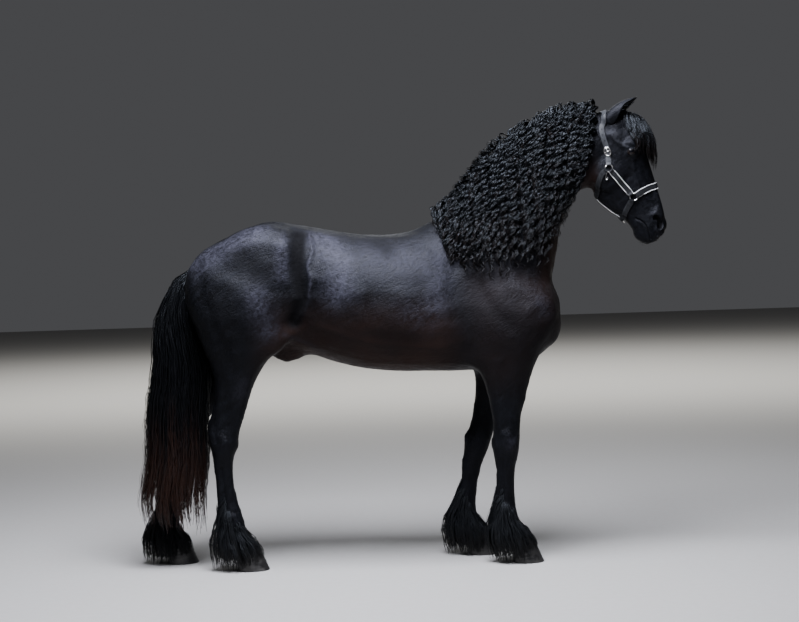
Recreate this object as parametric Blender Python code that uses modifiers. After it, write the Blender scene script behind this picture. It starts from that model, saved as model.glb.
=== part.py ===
"""A Friesian stallion standing on all four feet, life size, wearing a plain head collar.

Metres, +Z up. The horse faces +X, its left side is +Y, and the floor is at z = 0. Sizes are
written in a working frame whose x = 0 lies under the middle of the back. At the end everything
is moved so that the origin is the centre of the model's footprint, on the floor.

Each fleshy form is a stack of oval slices. The stacks are fused, relaxed so that muscles run
into each other, thinned to a light mesh, and parted into body regions by thin flat cuts.
"""

import math
import random
from collections import namedtuple

import bmesh
import bpy
import numpy as np
from mathutils import Matrix, Vector
from mathutils.bvhtree import BVHTree
from mathutils.kdtree import KDTree

GAP = 0.0004  # between two pieces that touch
CLEARANCE = 0.0003  # between a lock or strap and the nodes that it passes
EASE = 0.0002  # how far corners on the same spot are drawn apart
FLESH_VOXEL = 0.008
HEAD_VOXEL = 0.0045
FLESH_TRIANGLES = 3000
HEAD_TRIANGLES = 1000
RING_POINTS = 28
BLACK_COAT = (0.012, 0.012, 0.014)
BLACK_HAIR = (0.010, 0.009, 0.010)
HORN = (0.030, 0.028, 0.027)
STRAP = (0.015, 0.016, 0.018)
NICKEL = (0.72, 0.71, 0.68)

# An oval slice through a form. a and b are its two ends in the XZ plane: top and bottom, or
# front and back. level is how far from a to b it is widest, side is the y of its middle, half
# its half width there, and na and nb say how square its a and b halves are (2 is an ellipse).
Slice = namedtuple("Slice", "ax az bx bz side half level na nb")


def upright(x, top, bottom, half, widest, n_top=2.0, n_bottom=2.0):
    """A slice across the trunk at x."""
    level = (top - widest) / (top - bottom)
    return Slice(x, top, x, bottom, 0.0, half, level, n_top, n_bottom)


def level_cut(z, front, back, side, half, n_front=2.0, n_back=2.0):
    """A level slice through a leg at height z."""
    return Slice(front, z, back, z, side, half, 0.5, n_front, n_back)


TRUNK = [
    upright(-0.975, 1.415, 1.270, 0.060, 1.34),
    upright(-0.915, 1.475, 1.130, 0.150, 1.32),
    upright(-0.820, 1.532, 1.030, 0.215, 1.32, 2.0, 2.0),
    upright(-0.700, 1.583, 0.995, 0.258, 1.33, 2.1, 2.1),
    upright(-0.595, 1.609, 1.000, 0.272, 1.36, 2.2, 2.1),
    upright(-0.470, 1.594, 0.995, 0.250, 1.31, 2.2, 2.1),
    upright(-0.340, 1.565, 0.950, 0.272, 1.25, 2.1, 2.1),
    upright(-0.190, 1.540, 0.906, 0.297, 1.20, 2.0, 2.1),
    upright(-0.030, 1.532, 0.886, 0.306, 1.17, 1.9, 2.1),
    upright(0.090, 1.556, 0.882, 0.296, 1.15, 1.75, 2.1),
    upright(0.200, 1.612, 0.880, 0.274, 1.13, 1.55, 2.2),
    upright(0.300, 1.630, 0.879, 0.250, 1.12, 1.45, 2.2),
    upright(0.420, 1.590, 0.880, 0.232, 1.12, 1.5, 2.2),
    upright(0.540, 1.490, 0.890, 0.222, 1.12, 1.7, 2.1),
    upright(0.640, 1.380, 0.932, 0.198, 1.14, 1.9, 2.0),
    upright(0.710, 1.290, 0.995, 0.150, 1.15, 2.0, 2.0),
    upright(0.750, 1.225, 1.060, 0.080, 1.15),
]

# The neck, from inside the shoulder to inside the skull. a is the crest, b the underside.
NECK = [
    Slice(0.130, 1.560, 0.560, 1.080, 0.0, 0.150, 0.55, 1.8, 2.0),
    Slice(0.235, 1.625, 0.665, 1.220, 0.0, 0.172, 0.58, 1.7, 2.0),
    Slice(0.330, 1.725, 0.728, 1.330, 0.0, 0.165, 0.58, 1.6, 2.0),
    Slice(0.430, 1.845, 0.752, 1.450, 0.0, 0.142, 0.58, 1.6, 2.0),
    Slice(0.545, 1.950, 0.776, 1.560, 0.0, 0.120, 0.56, 1.6, 2.1),
    Slice(0.680, 2.028, 0.812, 1.648, 0.0, 0.106, 0.55, 1.7, 2.1),
    Slice(0.820, 2.062, 0.862, 1.700, 0.0, 0.096, 0.52, 1.8, 2.1),
    Slice(0.930, 2.068, 0.925, 1.735, 0.0, 0.088, 0.48, 1.9, 2.0),
    Slice(1.010, 2.060, 1.000, 1.800, 0.0, 0.078, 0.45, 2.0, 2.0),
]

# The hind leg that stands under the body: the right one, on the -Y side. side is measured
# outwards from the middle plane.
HIND = [
    level_cut(1.500, -0.520, -0.880, 0.095, 0.085),
    level_cut(1.420, -0.480, -0.958, 0.118, 0.125),
    level_cut(1.310, -0.470, -0.990, 0.132, 0.150, 2.0, 2.2),
    level_cut(1.200, -0.482, -0.972, 0.138, 0.154, 2.0, 2.2),
    level_cut(1.110, -0.508, -0.942, 0.140, 0.146, 2.0, 2.1),
    level_cut(1.030, -0.556, -0.914, 0.140, 0.127),
    level_cut(0.965, -0.604, -0.888, 0.140, 0.108),
    level_cut(0.905, -0.645, -0.868, 0.138, 0.091),
    level_cut(0.850, -0.674, -0.862, 0.136, 0.077),
    level_cut(0.780, -0.700, -0.870, 0.133, 0.063),
    level_cut(0.715, -0.722, -0.888, 0.130, 0.052, 2.0, 1.8),
    level_cut(0.660, -0.742, -0.901, 0.128, 0.049, 2.2, 1.8),
    level_cut(0.600, -0.760, -0.897, 0.126, 0.055, 2.4, 1.9),
    level_cut(0.550, -0.773, -0.886, 0.124, 0.054, 2.4, 2.0),
    level_cut(0.500, -0.784, -0.879, 0.122, 0.044, 2.2, 2.0),
    level_cut(0.445, -0.787, -0.876, 0.120, 0.036),
    level_cut(0.375, -0.780, -0.871, 0.120, 0.034),
    level_cut(0.310, -0.766, -0.866, 0.120, 0.036),
    level_cut(0.255, -0.750, -0.861, 0.120, 0.044, 2.2, 2.0),
    level_cut(0.210, -0.741, -0.853, 0.120, 0.047, 2.2, 2.0),
    level_cut(0.165, -0.727, -0.828, 0.120, 0.041),
    level_cut(0.125, -0.702, -0.800, 0.120, 0.043),
    level_cut(0.090, -0.676, -0.790, 0.120, 0.054, 2.2, 2.0),
    level_cut(0.055, -0.664, -0.786, 0.120, 0.058, 2.2, 2.0),
]

# The fore leg that stands under the shoulder: the right one.
FORE = [
    level_cut(1.330, 0.585, 0.330, 0.115, 0.085),
    level_cut(1.240, 0.672, 0.285, 0.128, 0.108),
    level_cut(1.150, 0.712, 0.255, 0.134, 0.122, 2.2, 2.0),
    level_cut(1.060, 0.700, 0.268, 0.134, 0.122, 2.2, 2.0),
    level_cut(0.980, 0.655, 0.305, 0.134, 0.110),
    level_cut(0.915, 0.625, 0.338, 0.134, 0.097),
    level_cut(0.860, 0.602, 0.362, 0.133, 0.084),
    level_cut(0.805, 0.585, 0.380, 0.132, 0.073),
    level_cut(0.750, 0.566, 0.394, 0.131, 0.064),
    level_cut(0.695, 0.551, 0.403, 0.130, 0.056),
    level_cut(0.640, 0.541, 0.410, 0.129, 0.051, 2.2, 2.0),
    level_cut(0.590, 0.536, 0.412, 0.128, 0.052, 2.4, 2.0),
    level_cut(0.545, 0.534, 0.407, 0.127, 0.055, 2.6, 1.9),
    level_cut(0.500, 0.528, 0.409, 0.126, 0.052, 2.5, 2.0),
    level_cut(0.460, 0.518, 0.416, 0.125, 0.043, 2.3, 2.0),
    level_cut(0.415, 0.510, 0.421, 0.124, 0.035),
    level_cut(0.350, 0.505, 0.417, 0.123, 0.033),
    level_cut(0.290, 0.507, 0.409, 0.122, 0.036),
    level_cut(0.240, 0.512, 0.402, 0.121, 0.044, 2.2, 2.0),
    level_cut(0.200, 0.522, 0.408, 0.120, 0.046, 2.2, 2.0),
    level_cut(0.160, 0.545, 0.438, 0.120, 0.040),
    level_cut(0.125, 0.570, 0.462, 0.120, 0.043),
    level_cut(0.090, 0.592, 0.474, 0.120, 0.056, 2.2, 2.0),
    level_cut(0.055, 0.606, 0.480, 0.120, 0.062, 2.2, 2.0),
]

# How far back the two left legs stand from the right ones, by height: (z, metres back).
LEFT_HIND_BACK = [
    (0.00, 0.366), (0.17, 0.350), (0.26, 0.322), (0.40, 0.278), (0.55, 0.232),
    (0.66, 0.200), (0.80, 0.140), (0.92, 0.082), (1.03, 0.036), (1.15, 0.0), (1.60, 0.0),
]
LEFT_FORE_BACK = [
    (0.00, 0.196), (0.20, 0.182), (0.37, 0.148), (0.54, 0.116), (0.70, 0.066),
    (0.84, 0.022), (0.95, 0.0), (1.60, 0.0),
]

# A hoof, seen from the side: where the right one stands, and its own shape.
Hoof = namedtuple("Hoof", "toe toe_top toe_top_z heel heel_top heel_top_z half side")
FORE_HOOF = Hoof(0.631, 0.589, 0.100, 0.487, 0.482, 0.050, 0.069, 0.120)
HIND_HOOF = Hoof(-0.633, -0.674, 0.097, -0.778, -0.784, 0.048, 0.064, 0.120)

# The head has its own frame: run goes down the face from the poll, out goes forwards from the
# face's axis, and side is +Y. It is turned a little towards the right.
HEAD_TOP = Vector((1.020, 0.0, 2.050))
FACE_TILT = math.radians(18)
HEAD_TURN = math.radians(-4)
TURN_CENTRE = Vector((0.90, 0.0, 1.95))
RUN = Vector((math.sin(FACE_TILT), 0.0, -math.cos(FACE_TILT)))
OUT = Vector((math.cos(FACE_TILT), 0.0, math.sin(FACE_TILT)))


def face_cut(run, front, back, half, level, n_front=2.2, n_back=2.0):
    """A slice across the head, run down its axis, reaching front and back from the axis."""
    middle = HEAD_TOP + RUN * run
    a = middle + OUT * front
    b = middle - OUT * back
    return Slice(a.x, a.z, b.x, b.z, 0.0, half, level, n_front, n_back)


SKULL = [
    face_cut(-0.030, 0.020, 0.060, 0.042, 0.50),
    face_cut(0.000, 0.050, 0.100, 0.064, 0.45),
    face_cut(0.060, 0.080, 0.130, 0.082, 0.40, 2.4),
    face_cut(0.130, 0.092, 0.160, 0.092, 0.34, 2.6),
    face_cut(0.200, 0.094, 0.185, 0.090, 0.32, 2.6),
    face_cut(0.270, 0.091, 0.205, 0.079, 0.36, 2.4),
    face_cut(0.340, 0.088, 0.198, 0.068, 0.38, 2.3),
    face_cut(0.410, 0.085, 0.160, 0.060, 0.42, 2.2),
    face_cut(0.470, 0.081, 0.115, 0.055, 0.45, 2.2),
    face_cut(0.525, 0.074, 0.094, 0.054, 0.48, 2.4),
    face_cut(0.570, 0.056, 0.086, 0.051, 0.50, 2.4),
    face_cut(0.605, 0.030, 0.074, 0.043, 0.50, 2.2),
    face_cut(0.625, 0.002, 0.052, 0.026, 0.50),
]

EYE = (0.195, 0.018, 0.083)  # run, out and side of the eyeball's centre
EYE_RADIUS = 0.0235
NOSTRIL = (0.520, 0.036)
NOSTRIL_RADIUS = 0.0090
MOUTH_CORNER = (0.500, -0.056)
MOUTH_FRONT = (0.598, -0.014)
MOUTH_RADIUS = 0.0036
EAR_ROOT = (0.022, -0.022, 0.058)
EAR_LENGTH = 0.158
EAR_LEAN = math.radians(45)  # above level, pointing forwards
EAR_TURN = math.radians(24)  # how far each cup is turned outwards
EAR_SPLAY = math.radians(9)
EAR_HALF = 0.034
EAR_WALL = 0.0042
EAR_CURL = 0.020
EAR_STEPS = 7
EAR_AROUND = 6
HEAD_PLANE_TOP = (0.952, 2.20)  # the flat cut between head and neck, in x and z
HEAD_PLANE_FOOT = (0.872, 1.690)


def frame_point(run, out, side):
    """The place of a point of the head, in the working frame."""
    return HEAD_TOP + RUN * run + OUT * out + Vector((0.0, side, 0.0))


def head_turn():
    """The head's small turn about the upright line through the poll."""
    centre = Matrix.Translation(TURN_CENTRE)
    return centre @ Matrix.Rotation(HEAD_TURN, 4, "Z") @ centre.inverted()


def smooth_rows(rows, steps):
    """Rows filled in between with a smooth curve through them."""
    table = np.array(rows, float)
    ends = np.vstack([2 * table[0] - table[1], table, 2 * table[-1] - table[-2]])
    filled = []
    for i in range(1, len(ends) - 2):
        p0, p1, p2, p3 = ends[i - 1 : i + 3]
        for t in np.linspace(0, 1, steps, endpoint=False):
            bend = (2 * p0 - 5 * p1 + 4 * p2 - p3) * t * t + (3 * p1 - p0 - 3 * p2 + p3) * t**3
            filled.append(0.5 * (2 * p1 + (p2 - p0) * t + bend))
    filled.append(table[-1])
    return np.array(filled)


def power(value, exponent):
    """value raised to exponent, keeping its sign."""
    return math.copysign(abs(value) ** exponent, value)


def ring_of(row, count):
    """The points of one slice, as vectors."""
    ax, az, bx, bz, side, half, level, na, nb = row
    middle = Vector((ax + (bx - ax) * level, side, az + (bz - az) * level))
    to_a = Vector((ax, side, az)) - middle
    to_b = Vector((bx, side, bz)) - middle
    points = []
    for k in range(count):
        angle = math.tau * k / count
        n = na if math.cos(angle) > 0 else nb
        along = abs(math.cos(angle)) ** (2 / n)
        reach = to_a if math.cos(angle) > 0 else to_b
        across = power(math.sin(angle), 2 / n) * half
        points.append(middle + reach * along + Vector((0.0, across, 0.0)))
    return points


def write_ordered(bm, mesh):
    """Fills mesh from a bmesh, which is freed, with its faces in an order of their own.

    The bmesh tools may hand back the same faces in another order from run to run, and a later
    cut would then split them along other diagonals.
    """
    points = [vert.co.copy() for vert in bm.verts]
    bm.verts.index_update()
    faces = []
    for face in bm.faces:
        loop = [vert.index for vert in face.verts]
        first = loop.index(min(loop))
        faces.append(tuple(loop[first:] + loop[:first]))
    bm.free()
    mesh.clear_geometry()
    mesh.from_pydata(points, [], sorted(faces))
    mesh.update()


def mesh_object(name, bm):
    """A new object in the scene's own collection from a bmesh, which is freed."""
    mesh = bpy.data.meshes.new(name)
    write_ordered(bm, mesh)
    obj = bpy.data.objects.new(name, mesh)
    bpy.context.scene.collection.objects.link(obj)
    return obj


def bridge_rings(bm, rings):
    """Joins closed rings of vertices into a tube with flat ends."""
    for low, high in zip(rings, rings[1:]):
        for k in range(len(low)):
            j = (k + 1) % len(low)
            bm.faces.new((low[k], low[j], high[j], high[k]))
    bm.faces.new(rings[0][::-1])
    bm.faces.new(rings[-1])


def loft(name, rows, steps=4, count=RING_POINTS):
    """A closed form through a stack of slices."""
    bm = bmesh.new()
    rings = [[bm.verts.new(p) for p in ring_of(row, count)] for row in smooth_rows(rows, steps)]
    bridge_rings(bm, rings)
    bmesh.ops.recalc_face_normals(bm, faces=bm.faces)
    return mesh_object(name, bm)


def muscle(name, centre, radii, lean=0.0, swing=0.0):
    """An ellipsoid. lean turns it about Y and swing about Z, in degrees."""
    bm = bmesh.new()
    turn = Matrix.Rotation(math.radians(swing), 4, "Z") @ Matrix.Rotation(math.radians(lean), 4, "Y")
    size = Matrix.Diagonal((*radii, 1.0))
    place = Matrix.Translation(centre) @ turn @ size
    bmesh.ops.create_uvsphere(bm, u_segments=24, v_segments=16, radius=1.0, matrix=place)
    return mesh_object(name, bm)


def on_leg(rows, back, mirror):
    """A leg's slices on its own side, moved back by the table of heights."""
    heights = [z for z, _ in back]
    shifts = [shift for _, shift in back]
    placed = []
    for row in rows:
        shift = float(np.interp(row.az, heights, shifts))
        placed.append(row._replace(ax=row.ax - shift, bx=row.bx - shift, side=row.side * mirror))
    return placed


def back_of(table, z):
    """How far back a left leg stands at height z."""
    return float(np.interp(z, [row[0] for row in table], [row[1] for row in table]))


RIGHT, LEFT = -1, 1
NO_SHIFT = [(0.0, 0.0), (2.0, 0.0)]
LEGS = {
    "fore_right": (FORE, NO_SHIFT, RIGHT, FORE_HOOF),
    "fore_left": (FORE, LEFT_FORE_BACK, LEFT, FORE_HOOF),
    "hind_right": (HIND, NO_SHIFT, RIGHT, HIND_HOOF),
    "hind_left": (HIND, LEFT_HIND_BACK, LEFT, HIND_HOOF),
}


def body_masses():
    """Every fleshy form of the body but the head, overlapping one another."""
    forms = [loft("trunk", TRUNK), loft("neck_form", NECK)]
    for name, (rows, back, mirror, _) in LEGS.items():
        forms.append(loft(name, on_leg(rows, back, mirror)))
    for side in (RIGHT, LEFT):
        forms += [
            muscle("croup", (-0.66, side * 0.115, 1.438), (0.240, 0.145, 0.140), -18),
            muscle("hip", (-0.530, side * 0.205, 1.455), (0.095, 0.052, 0.070), 0),
            muscle("thigh", (-0.70, side * 0.205, 1.220), (0.190, 0.100, 0.185), -20),
            muscle("buttock", (-0.890, side * 0.110, 1.255), (0.095, 0.088, 0.170), -10),
            muscle("stifle", (-0.585, side * 0.190, 1.075), (0.085, 0.062, 0.110), 30),
            muscle("shoulder_blade", (0.400, side * 0.150, 1.350), (0.120, 0.080, 0.260), -28),
            muscle("shoulder_point", (0.635, side * 0.145, 1.150), (0.095, 0.082, 0.125), 0),
            muscle("upper_arm", (0.455, side * 0.185, 1.085), (0.185, 0.068, 0.105), -28),
            muscle("breast", (0.675, side * 0.075, 1.085), (0.078, 0.078, 0.115), 0),
            muscle("elbow", (0.345, side * 0.165, 0.955), (0.055, 0.050, 0.060), 0),
        ]
    forms.append(muscle("sheath", (-0.520, 0.0, 1.010), (0.100, 0.056, 0.072), -8))
    for name, (_, back, mirror, hoof) in LEGS.items():
        forms += joint_bumps(name, back, mirror, hoof)
    return forms


def joint_bumps(name, back, mirror, hoof):
    """The bony points and tendons that shape a knee or hock and a fetlock."""
    side = hoof.side * mirror
    if name.startswith("fore"):
        bumps = [
            ("knee_back", 0.560, 0.418, (0.022, 0.020, 0.030)),
            ("knee_front", 0.560, 0.500, (0.034, 0.050, 0.036)),
            ("knee_low", 0.515, 0.495, (0.032, 0.047, 0.028)),
            ("tendon", 0.360, 0.432, (0.014, 0.017, 0.120)),
            ("fetlock", 0.222, 0.455, (0.050, 0.048, 0.036)),
            ("ergot", 0.205, 0.417, (0.020, 0.034, 0.026)),
        ]
        forearm = muscle("forearm", (0.505, side * 1.16, 0.800), (0.070, 0.060, 0.120), -4)
        return [forearm] + [bump_at(b, back, side) for b in bumps]
    bumps = [
        ("hock_point", 0.655, -0.888, (0.020, 0.024, 0.042)),
        ("hock_front", 0.585, -0.790, (0.034, 0.052, 0.044)),
        ("hock_low", 0.535, -0.822, (0.046, 0.050, 0.034)),
        ("tendon", 0.390, -0.860, (0.014, 0.017, 0.130)),
        ("fetlock", 0.228, -0.800, (0.050, 0.048, 0.038)),
        ("ergot", 0.212, -0.844, (0.020, 0.034, 0.026)),
    ]
    return [bump_at(b, back, side) for b in bumps]


def bump_at(bump, back, side):
    """One named bump of a leg, moved back with the leg."""
    label, z, x, radii = bump
    return muscle(label, (x - back_of(back, z), side, z), radii)


def apply_modifiers(obj):
    """Replaces an object's mesh by the mesh that its modifiers make."""
    graph = bpy.context.evaluated_depsgraph_get()
    mesh = bpy.data.meshes.new_from_object(obj.evaluated_get(graph))
    obj.modifiers.clear()
    old = obj.data
    obj.data = mesh
    bpy.data.meshes.remove(old)


def join(name, objects):
    """One object that holds the meshes of several, which are removed."""
    bm = bmesh.new()
    for obj in objects:
        bm.from_mesh(obj.data)
        remove(obj)
    return mesh_object(name, bm)


def remove(obj):
    """Takes an object and its mesh out of the file."""
    mesh = obj.data
    bpy.data.objects.remove(obj)
    bpy.data.meshes.remove(mesh)


def fuse(obj, voxel):
    """Makes one closed skin round all the overlapping forms of an object."""
    remesh = obj.modifiers.new("fuse", "REMESH")
    remesh.mode = "VOXEL"
    remesh.voxel_size = voxel
    remesh.adaptivity = 0.0
    apply_modifiers(obj)


def coordinates(mesh):
    """The mesh's vertices as an array."""
    flat = np.empty(len(mesh.vertices) * 3, np.float64)
    mesh.vertices.foreach_get("co", flat)
    return flat.reshape(-1, 3)


def relax(obj, rounds, fill, wear):
    """Smooths a mesh, filling its creases by fill and wearing its ridges down by wear.

    fill and wear are shares of the way to each vertex's neighbours' mean, for each vertex.
    """
    mesh = obj.data
    points = coordinates(mesh)
    ends = np.empty(len(mesh.edges) * 2, np.int64)
    mesh.edges.foreach_get("vertices", ends)
    ends = ends.reshape(-1, 2)
    start = np.concatenate([ends[:, 0], ends[:, 1]])
    other = np.concatenate([ends[:, 1], ends[:, 0]])
    count = np.bincount(start, minlength=len(points))
    for _ in range(rounds):
        mesh.vertices.foreach_set("co", points.ravel())
        mesh.update()
        normals = np.empty(len(points) * 3, np.float64)
        mesh.vertex_normals.foreach_get("vector", normals)
        normals = normals.reshape(-1, 3)
        mean = np.stack(
            [np.bincount(start, points[other, k], len(points)) / count for k in range(3)], axis=1
        )
        step = mean - points
        outwards = (step * normals).sum(axis=1) > 0
        points = points + step * np.where(outwards, fill(points), wear(points))[:, None]
    mesh.vertices.foreach_set("co", points.ravel())
    mesh.update()


def thin(obj, triangles):
    """Collapses a mesh to about this many triangles."""
    faces = sum(len(p.vertices) - 2 for p in obj.data.polygons)
    decimate = obj.modifiers.new("thin", "DECIMATE")
    decimate.ratio = min(1.0, triangles / faces)
    apply_modifiers(obj)


def ramp(values, low, high):
    """0 below low, 1 above high, and a smooth rise between."""
    t = np.clip((values - low) / (high - low), 0, 1)
    return t * t * (3 - 2 * t)


def body_flesh():
    """The whole body from poll to coronets as one light closed mesh."""
    body = join("body_flesh", body_masses())
    fuse(body, FLESH_VOXEL)
    relax(
        body,
        60,
        lambda p: 0.07 + 0.60 * ramp(p[:, 2], 0.66, 1.00),
        lambda p: 0.055 + 0.36 * ramp(p[:, 2], 0.70, 1.05),
    )
    thin(body, FLESH_TRIANGLES)
    return body


def head_point(run, out, side):
    """A head point as a tuple, for placing forms before the head's turn."""
    return tuple(frame_point(run, out, side))


def along_face(name, run, out, side, radii, lean=0.0, swing=0.0):
    """An ellipsoid on the head. Its radii are along run, out and side, and lean tips it."""
    centre = head_point(run, out, side)
    size = (radii[1], radii[2], radii[0])
    return muscle(name, centre, size, -math.degrees(FACE_TILT) + lean, swing)


def head_masses():
    """The forms that make up the skull, cheeks, muzzle and throat, overlapping."""
    forms = [loft("skull", SKULL), loft("neck_end", NECK[4:])]
    for side in (RIGHT, LEFT):
        forms += [
            along_face("brow", 0.160, 0.030, side * 0.078, (0.040, 0.040, 0.026), 20),
            along_face("orbit", 0.196, 0.020, side * 0.078, (0.036, 0.036, 0.026)),
            along_face("temple", 0.115, -0.010, side * 0.078, (0.050, 0.022, 0.016), -38),
            along_face("cheek", 0.245, -0.098, side * 0.052, (0.105, 0.098, 0.036)),
            along_face("cheek_crest", 0.305, 0.000, side * 0.060, (0.100, 0.012, 0.012), 4),
            along_face("jaw", 0.380, -0.115, side * 0.028, (0.110, 0.030, 0.022), -22),
            along_face("nose_side", 0.420, 0.055, side * 0.026, (0.130, 0.026, 0.018)),
            along_face("nostril_wing", 0.508, 0.036, side * 0.040, (0.048, 0.034, 0.024), 14),
            along_face("nostril_rim", 0.520, 0.010, side * 0.044, (0.030, 0.018, 0.016), 10),
            along_face("upper_lip", 0.570, 0.018, side * 0.026, (0.042, 0.036, 0.030)),
            along_face("lip_side", 0.545, -0.022, side * 0.034, (0.046, 0.026, 0.022), -30),
            along_face("ear_mound", 0.018, 0.004, side * 0.048, (0.040, 0.044, 0.030)),
        ]
    forms += [
        along_face("chin", 0.566, -0.068, 0.0, (0.036, 0.026, 0.032), -12),
        along_face("lower_lip", 0.596, -0.040, 0.0, (0.022, 0.034, 0.030), -20),
        along_face("nose_tip", 0.545, 0.040, 0.0, (0.050, 0.034, 0.040)),
    ]
    return forms


def slot_cutter(name, points, radius):
    """A round rod through a few points, as a cutter for a groove."""
    curve = bpy.data.curves.new(name, "CURVE")
    curve.dimensions = "3D"
    curve.bevel_depth = radius
    curve.bevel_resolution = 0
    curve.use_fill_caps = True
    spline = curve.splines.new("POLY")
    spline.points.add(len(points) - 1)
    for slot, point in zip(spline.points, points):
        slot.co = (*point, 1.0)
    return curve_to_mesh(name, curve)


def curve_to_mesh(name, curve):
    """A mesh object made from a curve, which is removed, with its caps welded on."""
    holder = bpy.data.objects.new(name, curve)
    bpy.context.scene.collection.objects.link(holder)
    graph = bpy.context.evaluated_depsgraph_get()
    bm = bmesh.new()
    bm.from_mesh(bpy.data.meshes.new_from_object(holder.evaluated_get(graph)))
    bpy.data.objects.remove(holder)
    bmesh.ops.remove_doubles(bm, verts=bm.verts, dist=1e-5)
    bmesh.ops.recalc_face_normals(bm, faces=bm.faces)
    return mesh_object(name, bm)


def boolean(obj, others, operation):
    """Unites others with obj, or cuts them from it, and removes them.

    All the meshes are closed, and the MANIFOLD solver gives the same facets on each run.
    """
    group = bpy.data.collections.new("operands")
    bpy.context.scene.collection.children.link(group)
    for other in others:
        for owner in other.users_collection:
            owner.objects.unlink(other)
        group.objects.link(other)
    step = obj.modifiers.new("join", "BOOLEAN")
    step.operation = operation
    step.operand_type = "COLLECTION"
    step.collection = group
    step.solver = "MANIFOLD"
    apply_modifiers(obj)
    for other in others:
        remove(other)
    bpy.data.collections.remove(group)


def on_cheek(ground, run, out, side):
    """The place on one side of the head at run and out."""
    aim = frame_point(run, out, side * 0.20)
    place, _, _, _ = ground.tree.ray_cast(aim, Vector((0.0, -side, 0.0)))
    return place


def mouth_groove(ground, side):
    """The line of the lips on one side, from its corner to the front."""
    points = []
    for t in np.linspace(0, 1, 6):
        run = MOUTH_CORNER[0] + (MOUTH_FRONT[0] - MOUTH_CORNER[0]) * t
        out = MOUTH_CORNER[1] + (MOUTH_FRONT[1] - MOUTH_CORNER[1]) * t
        points.append(on_cheek(ground, run + 0.006 * math.sin(math.pi * t), out, side))
    points.append(frame_point(MOUTH_FRONT[0] + 0.022, MOUTH_FRONT[1] + 0.004, 0.0))
    return slot_cutter("mouth", points, MOUTH_RADIUS)


def nostril_cut(ground, side):
    """A comma-shaped opening, wide below and curling up and back at its top."""
    comma = []
    for along, across, inwards in ((-0.026, -0.016, 0.001), (-0.015, -0.003, 0.003), (0.002, 0.004, 0.004),
                                   (0.018, 0.002, 0.004)):
        place = on_cheek(ground, NOSTRIL[0] + along, NOSTRIL[1] + across, side)
        comma.append(place - Vector((0.0, side * inwards, 0.0)))
    return slot_cutter("nostril", comma, NOSTRIL_RADIUS)


def head_flesh():
    """The head and throat as one light closed mesh, with nostrils, lips and eye sockets."""
    head = join("head_flesh", head_masses())
    fuse(head, HEAD_VOXEL)
    relax(head, 16, lambda p: np.full(len(p), 0.42), lambda p: np.full(len(p), 0.26))
    thin(head, HEAD_TRIANGLES)
    face = Ground([head])
    cutters = []
    for side in (RIGHT, LEFT):
        cutters.append(mouth_groove(face, side))
        cutters.append(nostril_cut(face, side))
        cutters.append(eye_form("socket", side, EYE_RADIUS + GAP))
    boolean(head, lid_forms(), "UNION")
    boolean(head, cutters, "DIFFERENCE")
    keep_largest(head)
    head.data.transform(head_turn())
    return head


def eye_form(name, side, radius):
    """An eyeball on one side."""
    bm = bmesh.new()
    place = Matrix.Translation(frame_point(EYE[0], EYE[1], side * EYE[2]))
    bmesh.ops.create_uvsphere(bm, u_segments=12, v_segments=8, radius=radius, matrix=place)
    return mesh_object(name, bm)


def lid_forms():
    """Upper and lower lids: tapered rolls that follow the rim of each eyeball."""
    lids = []
    for side in (RIGHT, LEFT):
        for label, lift, thick in (("upper_lid", 1.0, 0.0062), ("lower_lid", -1.0, 0.0046)):
            points = []
            for t in np.linspace(-1, 1, 6):
                run = EYE[0] - lift * 0.0135 * (1 - t * t)
                out = EYE[1] + 0.0245 * t
                depth = EYE_RADIUS**2 - (run - EYE[0]) ** 2 - (0.92 * (out - EYE[1])) ** 2
                reach = EYE[2] + math.sqrt(max(depth, 0.00003)) * 0.97
                points.append(frame_point(run, out, side * reach))
            lids.append(tapered_rod(label, points, thick))
    return lids


def tapered_rod(name, points, radius, sides=4):
    """A rod through points that thins to a third at each end."""
    bm = bmesh.new()
    rings = []
    for i, point in enumerate(points):
        ahead = points[min(i + 1, len(points) - 1)] - points[max(i - 1, 0)]
        turn = ahead.to_track_quat("Z", "Y").to_matrix()
        t = 2 * i / (len(points) - 1) - 1
        size = radius * (1 - 0.66 * t * t)
        ring = []
        for k in range(sides):
            angle = math.tau * k / sides
            ring.append(bm.verts.new(point + turn @ Vector((math.cos(angle), math.sin(angle), 0)) * size))
        rings.append(ring)
    bridge_rings(bm, rings)
    bmesh.ops.recalc_face_normals(bm, faces=bm.faces)
    return mesh_object(name, bm)


def keep_largest(obj):
    """Keeps only the largest closed surface of a mesh."""
    bm = bmesh.new()
    bm.from_mesh(obj.data)
    bm.verts.ensure_lookup_table()
    seen = set()
    best = []
    for start in bm.verts:
        if start.index in seen:
            continue
        seen.add(start.index)
        island, queue = [], [start]
        while queue:
            vert = queue.pop()
            island.append(vert)
            for edge in vert.link_edges:
                other = edge.other_vert(vert)
                if other.index not in seen:
                    seen.add(other.index)
                    queue.append(other)
        if span(island) > span(best):
            best = island
    kept = {vert.index for vert in best}
    bmesh.ops.delete(bm, geom=[v for v in bm.verts if v.index not in kept], context="VERTS")
    write_ordered(bm, obj.data)


def span(verts):
    """The diagonal of a group of vertices."""
    if not verts:
        return 0.0
    points = np.array([v.co for v in verts])
    return float(np.linalg.norm(points.max(0) - points.min(0)))


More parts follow.
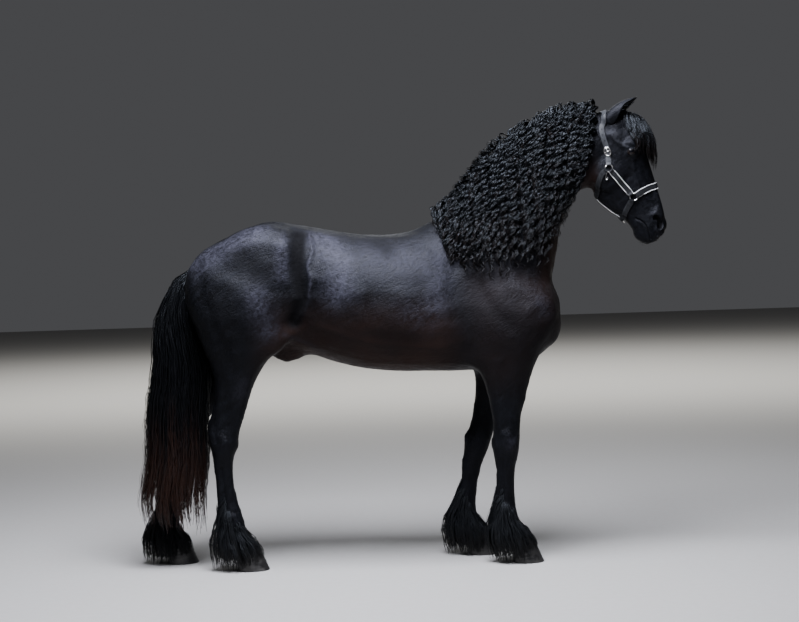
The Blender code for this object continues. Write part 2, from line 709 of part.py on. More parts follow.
def clipped(name, source, planes):
    """A copy of a closed mesh kept on the inner side of each plane, with flat caps.

    A plane is a point and an outward normal. Half the gap is left on its inner side.
    """
    bm = bmesh.new()
    bm.from_mesh(source.data)
    for point, normal in planes:
        outward = Vector(normal).normalized()
        at = Vector(point) - outward * (GAP / 2)
        geom = bm.verts[:] + bm.edges[:] + bm.faces[:]
        cut = bmesh.ops.bisect_plane(
            bm, geom=geom, dist=1e-7, plane_co=at, plane_no=outward, clear_outer=True
        )
        rim = [g for g in cut["geom_cut"] if isinstance(g, bmesh.types.BMEdge) and g.is_boundary]
        if rim:
            bmesh.ops.triangle_fill(bm, edges=rim, use_beauty=True, normal=outward)
    bmesh.ops.triangulate(bm, faces=[f for f in bm.faces if len(f.verts) > 3])
    bmesh.ops.recalc_face_normals(bm, faces=bm.faces)
    obj = mesh_object(name, bm)
    keep_largest(obj)
    return obj


# The flat cuts between regions: a point and the normal that points out of the first region.
CHEST_BACK = ((0.215, 0.0, 1.2), (-1, 0, 0))
FLANK = ((-0.430, 0.0, 1.2), (-1, 0, -0.06))
ELBOW = ((0.45, 0.0, 0.866), (0, 0, -1))
GROIN = ((-0.72, 0.0, 0.952), (0.10, 0, -1))
NECK_BASE_TOP = Vector((0.120, 0.0, 1.625))
NECK_BASE_FOOT = Vector((0.780, 0.0, 1.290))
KNEE_CUT_Z = 0.470
HOCK_CUT_Z = 0.495
FETLOCK_CUT_Z = 0.300


def flipped(plane):
    """The same plane, facing the other way."""
    point, normal = plane
    return point, tuple(-n for n in normal)


def slanted(top, foot):
    """The upright-edged plane through two points of the middle plane, facing forwards and up."""
    along = Vector(top) - Vector(foot)
    return tuple(foot), (along.z, 0.0, -along.x)


def head_plane():
    """The flat cut behind the head, facing forwards, turned half as far as the head is."""
    top = Vector((HEAD_PLANE_TOP[0], 0.0, HEAD_PLANE_TOP[1]))
    foot = Vector((HEAD_PLANE_FOOT[0], 0.0, HEAD_PLANE_FOOT[1]))
    return slanted(top, foot)


def floor_at(z):
    """A level plane that keeps what is above it."""
    return (0.0, 0.0, z), (0, 0, -1)


def ceiling_at(z):
    """A level plane that keeps what is below it."""
    return (0.0, 0.0, z), (0, 0, 1)


def coronet_plane(hoof, shift):
    """The sloping plane where the hoof begins, facing down and forwards."""
    toe = Vector((hoof.toe_top - shift, 0.0, hoof.toe_top_z))
    heel = Vector((hoof.heel_top - shift, 0.0, hoof.heel_top_z))
    along = toe - heel
    return tuple(heel), (along.z, 0.0, -along.x)


def trunk_nodes(flesh):
    """Neck, chest, barrel and hindquarters, parted by flat cuts."""
    neck_base = slanted(NECK_BASE_TOP, NECK_BASE_FOOT)
    high = floor_at(1.20)
    return {
        "neck": clipped("neck", flesh, [high, flipped(neck_base), head_plane()]),
        "chest": clipped("chest", flesh, [neck_base, CHEST_BACK, ELBOW]),
        "barrel": clipped("barrel", flesh, [flipped(CHEST_BACK), FLANK]),
        "hindquarters": clipped("hindquarters", flesh, [flipped(FLANK), GROIN]),
    }


def leg_nodes(flesh):
    """The three lengths of each leg below the body."""
    nodes = {}
    for name, (_, back, mirror, hoof) in LEGS.items():
        own_side = ((0.0, 0.0, 0.0), (0, -mirror, 0))
        if name.startswith("fore"):
            limits = [own_side, ((-0.2, 0.0, 0.0), (-1, 0, 0))]
            top, middle, label = flipped(ELBOW), KNEE_CUT_Z, "forearm"
        else:
            limits = [own_side, ((-0.2, 0.0, 0.0), (1, 0, 0))]
            top, middle, label = flipped(GROIN), HOCK_CUT_Z, "gaskin"
        coronet = coronet_plane(hoof, back_of(back, 0.05))
        parts = {
            label: [top, floor_at(middle)],
            "cannon": [ceiling_at(middle), floor_at(FETLOCK_CUT_Z)],
            "pastern": [ceiling_at(FETLOCK_CUT_Z), coronet],
        }
        for part, cuts in parts.items():
            node = f"{name}_{part}"
            nodes[node] = clipped(node, flesh, limits + cuts)
    return nodes


def hoof_node(name, hoof, shift, mirror):
    """A hoof: a sloping wall round a flat sole, with a small bevel where it meets the floor."""
    rows = [
        (hoof.toe_top, hoof.toe_top_z, hoof.heel_top, hoof.heel_top_z, hoof.half * 0.90),
        (hoof.toe - 0.020, 0.048, hoof.heel - 0.002, 0.026, hoof.half * 0.97),
        (hoof.toe - 0.001, 0.006, hoof.heel, 0.006, hoof.half * 1.01),
        (hoof.toe - 0.004, 0.000, hoof.heel + 0.004, 0.000, hoof.half * 0.97),
    ]
    slope = Vector((hoof.toe_top - hoof.heel_top, 0.0, hoof.toe_top_z - hoof.heel_top_z))
    down = Vector((slope.z, 0.0, -slope.x)).normalized() * (GAP / 2)
    bm = bmesh.new()
    rings = []
    for i, (ax, az, bx, bz, half) in enumerate(rows):
        row = (ax - shift, az, bx - shift, bz, hoof.side * mirror, half, 0.52, 2.1, 2.6)
        ring = ring_of(row, 16)
        rings.append([bm.verts.new(p + (down if i == 0 else Vector())) for p in ring])
    bridge_rings(bm, rings)
    bmesh.ops.recalc_face_normals(bm, faces=bm.faces)
    return mesh_object(name, bm)


class Ground:
    """The surface that hair and straps lie on, for placing points just outside it."""

    def __init__(self, objects):
        bm = bmesh.new()
        for obj in objects:
            bm.from_mesh(obj.data)
        self.tree = BVHTree.FromBMesh(bm)
        bm.free()

    def height(self, point):
        """(how far outside the surface the point is, the surface normal, the nearest place)."""
        place, normal, _, _ = self.tree.find_nearest(point)
        offset = point - place
        signed = offset.length if offset.dot(normal) >= 0 else -offset.length
        return signed, normal, place

    def clear(self, point, margin):
        """The point, moved out of the surface until it is margin away."""
        signed, normal, place = self.height(point)
        if signed >= margin:
            return point
        return place + normal * margin

    def at_height(self, point, height):
        """The place at this height above the surface, over the spot nearest to point."""
        _, normal, place = self.height(point)
        return place + normal * height


def lock(name, rings, tip):
    """A tapered lock of hair: rings of two base corners and a ridge, closed by a pointed tip."""
    bm = bmesh.new()
    loops = [[bm.verts.new(corner) for corner in ring] for ring in rings]
    end = bm.verts.new(tip)
    for low, high in zip(loops, loops[1:]):
        for k in range(3):
            j = (k + 1) % 3
            bm.faces.new((low[k], low[j], high[j], high[k]))
    for k in range(3):
        bm.faces.new((loops[-1][k], loops[-1][(k + 1) % 3], end))
    bm.faces.new(loops[0][::-1])
    bmesh.ops.triangulate(bm, faces=bm.faces)
    bmesh.ops.recalc_face_normals(bm, faces=bm.faces)
    return mesh_object(name, bm)


def taper(count, root, widest):
    """Shares of the width along a lock: widening from the root, then narrowing to its tip."""
    shares = []
    for t in np.linspace(0, 1, count):
        if t < widest:
            shares.append(root + (1 - root) * t / widest)
        else:
            shares.append(max(0.14, 1 - ((t - widest) / (1 - widest)) ** 1.7))
    return shares


# The mane grows along the crest, from the withers to the bridle path behind the ears. It
# falls to the right in layers that lie one above the other, with a thinner fall to the left.
# stand is how high a layer lies above the skin, and root_side the y that it grows from.
MANE_CREST = [(0.185, 1.598), (0.240, 1.632), (0.335, 1.722), (0.440, 1.848),
              (0.550, 1.946), (0.680, 2.020), (0.800, 2.052), (0.915, 2.062)]
Fall = namedtuple("Fall", "count side root_side stand length width")
MANE_FALLS = [
    Fall(11, RIGHT, -0.030, 0.010, 1.00, 0.057),
    Fall(10, RIGHT, -0.012, 0.028, 0.80, 0.060),
    Fall(9, RIGHT, 0.004, 0.046, 0.50, 0.062),
    Fall(7, LEFT, 0.022, 0.012, 0.50, 0.078),
]
# How long the mane's longest locks are, from the withers (0) to the poll (1).
MANE_LENGTHS = [(0.0, 0.27), (0.12, 0.34), (0.25, 0.46), (0.40, 0.58), (0.55, 0.65),
                (0.70, 0.66), (0.85, 0.62), (1.0, 0.54)]
# How far each lock leans forwards as it falls, from the withers to the poll.
MANE_LEANS = [(0.0, 0.16), (0.5, 0.02), (1.0, -0.25)]
MANE_STEPS = 8
MANE_THICK = 0.013
MANE_ROOT = 0.022
MANE_WAVE = 0.014
WAVE_LENGTH = 0.180
HAIR_MARGIN = 0.0045
LOCK_KEEP = 0.78


def crest_at(t):
    """A point of the crest in the middle plane, t of the way forwards from withers to poll."""
    rows = smooth_rows(MANE_CREST, 6)
    x = MANE_CREST[0][0] + (MANE_CREST[-1][0] - MANE_CREST[0][0]) * t
    return Vector((x, 0.0, float(np.interp(x, rows[:, 0], rows[:, 1]))))


def mane_locks(ground, draw):
    """The locks of the mane, laid over the neck and shoulder."""
    locks = []
    for layer, fall in enumerate(MANE_FALLS):
        for i in range(fall.count):
            t = (i + 0.28 + 0.44 * (layer % 2) + draw.uniform(-0.04, 0.04)) / fall.count
            locks.append(mane_lock(ground, draw, fall, t))
    return locks


def mane_lock(ground, draw, fall, t):
    """One lock: out of the crest, over, and down the side of the neck in waves."""
    crest = crest_at(t)
    length = fall.length * float(np.interp(t, *zip(*MANE_LENGTHS)))
    length *= draw.uniform(0.90, 1.10)
    step = length / MANE_STEPS
    widths = taper(MANE_STEPS + 1, 0.75, 0.55)
    root = ground.at_height(crest + Vector((0.0, fall.root_side, 0.0)), -MANE_ROOT)
    ahead_on_crest = (crest_at(min(t + 0.02, 1.0)) - crest_at(max(t - 0.02, 0.0))).normalized()
    half = ahead_on_crest * fall.width * 0.36
    rings = [(root - half, root + half, root + Vector((0.0, fall.side * 0.004, 0.014)))]
    here = crest + Vector((0.0, fall.root_side + fall.side * 0.022, 0.010 + fall.stand))
    run = 0.0
    for k in range(1, MANE_STEPS + 1):
        _, normal, place = ground.height(here)
        ahead = Vector((float(np.interp(t, *zip(*MANE_LEANS))), fall.side * 0.02, -1.0))
        ahead = (ahead - normal * ahead.dot(normal)).normalized()
        across = normal.cross(ahead).normalized()
        wave = math.sin(math.tau * run / WAVE_LENGTH + t * 4.0) * MANE_WAVE * min(1.0, k / 3)
        middle = place + across * wave
        reach = across * fall.width * widths[k] / 2
        ring = [ground.at_height(middle - reach, fall.stand), ground.at_height(middle + reach, fall.stand)]
        ring.append(ground.at_height(middle, fall.stand + MANE_THICK * (0.5 + 0.5 * widths[k])))
        rings.append(tuple(ring))
        here = place + normal * fall.stand + ahead * step
        run += step
    tip = ground.at_height(here, fall.stand + 0.002)
    return lock("mane", rings, tip)


# The forelock falls between the ears, down the forehead.
FORELOCK_COUNT = 7
FORELOCK_LENGTH = 0.34
FORELOCK_STEPS = 5


def forelock_locks(ground, draw):
    """The locks of the forelock, in two layers fanned over the forehead."""
    locks = []
    for layer, stand in ((0, 0.004), (1, 0.027)):
        count = FORELOCK_COUNT - layer
        for i in range(count):
            spread = (2 * (i + 0.5) / count - 1) * (1 - 0.12 * layer)
            length = FORELOCK_LENGTH * (1 - 0.24 * abs(spread)) * draw.uniform(0.94, 1.06)
            widths = taper(FORELOCK_STEPS + 1, 0.4, 0.5)
            root = frame_point(0.002 - 0.020 * layer, 0.022, spread * 0.032)
            half = Vector((0.0, 0.0042, 0.0))
            rings = [(root - half, root + half, root + OUT * 0.008)]
            for k in range(1, FORELOCK_STEPS + 1):
                run = length * k / (FORELOCK_STEPS + 0.6)
                side = spread * (0.034 + 0.046 * min(1.0, run / 0.16))
                lift = stand + 0.010 * math.sin(math.pi * min(1.0, run / 0.30))
                middle = frame_point(run, 0.130, side)
                reach = Vector((0.0, 0.0112 * widths[k], 0.0))
                ring = [ground.at_height(middle - reach, lift), ground.at_height(middle + reach, lift)]
                ring.append(ground.at_height(middle, lift + 0.017 * widths[k]))
                rings.append(tuple(ring))
            end = frame_point(length, 0.130, spread * 0.078)
            locks.append(lock("forelock", rings, ground.at_height(end, stand + 0.002)))
    return locks


# The tail hangs from the dock. Its outline, from the side, by height: (z, back x, front x),
# and (z, middle y, half width) across.
TAIL_OUTLINE = [
    (0.170, -1.222, -0.930), (0.300, -1.232, -0.922), (0.450, -1.216, -0.922),
    (0.600, -1.196, -0.920), (0.750, -1.172, -0.915), (0.900, -1.160, -0.925),
    (1.050, -1.140, -0.958), (1.200, -1.108, -0.992), (1.340, -1.062, -0.995),
    (1.420, -1.010, -0.965),
]
TAIL_ACROSS = [(0.170, -0.045, 0.050), (0.300, -0.042, 0.060), (0.600, -0.036, 0.074),
               (0.900, -0.026, 0.070), (1.200, -0.006, 0.054), (1.420, 0.0, 0.030)]
TAIL_CORE_END = 0.82
# Rings of locks round the core: how many, how far out, from and to what height.
TailRing = namedtuple("TailRing", "count share start end")
TAIL_RINGS = [TailRing(19, 1.0, 1.375, 0.175), TailRing(11, 0.62, 1.080, 0.190)]
TAIL_STEPS = 6


def column(table, index, z):
    """A column of a table of heights, at height z."""
    return float(np.interp(z, [row[0] for row in table], [row[index] for row in table]))


def tail_point(z, angle, share):
    """A point of the tail's outline at height z, drawn in by share."""
    back, front = column(TAIL_OUTLINE, 1, z), column(TAIL_OUTLINE, 2, z)
    middle_y, wide = column(TAIL_ACROSS, 1, z), column(TAIL_ACROSS, 2, z)
    sway = 0.008 * math.sin(math.tau * z / 0.42)
    x = (back + front) / 2 + (front - back) / 2 * math.cos(angle) * share + sway
    return Vector((x, middle_y + wide * math.sin(angle) * share, z))


def tail_core():
    """The dock and the dense hair round it, ending half way down in a point."""
    rows = [Slice(-0.950, 1.452, -0.925, 1.390, 0.0, 0.026, 0.5, 2.0, 2.0),
            Slice(-0.994, 1.430, -0.962, 1.362, 0.0, 0.029, 0.5, 2.0, 2.0)]
    for z in (1.35, 1.25, 1.10, 0.95, 0.88, TAIL_CORE_END):
        share = 0.60 if z > 0.9 else 0.60 * (z - TAIL_CORE_END + 0.02) / 0.12
        a, b = tail_point(z, math.pi, share), tail_point(z, 0.0, share)
        half = column(TAIL_ACROSS, 2, z) * share
        rows.append(Slice(a.x, z, b.x, z, a.y, half, 0.5, 2.0, 2.0))
    return loft("tail", rows, steps=2, count=14)


def tail_locks(ground, draw):
    """The long locks of the tail, in rings round its core."""
    locks = []
    for ring_row in TAIL_RINGS:
        for i in range(ring_row.count):
            angle = math.tau * (i + 0.5) / ring_row.count
            end = ring_row.end + draw.uniform(0.0, 0.10)
            start = ring_row.start - 0.05 * (i % 2)
            widths = taper(TAIL_STEPS, 0.9, 0.72)
            rings = []
            for k in range(TAIL_STEPS):
                z = start + (end - start) * (k / TAIL_STEPS) ** 1.1
                share = ring_row.share * (0.40 if k == 0 else 1.0)
                step = math.tau / ring_row.count * 0.47 * widths[k]
                base = [tail_point(z, angle - step, share), tail_point(z, angle + step, share)]
                ridge = tail_point(z, angle, share)
                middle = (tail_point(z, angle, 0.0) - ridge).normalized()
                base.append(ridge - middle * (0.004 + 0.011 * widths[k]))
                rings.append([ground.clear(p, HAIR_MARGIN) if k else p for p in base])
            tip = tail_point(end, angle + draw.uniform(-0.06, 0.06), ring_row.share)
            locks.append(lock("tail_lock", rings, ground.clear(tip, HAIR_MARGIN)))
    return locks


# The feather: long hair from the back of the cannon, round the fetlock, down to the heel.
# Its oval by height: (z, middle x, half length, half width).
FORE_FEATHER = [(0.005, 0.505, 0.122, 0.092), (0.050, 0.500, 0.128, 0.090), (0.120, 0.480, 0.124, 0.080),
                (0.200, 0.461, 0.090, 0.063), (0.300, 0.457, 0.050, 0.040), (0.330, 0.458, 0.040, 0.030)]
HIND_FEATHER = [(0.005, -0.768, 0.124, 0.090), (0.050, -0.764, 0.132, 0.088), (0.120, -0.785, 0.122, 0.078),
                (0.200, -0.802, 0.086, 0.063), (0.300, -0.815, 0.050, 0.040), (0.330, -0.818, 0.040, 0.030)]
# Rows of locks: how many, how far out, from what height, and how far round.
FeatherRow = namedtuple("FeatherRow", "count share start spread")
FEATHER_ROWS = [FeatherRow(10, 1.0, 0.285, 118), FeatherRow(7, 0.80, 0.200, 100)]
FEATHER_STEPS = 4
FEATHER_FLOOR = 0.006


def feather_locks(ground, draw, back, mirror, hoof, name):
    """The locks of the feather behind one fetlock, in rows that lie one under the other."""
    table = FORE_FEATHER if name.startswith("fore") else HIND_FEATHER
    locks = []
    for row in FEATHER_ROWS:
        for i in range(row.count):
            spread = 2 * (i + 0.5) / row.count - 1
            angle = math.radians(row.spread) * spread
            end = FEATHER_FLOOR + 0.022 * spread * spread + draw.uniform(0.0, 0.012)
            start = row.start - 0.060 * spread * spread - 0.015 * (i % 2)
            widths = taper(FEATHER_STEPS, 0.9, 0.74)
            rings = []
            for k in range(FEATHER_STEPS):
                z = start + (end - start) * k / FEATHER_STEPS
                share = 0.32 if k == 0 else row.share
                step = math.radians(row.spread) / row.count * 0.96 * widths[k]
                corners = []
                for turn, extra in ((angle - step, 0.0), (angle + step, 0.0), (angle, 0.008 * widths[k])):
                    x = column(table, 1, z) - back_of(back, z)
                    long_share = column(table, 2, z) * share + extra
                    wide_share = column(table, 3, z) * share + extra
                    point = Vector((x - math.cos(turn) * long_share, math.sin(turn) * wide_share, z))
                    point.y += hoof.side * mirror
                    corners.append(ground.clear(point, HAIR_MARGIN) if k else point)
                rings.append(corners)
            x = column(table, 1, end) - back_of(back, end)
            tip = Vector((x - math.cos(angle) * column(table, 2, end) * row.share, 0.0, end))
            tip.y = hoof.side * mirror + math.sin(angle) * column(table, 3, end) * row.share
            locks.append(lock("feather", rings, ground.clear(tip, HAIR_MARGIN)))
    return locks


def ear_node(name, side):
    """A cupped, pointed ear: a thin shell curled round its length, open forwards."""
    rings_out, rings_in = [], []
    for i in range(EAR_STEPS):
        t = i / (EAR_STEPS - 1)
        radius = EAR_HALF * math.sin(math.pi * (0.30 + 0.70 * t)) ** 0.75 + 0.0022
        half_turn = math.radians(165 - 75 * min(1.0, t * 1.6))
        curl = EAR_CURL * t * t
        outer, inner = [], []
        for k in range(EAR_AROUND):
            angle = half_turn * (2 * k / (EAR_AROUND - 1) - 1)
            out = Vector((-math.cos(angle), math.sin(angle), 0.0))
            centre = Vector((curl, 0.0, EAR_LENGTH * t))
            outer.append(centre + out * radius)
            inner.append(centre + out * max(radius - EAR_WALL, 0.0006))
        rings_out.append(outer)
        rings_in.append(inner)
    bm = bmesh.new()
    loops = []
    for outer, inner in zip(rings_out, rings_in):
        loops.append([bm.verts.new(p) for p in outer + inner[::-1]])
    bridge_rings(bm, loops)
    bmesh.ops.recalc_face_normals(bm, faces=bm.faces)
    ear = mesh_object(name, bm)
    opening = Matrix.Rotation(side * EAR_TURN, 4, "Z")
    tip_forward = Matrix.Rotation(math.pi / 2 - EAR_LEAN, 4, "Y")
    splay = Matrix.Rotation(-side * EAR_SPLAY, 4, "X")
    place = Matrix.Translation(frame_point(EAR_ROOT[0], EAR_ROOT[1], side * EAR_ROOT[2]))
    ear.data.transform(head_turn() @ place @ splay @ tip_forward @ opening)
    return ear


def clear_of(obj, obstacle, margin=CLEARANCE):
    """Cuts a slightly swollen copy of the obstacle from an object."""
    bm = bmesh.new()
    bm.from_mesh(obstacle.data)
    bm.normal_update()
    for vert in bm.verts:
        vert.co += vert.normal * margin
    cutter = mesh_object("clearance", bm)
    boolean(obj, [cutter], "DIFFERENCE")
    keep_largest(obj)


# The head collar. Each strap is a flat band laid on the head.
STRAP_THICK = 0.0036
STRAP_LIFT = 0.0022
ON_STRAP = STRAP_LIFT + STRAP_THICK + GAP
STRAP_WIDTH = 0.025
NOSE_WIDTH = 0.027
JAW_WIDTH = 0.018
NOSE_RING = (0.394, -0.040)
THROAT_RING = (0.232, -0.104)
BUCKLE = (0.157, -0.082)
CHIN_RING = (0.478, -0.124)
JAW_STRAP_BACK = (0.330, -0.205)
NOSE_BRIDGE = (0.380, 0.090)
CROWN = (-0.042, -0.036)
RING_RADIUS = 0.0168
RING_WIRE = 0.0028
RING_POINTS_ROUND = 9
WIRE_SIDES = 4
BUCKLE_SHARE = 0.85  # the buckle's half width, as a share of a ring's radius
BUCKLE_OVAL = 1.38
ROUND_ANGLE = math.radians(50)  # facets that meet at less than this are shaded smooth


def band(ground, name, points, normals, width):
    """A flat strap through points. normals point away from the head."""
    bm = bmesh.new()
    rings = []
    for i, point in enumerate(points):
        ahead = points[min(i + 1, len(points) - 1)] - points[max(i - 1, 0)]
        across = normals[i].cross(ahead).normalized() * (width / 2)
        up = normals[i].normalized() * STRAP_THICK
        low = [ground.clear(point + reach, STRAP_LIFT) for reach in (-across, across)]
        rings.append([bm.verts.new(c) for c in (low[0], low[1], low[1] + up, low[0] + up)])
    for low, high in zip(rings, rings[1:]):
        for k in range(4):
            j = (k + 1) % 4
            bm.faces.new((low[k], low[j], high[j], high[k]))
    bm.faces.new(rings[0][::-1])
    bm.faces.new(rings[-1])
    bmesh.ops.triangulate(bm, faces=bm.faces)
    bmesh.ops.recalc_face_normals(bm, faces=bm.faces)
    return mesh_object(name, bm)


def laid(ground, points, lift, count, start, end):
    """Points along a line laid on the head, evenly spaced, with the normals there."""
    line = [Vector(row) for row in smooth_rows([tuple(p) for p in points], 8)]
    line = [ground.at_height(point, lift) for point in line]
    table = np.array([tuple(p) for p in line])
    steps = np.linalg.norm(np.diff(table, axis=0), axis=1)
    total = np.concatenate([[0], np.cumsum(steps)])
    spots, normals = [], []
    for s in np.linspace(start, total[-1] - end, count):
        here = Vector([float(np.interp(s, total, table[:, k])) for k in range(3)])
        _, normal, place = ground.height(here)
        spots.append(place + normal * lift)
        normals.append(normal)
    return spots, normals


def side_spot(ground, run, out, side, lift):
    """A place on one cheek and the normal there, lift above the skin."""
    aim = head_turn() @ frame_point(run, out, side * 0.20)
    centre = head_turn() @ frame_point(run, out, 0.0)
    place, normal, _, _ = ground.tree.ray_cast(aim, (centre - aim).normalized())
    return place + normal * lift, normal


def ring_node(name, centre, normal, ahead, radius, wire, oval=1.0):
    """A wire ring that lies flat against the surface. oval stretches it along ahead."""
    bpy.ops.mesh.primitive_torus_add(
        major_segments=RING_POINTS_ROUND,
        minor_segments=WIRE_SIDES,
        major_radius=radius,
        minor_radius=wire,
    )
    ring = bpy.context.object
    ring.name = name
    across = normal.cross(ahead).normalized()
    along = across.cross(normal).normalized()
    turn = Matrix((along, across, normal)).transposed().to_4x4()
    ring.data.transform(Matrix.Translation(centre) @ turn @ Matrix.Diagonal((oval, 1.0, 1.0, 1.0)))
    return ring


def halter_nodes(ground):
    """The head collar: straps that follow the head, with nickel rings and buckles."""
    nodes = {}
    turn = head_turn()
    lift = STRAP_LIFT
    spots = {}
    for side, label in ((RIGHT, "right"), (LEFT, "left")):
        for key, (run, out) in (("throat", THROAT_RING), ("nose", NOSE_RING)):
            centre, normal = side_spot(ground, run, out, side, ON_STRAP + RING_WIRE)
            spots[key, side] = centre
            name = f"halter_{key}_ring_{label}"
            nodes[name] = ring_node(name, centre, normal, RUN, RING_RADIUS, RING_WIRE)
        centre, normal = side_spot(ground, *BUCKLE, side, ON_STRAP + RING_WIRE)
        name = f"halter_buckle_{label}"
        half = RING_RADIUS * BUCKLE_SHARE
        nodes[name] = ring_node(name, centre, normal, RUN, half, RING_WIRE, BUCKLE_OVAL)
        spots["buckle", side] = centre
    chin = turn @ frame_point(*CHIN_RING, 0.0)
    _, chin_normal, chin_place = ground.height(chin)
    chin_centre = chin_place + chin_normal * (ON_STRAP + RING_WIRE)
    nodes["halter_chin_ring"] = ring_node(
        "halter_chin_ring", chin_centre, chin_normal, RUN, RING_RADIUS, RING_WIRE
    )
    right_cheek, left_cheek = (0.050, -0.072, -0.10), (0.050, -0.072, 0.10)
    crown = [right_cheek, (*CROWN, -0.06), (-0.085, -0.044, 0.0), (*CROWN, 0.06), left_cheek]
    over_poll = [spots["buckle", RIGHT]] + [turn @ frame_point(*p) for p in crown] + [spots["buckle", LEFT]]
    bridge = [(0.386, 0.040, -0.10), (*NOSE_BRIDGE, -0.03), (*NOSE_BRIDGE, 0.03), (0.386, 0.040, 0.10)]
    under = [(*JAW_STRAP_BACK, -0.03), (*JAW_STRAP_BACK, 0.03)]
    under = [(0.250, -0.150, -0.10)] + under + [(0.250, -0.150, 0.10)]
    loops = {
        "halter_crown": ("throat", over_poll, 18),
        "halter_noseband": ("nose", [turn @ frame_point(*p) for p in bridge], 14),
        "halter_throat_strap": ("throat", [turn @ frame_point(*p) for p in under], 14),
    }
    for name, (ring, middle, count) in loops.items():
        path = [spots[ring, RIGHT]] + middle + [spots[ring, LEFT]]
        width = NOSE_WIDTH if ring == "nose" else STRAP_WIDTH
        nodes[name] = strap(ground, name, path, count, 0.014, 0.014, width)
    for side, label in ((RIGHT, "right"), (LEFT, "left")):
        name = f"halter_cheek_{label}"
        nodes[name] = strap(ground, name, [spots["throat", side], spots["nose", side]], 6, 0.015, 0.014)
        name = f"halter_chin_strap_{label}"
        way = turn @ frame_point(0.440, -0.090, side * 0.06)
        nodes[name] = strap(ground, name, [spots["nose", side], way, chin_centre], 6, 0.014, 0.013)
    back = turn @ frame_point(*JAW_STRAP_BACK, 0.001)
    way = turn @ frame_point(0.402, -0.17, 0.002)
    name = "halter_jaw_strap"
    nodes[name] = strap(ground, name, [back, way, chin_centre], 6, STRAP_WIDTH / 2 + 0.002, 0.018, JAW_WIDTH)
    return nodes


def strap(ground, name, points, count, start, end, width=STRAP_WIDTH):
    """A flat strap laid on the head through points, short of its two ends by start and end."""
    spots, normals = laid(ground, points, STRAP_LIFT, count, start, end)
    return band(ground, name, spots, normals, width)


def clear_halter(halter, flesh):
    """Cuts the straps clear of the head and ears where a facet of theirs would touch."""
    for name, piece in halter.items():
        if "ring" in name or "buckle" in name:
            continue
        for obstacle in flesh:
            clear_of(piece, obstacle)
    for name in ("halter_cheek_left", "halter_cheek_right"):
        clear_of(halter[name], halter["halter_noseband"])
    for name in ("halter_jaw_strap", "halter_chin_strap_right", "halter_chin_strap_left"):
        clear_of(halter[name], halter["halter_chin_ring"])
    for name in ("halter_throat_strap", "halter_chin_strap_right", "halter_chin_strap_left"):
        clear_of(halter["halter_jaw_strap"], halter[name])


def build():
    """Models every node and returns them by name."""
    flesh = body_flesh()
    head_all = head_flesh()
    nodes = {"head": clipped("head", head_all, [flipped(head_plane()), floor_at(1.30)])}
    nodes.update(trunk_nodes(flesh))
    nodes.update(leg_nodes(flesh))
    for name, (_, back, mirror, hoof) in LEGS.items():
        nodes[f"{name}_hoof"] = hoof_node(f"{name}_hoof", hoof, back_of(back, 0.05), mirror)
    for side, label in ((RIGHT, "right"), (LEFT, "left")):
        eye = eye_form(f"eye_{label}", side, EYE_RADIUS)
        eye.data.transform(head_turn())
        nodes[eye.name] = eye
        ear = ear_node(f"ear_{label}", side)
        clear_of(ear, nodes["head"])
        nodes[ear.name] = ear
    face = Ground([nodes["head"]])
    halter = halter_nodes(face)
    clear_halter(halter, [nodes["head"], nodes["ear_right"], nodes["ear_left"]])
    draw = random.Random(7)
    skin = Ground([flesh, head_all] + [nodes[f"{leg}_hoof"] for leg in LEGS])
    add_locks(nodes["neck"], mane_locks(Ground([flesh]), draw))
    add_locks(nodes["head"], forelock_locks(Ground([head_all]), draw))
    nodes["tail"] = tail_core()
    clear_of(nodes["tail"], nodes["hindquarters"])
    add_locks(nodes["tail"], tail_locks(skin, draw))
    for name, (_, back, mirror, hoof) in LEGS.items():
        locks = feather_locks(skin, draw, back, mirror, hoof, name)
        add_locks(nodes[f"{name}_pastern"], locks)
    part_hair(nodes, halter)
    clear_of(halter["halter_crown"], halter["halter_buckle_left"])
    clear_of(halter["halter_crown"], halter["halter_buckle_right"])
    nodes.update(halter)
    for helper in (flesh, head_all):
        remove(helper)
    return nodes


def part_hair(nodes, halter):
    """Cuts the locks clear of every node that they hang past."""
    for name in ("chest", "barrel", "head"):
        clear_of(nodes["neck"], nodes[name])
    for side in ("right", "left"):
        clear_of(nodes["neck"], nodes[f"ear_{side}"])
        clear_of(nodes["head"], nodes[f"ear_{side}"])
        for part in ("gaskin", "cannon", "pastern", "hoof"):
            clear_of(nodes["tail"], nodes[f"hind_{side}_{part}"])
    clear_of(nodes["tail"], nodes["hindquarters"])
    clear_of(nodes["head"], halter["halter_crown"])
    for name in ("crown", "throat_strap", "throat_ring_right", "throat_ring_left"):
        clear_of(nodes["neck"], halter[f"halter_{name}"])
    for leg in LEGS:
        for part in ("cannon", "hoof"):
            clear_of(nodes[f"{leg}_pastern"], nodes[f"{leg}_{part}"])
    for name in ("neck", "head", "tail"):
        ease_apart(nodes[name])


def add_locks(node, locks):
    """Fuses locks into the node that they grow from."""
    boolean(node, locks, "UNION")
    keep_largest(node)
    tidy_facets(node)
    thin(node, int(LOCK_KEEP * len(node.data.polygons)))
    ease_apart(node)


def ease_apart(node):
    """Draws corners that lie on the same spot a little inwards, so that the mesh never touches itself."""
    bm = bmesh.new()
    bm.from_mesh(node.data)
    for _ in range(3):
        bm.normal_update()
        tree = KDTree(len(bm.verts))
        for vert in bm.verts:
            tree.insert(vert.co, vert.index)
        tree.balance()
        moves = []
        for vert in bm.verts:
            same = sorted(index for _, index, _ in tree.find_range(vert.co, 0.00001))
            if len(same) > 1:
                moves.append((vert, vert.normal * EASE * (1 + same.index(vert.index))))
        for vert, move in moves:
            vert.co -= move
    write_ordered(bm, node.data)


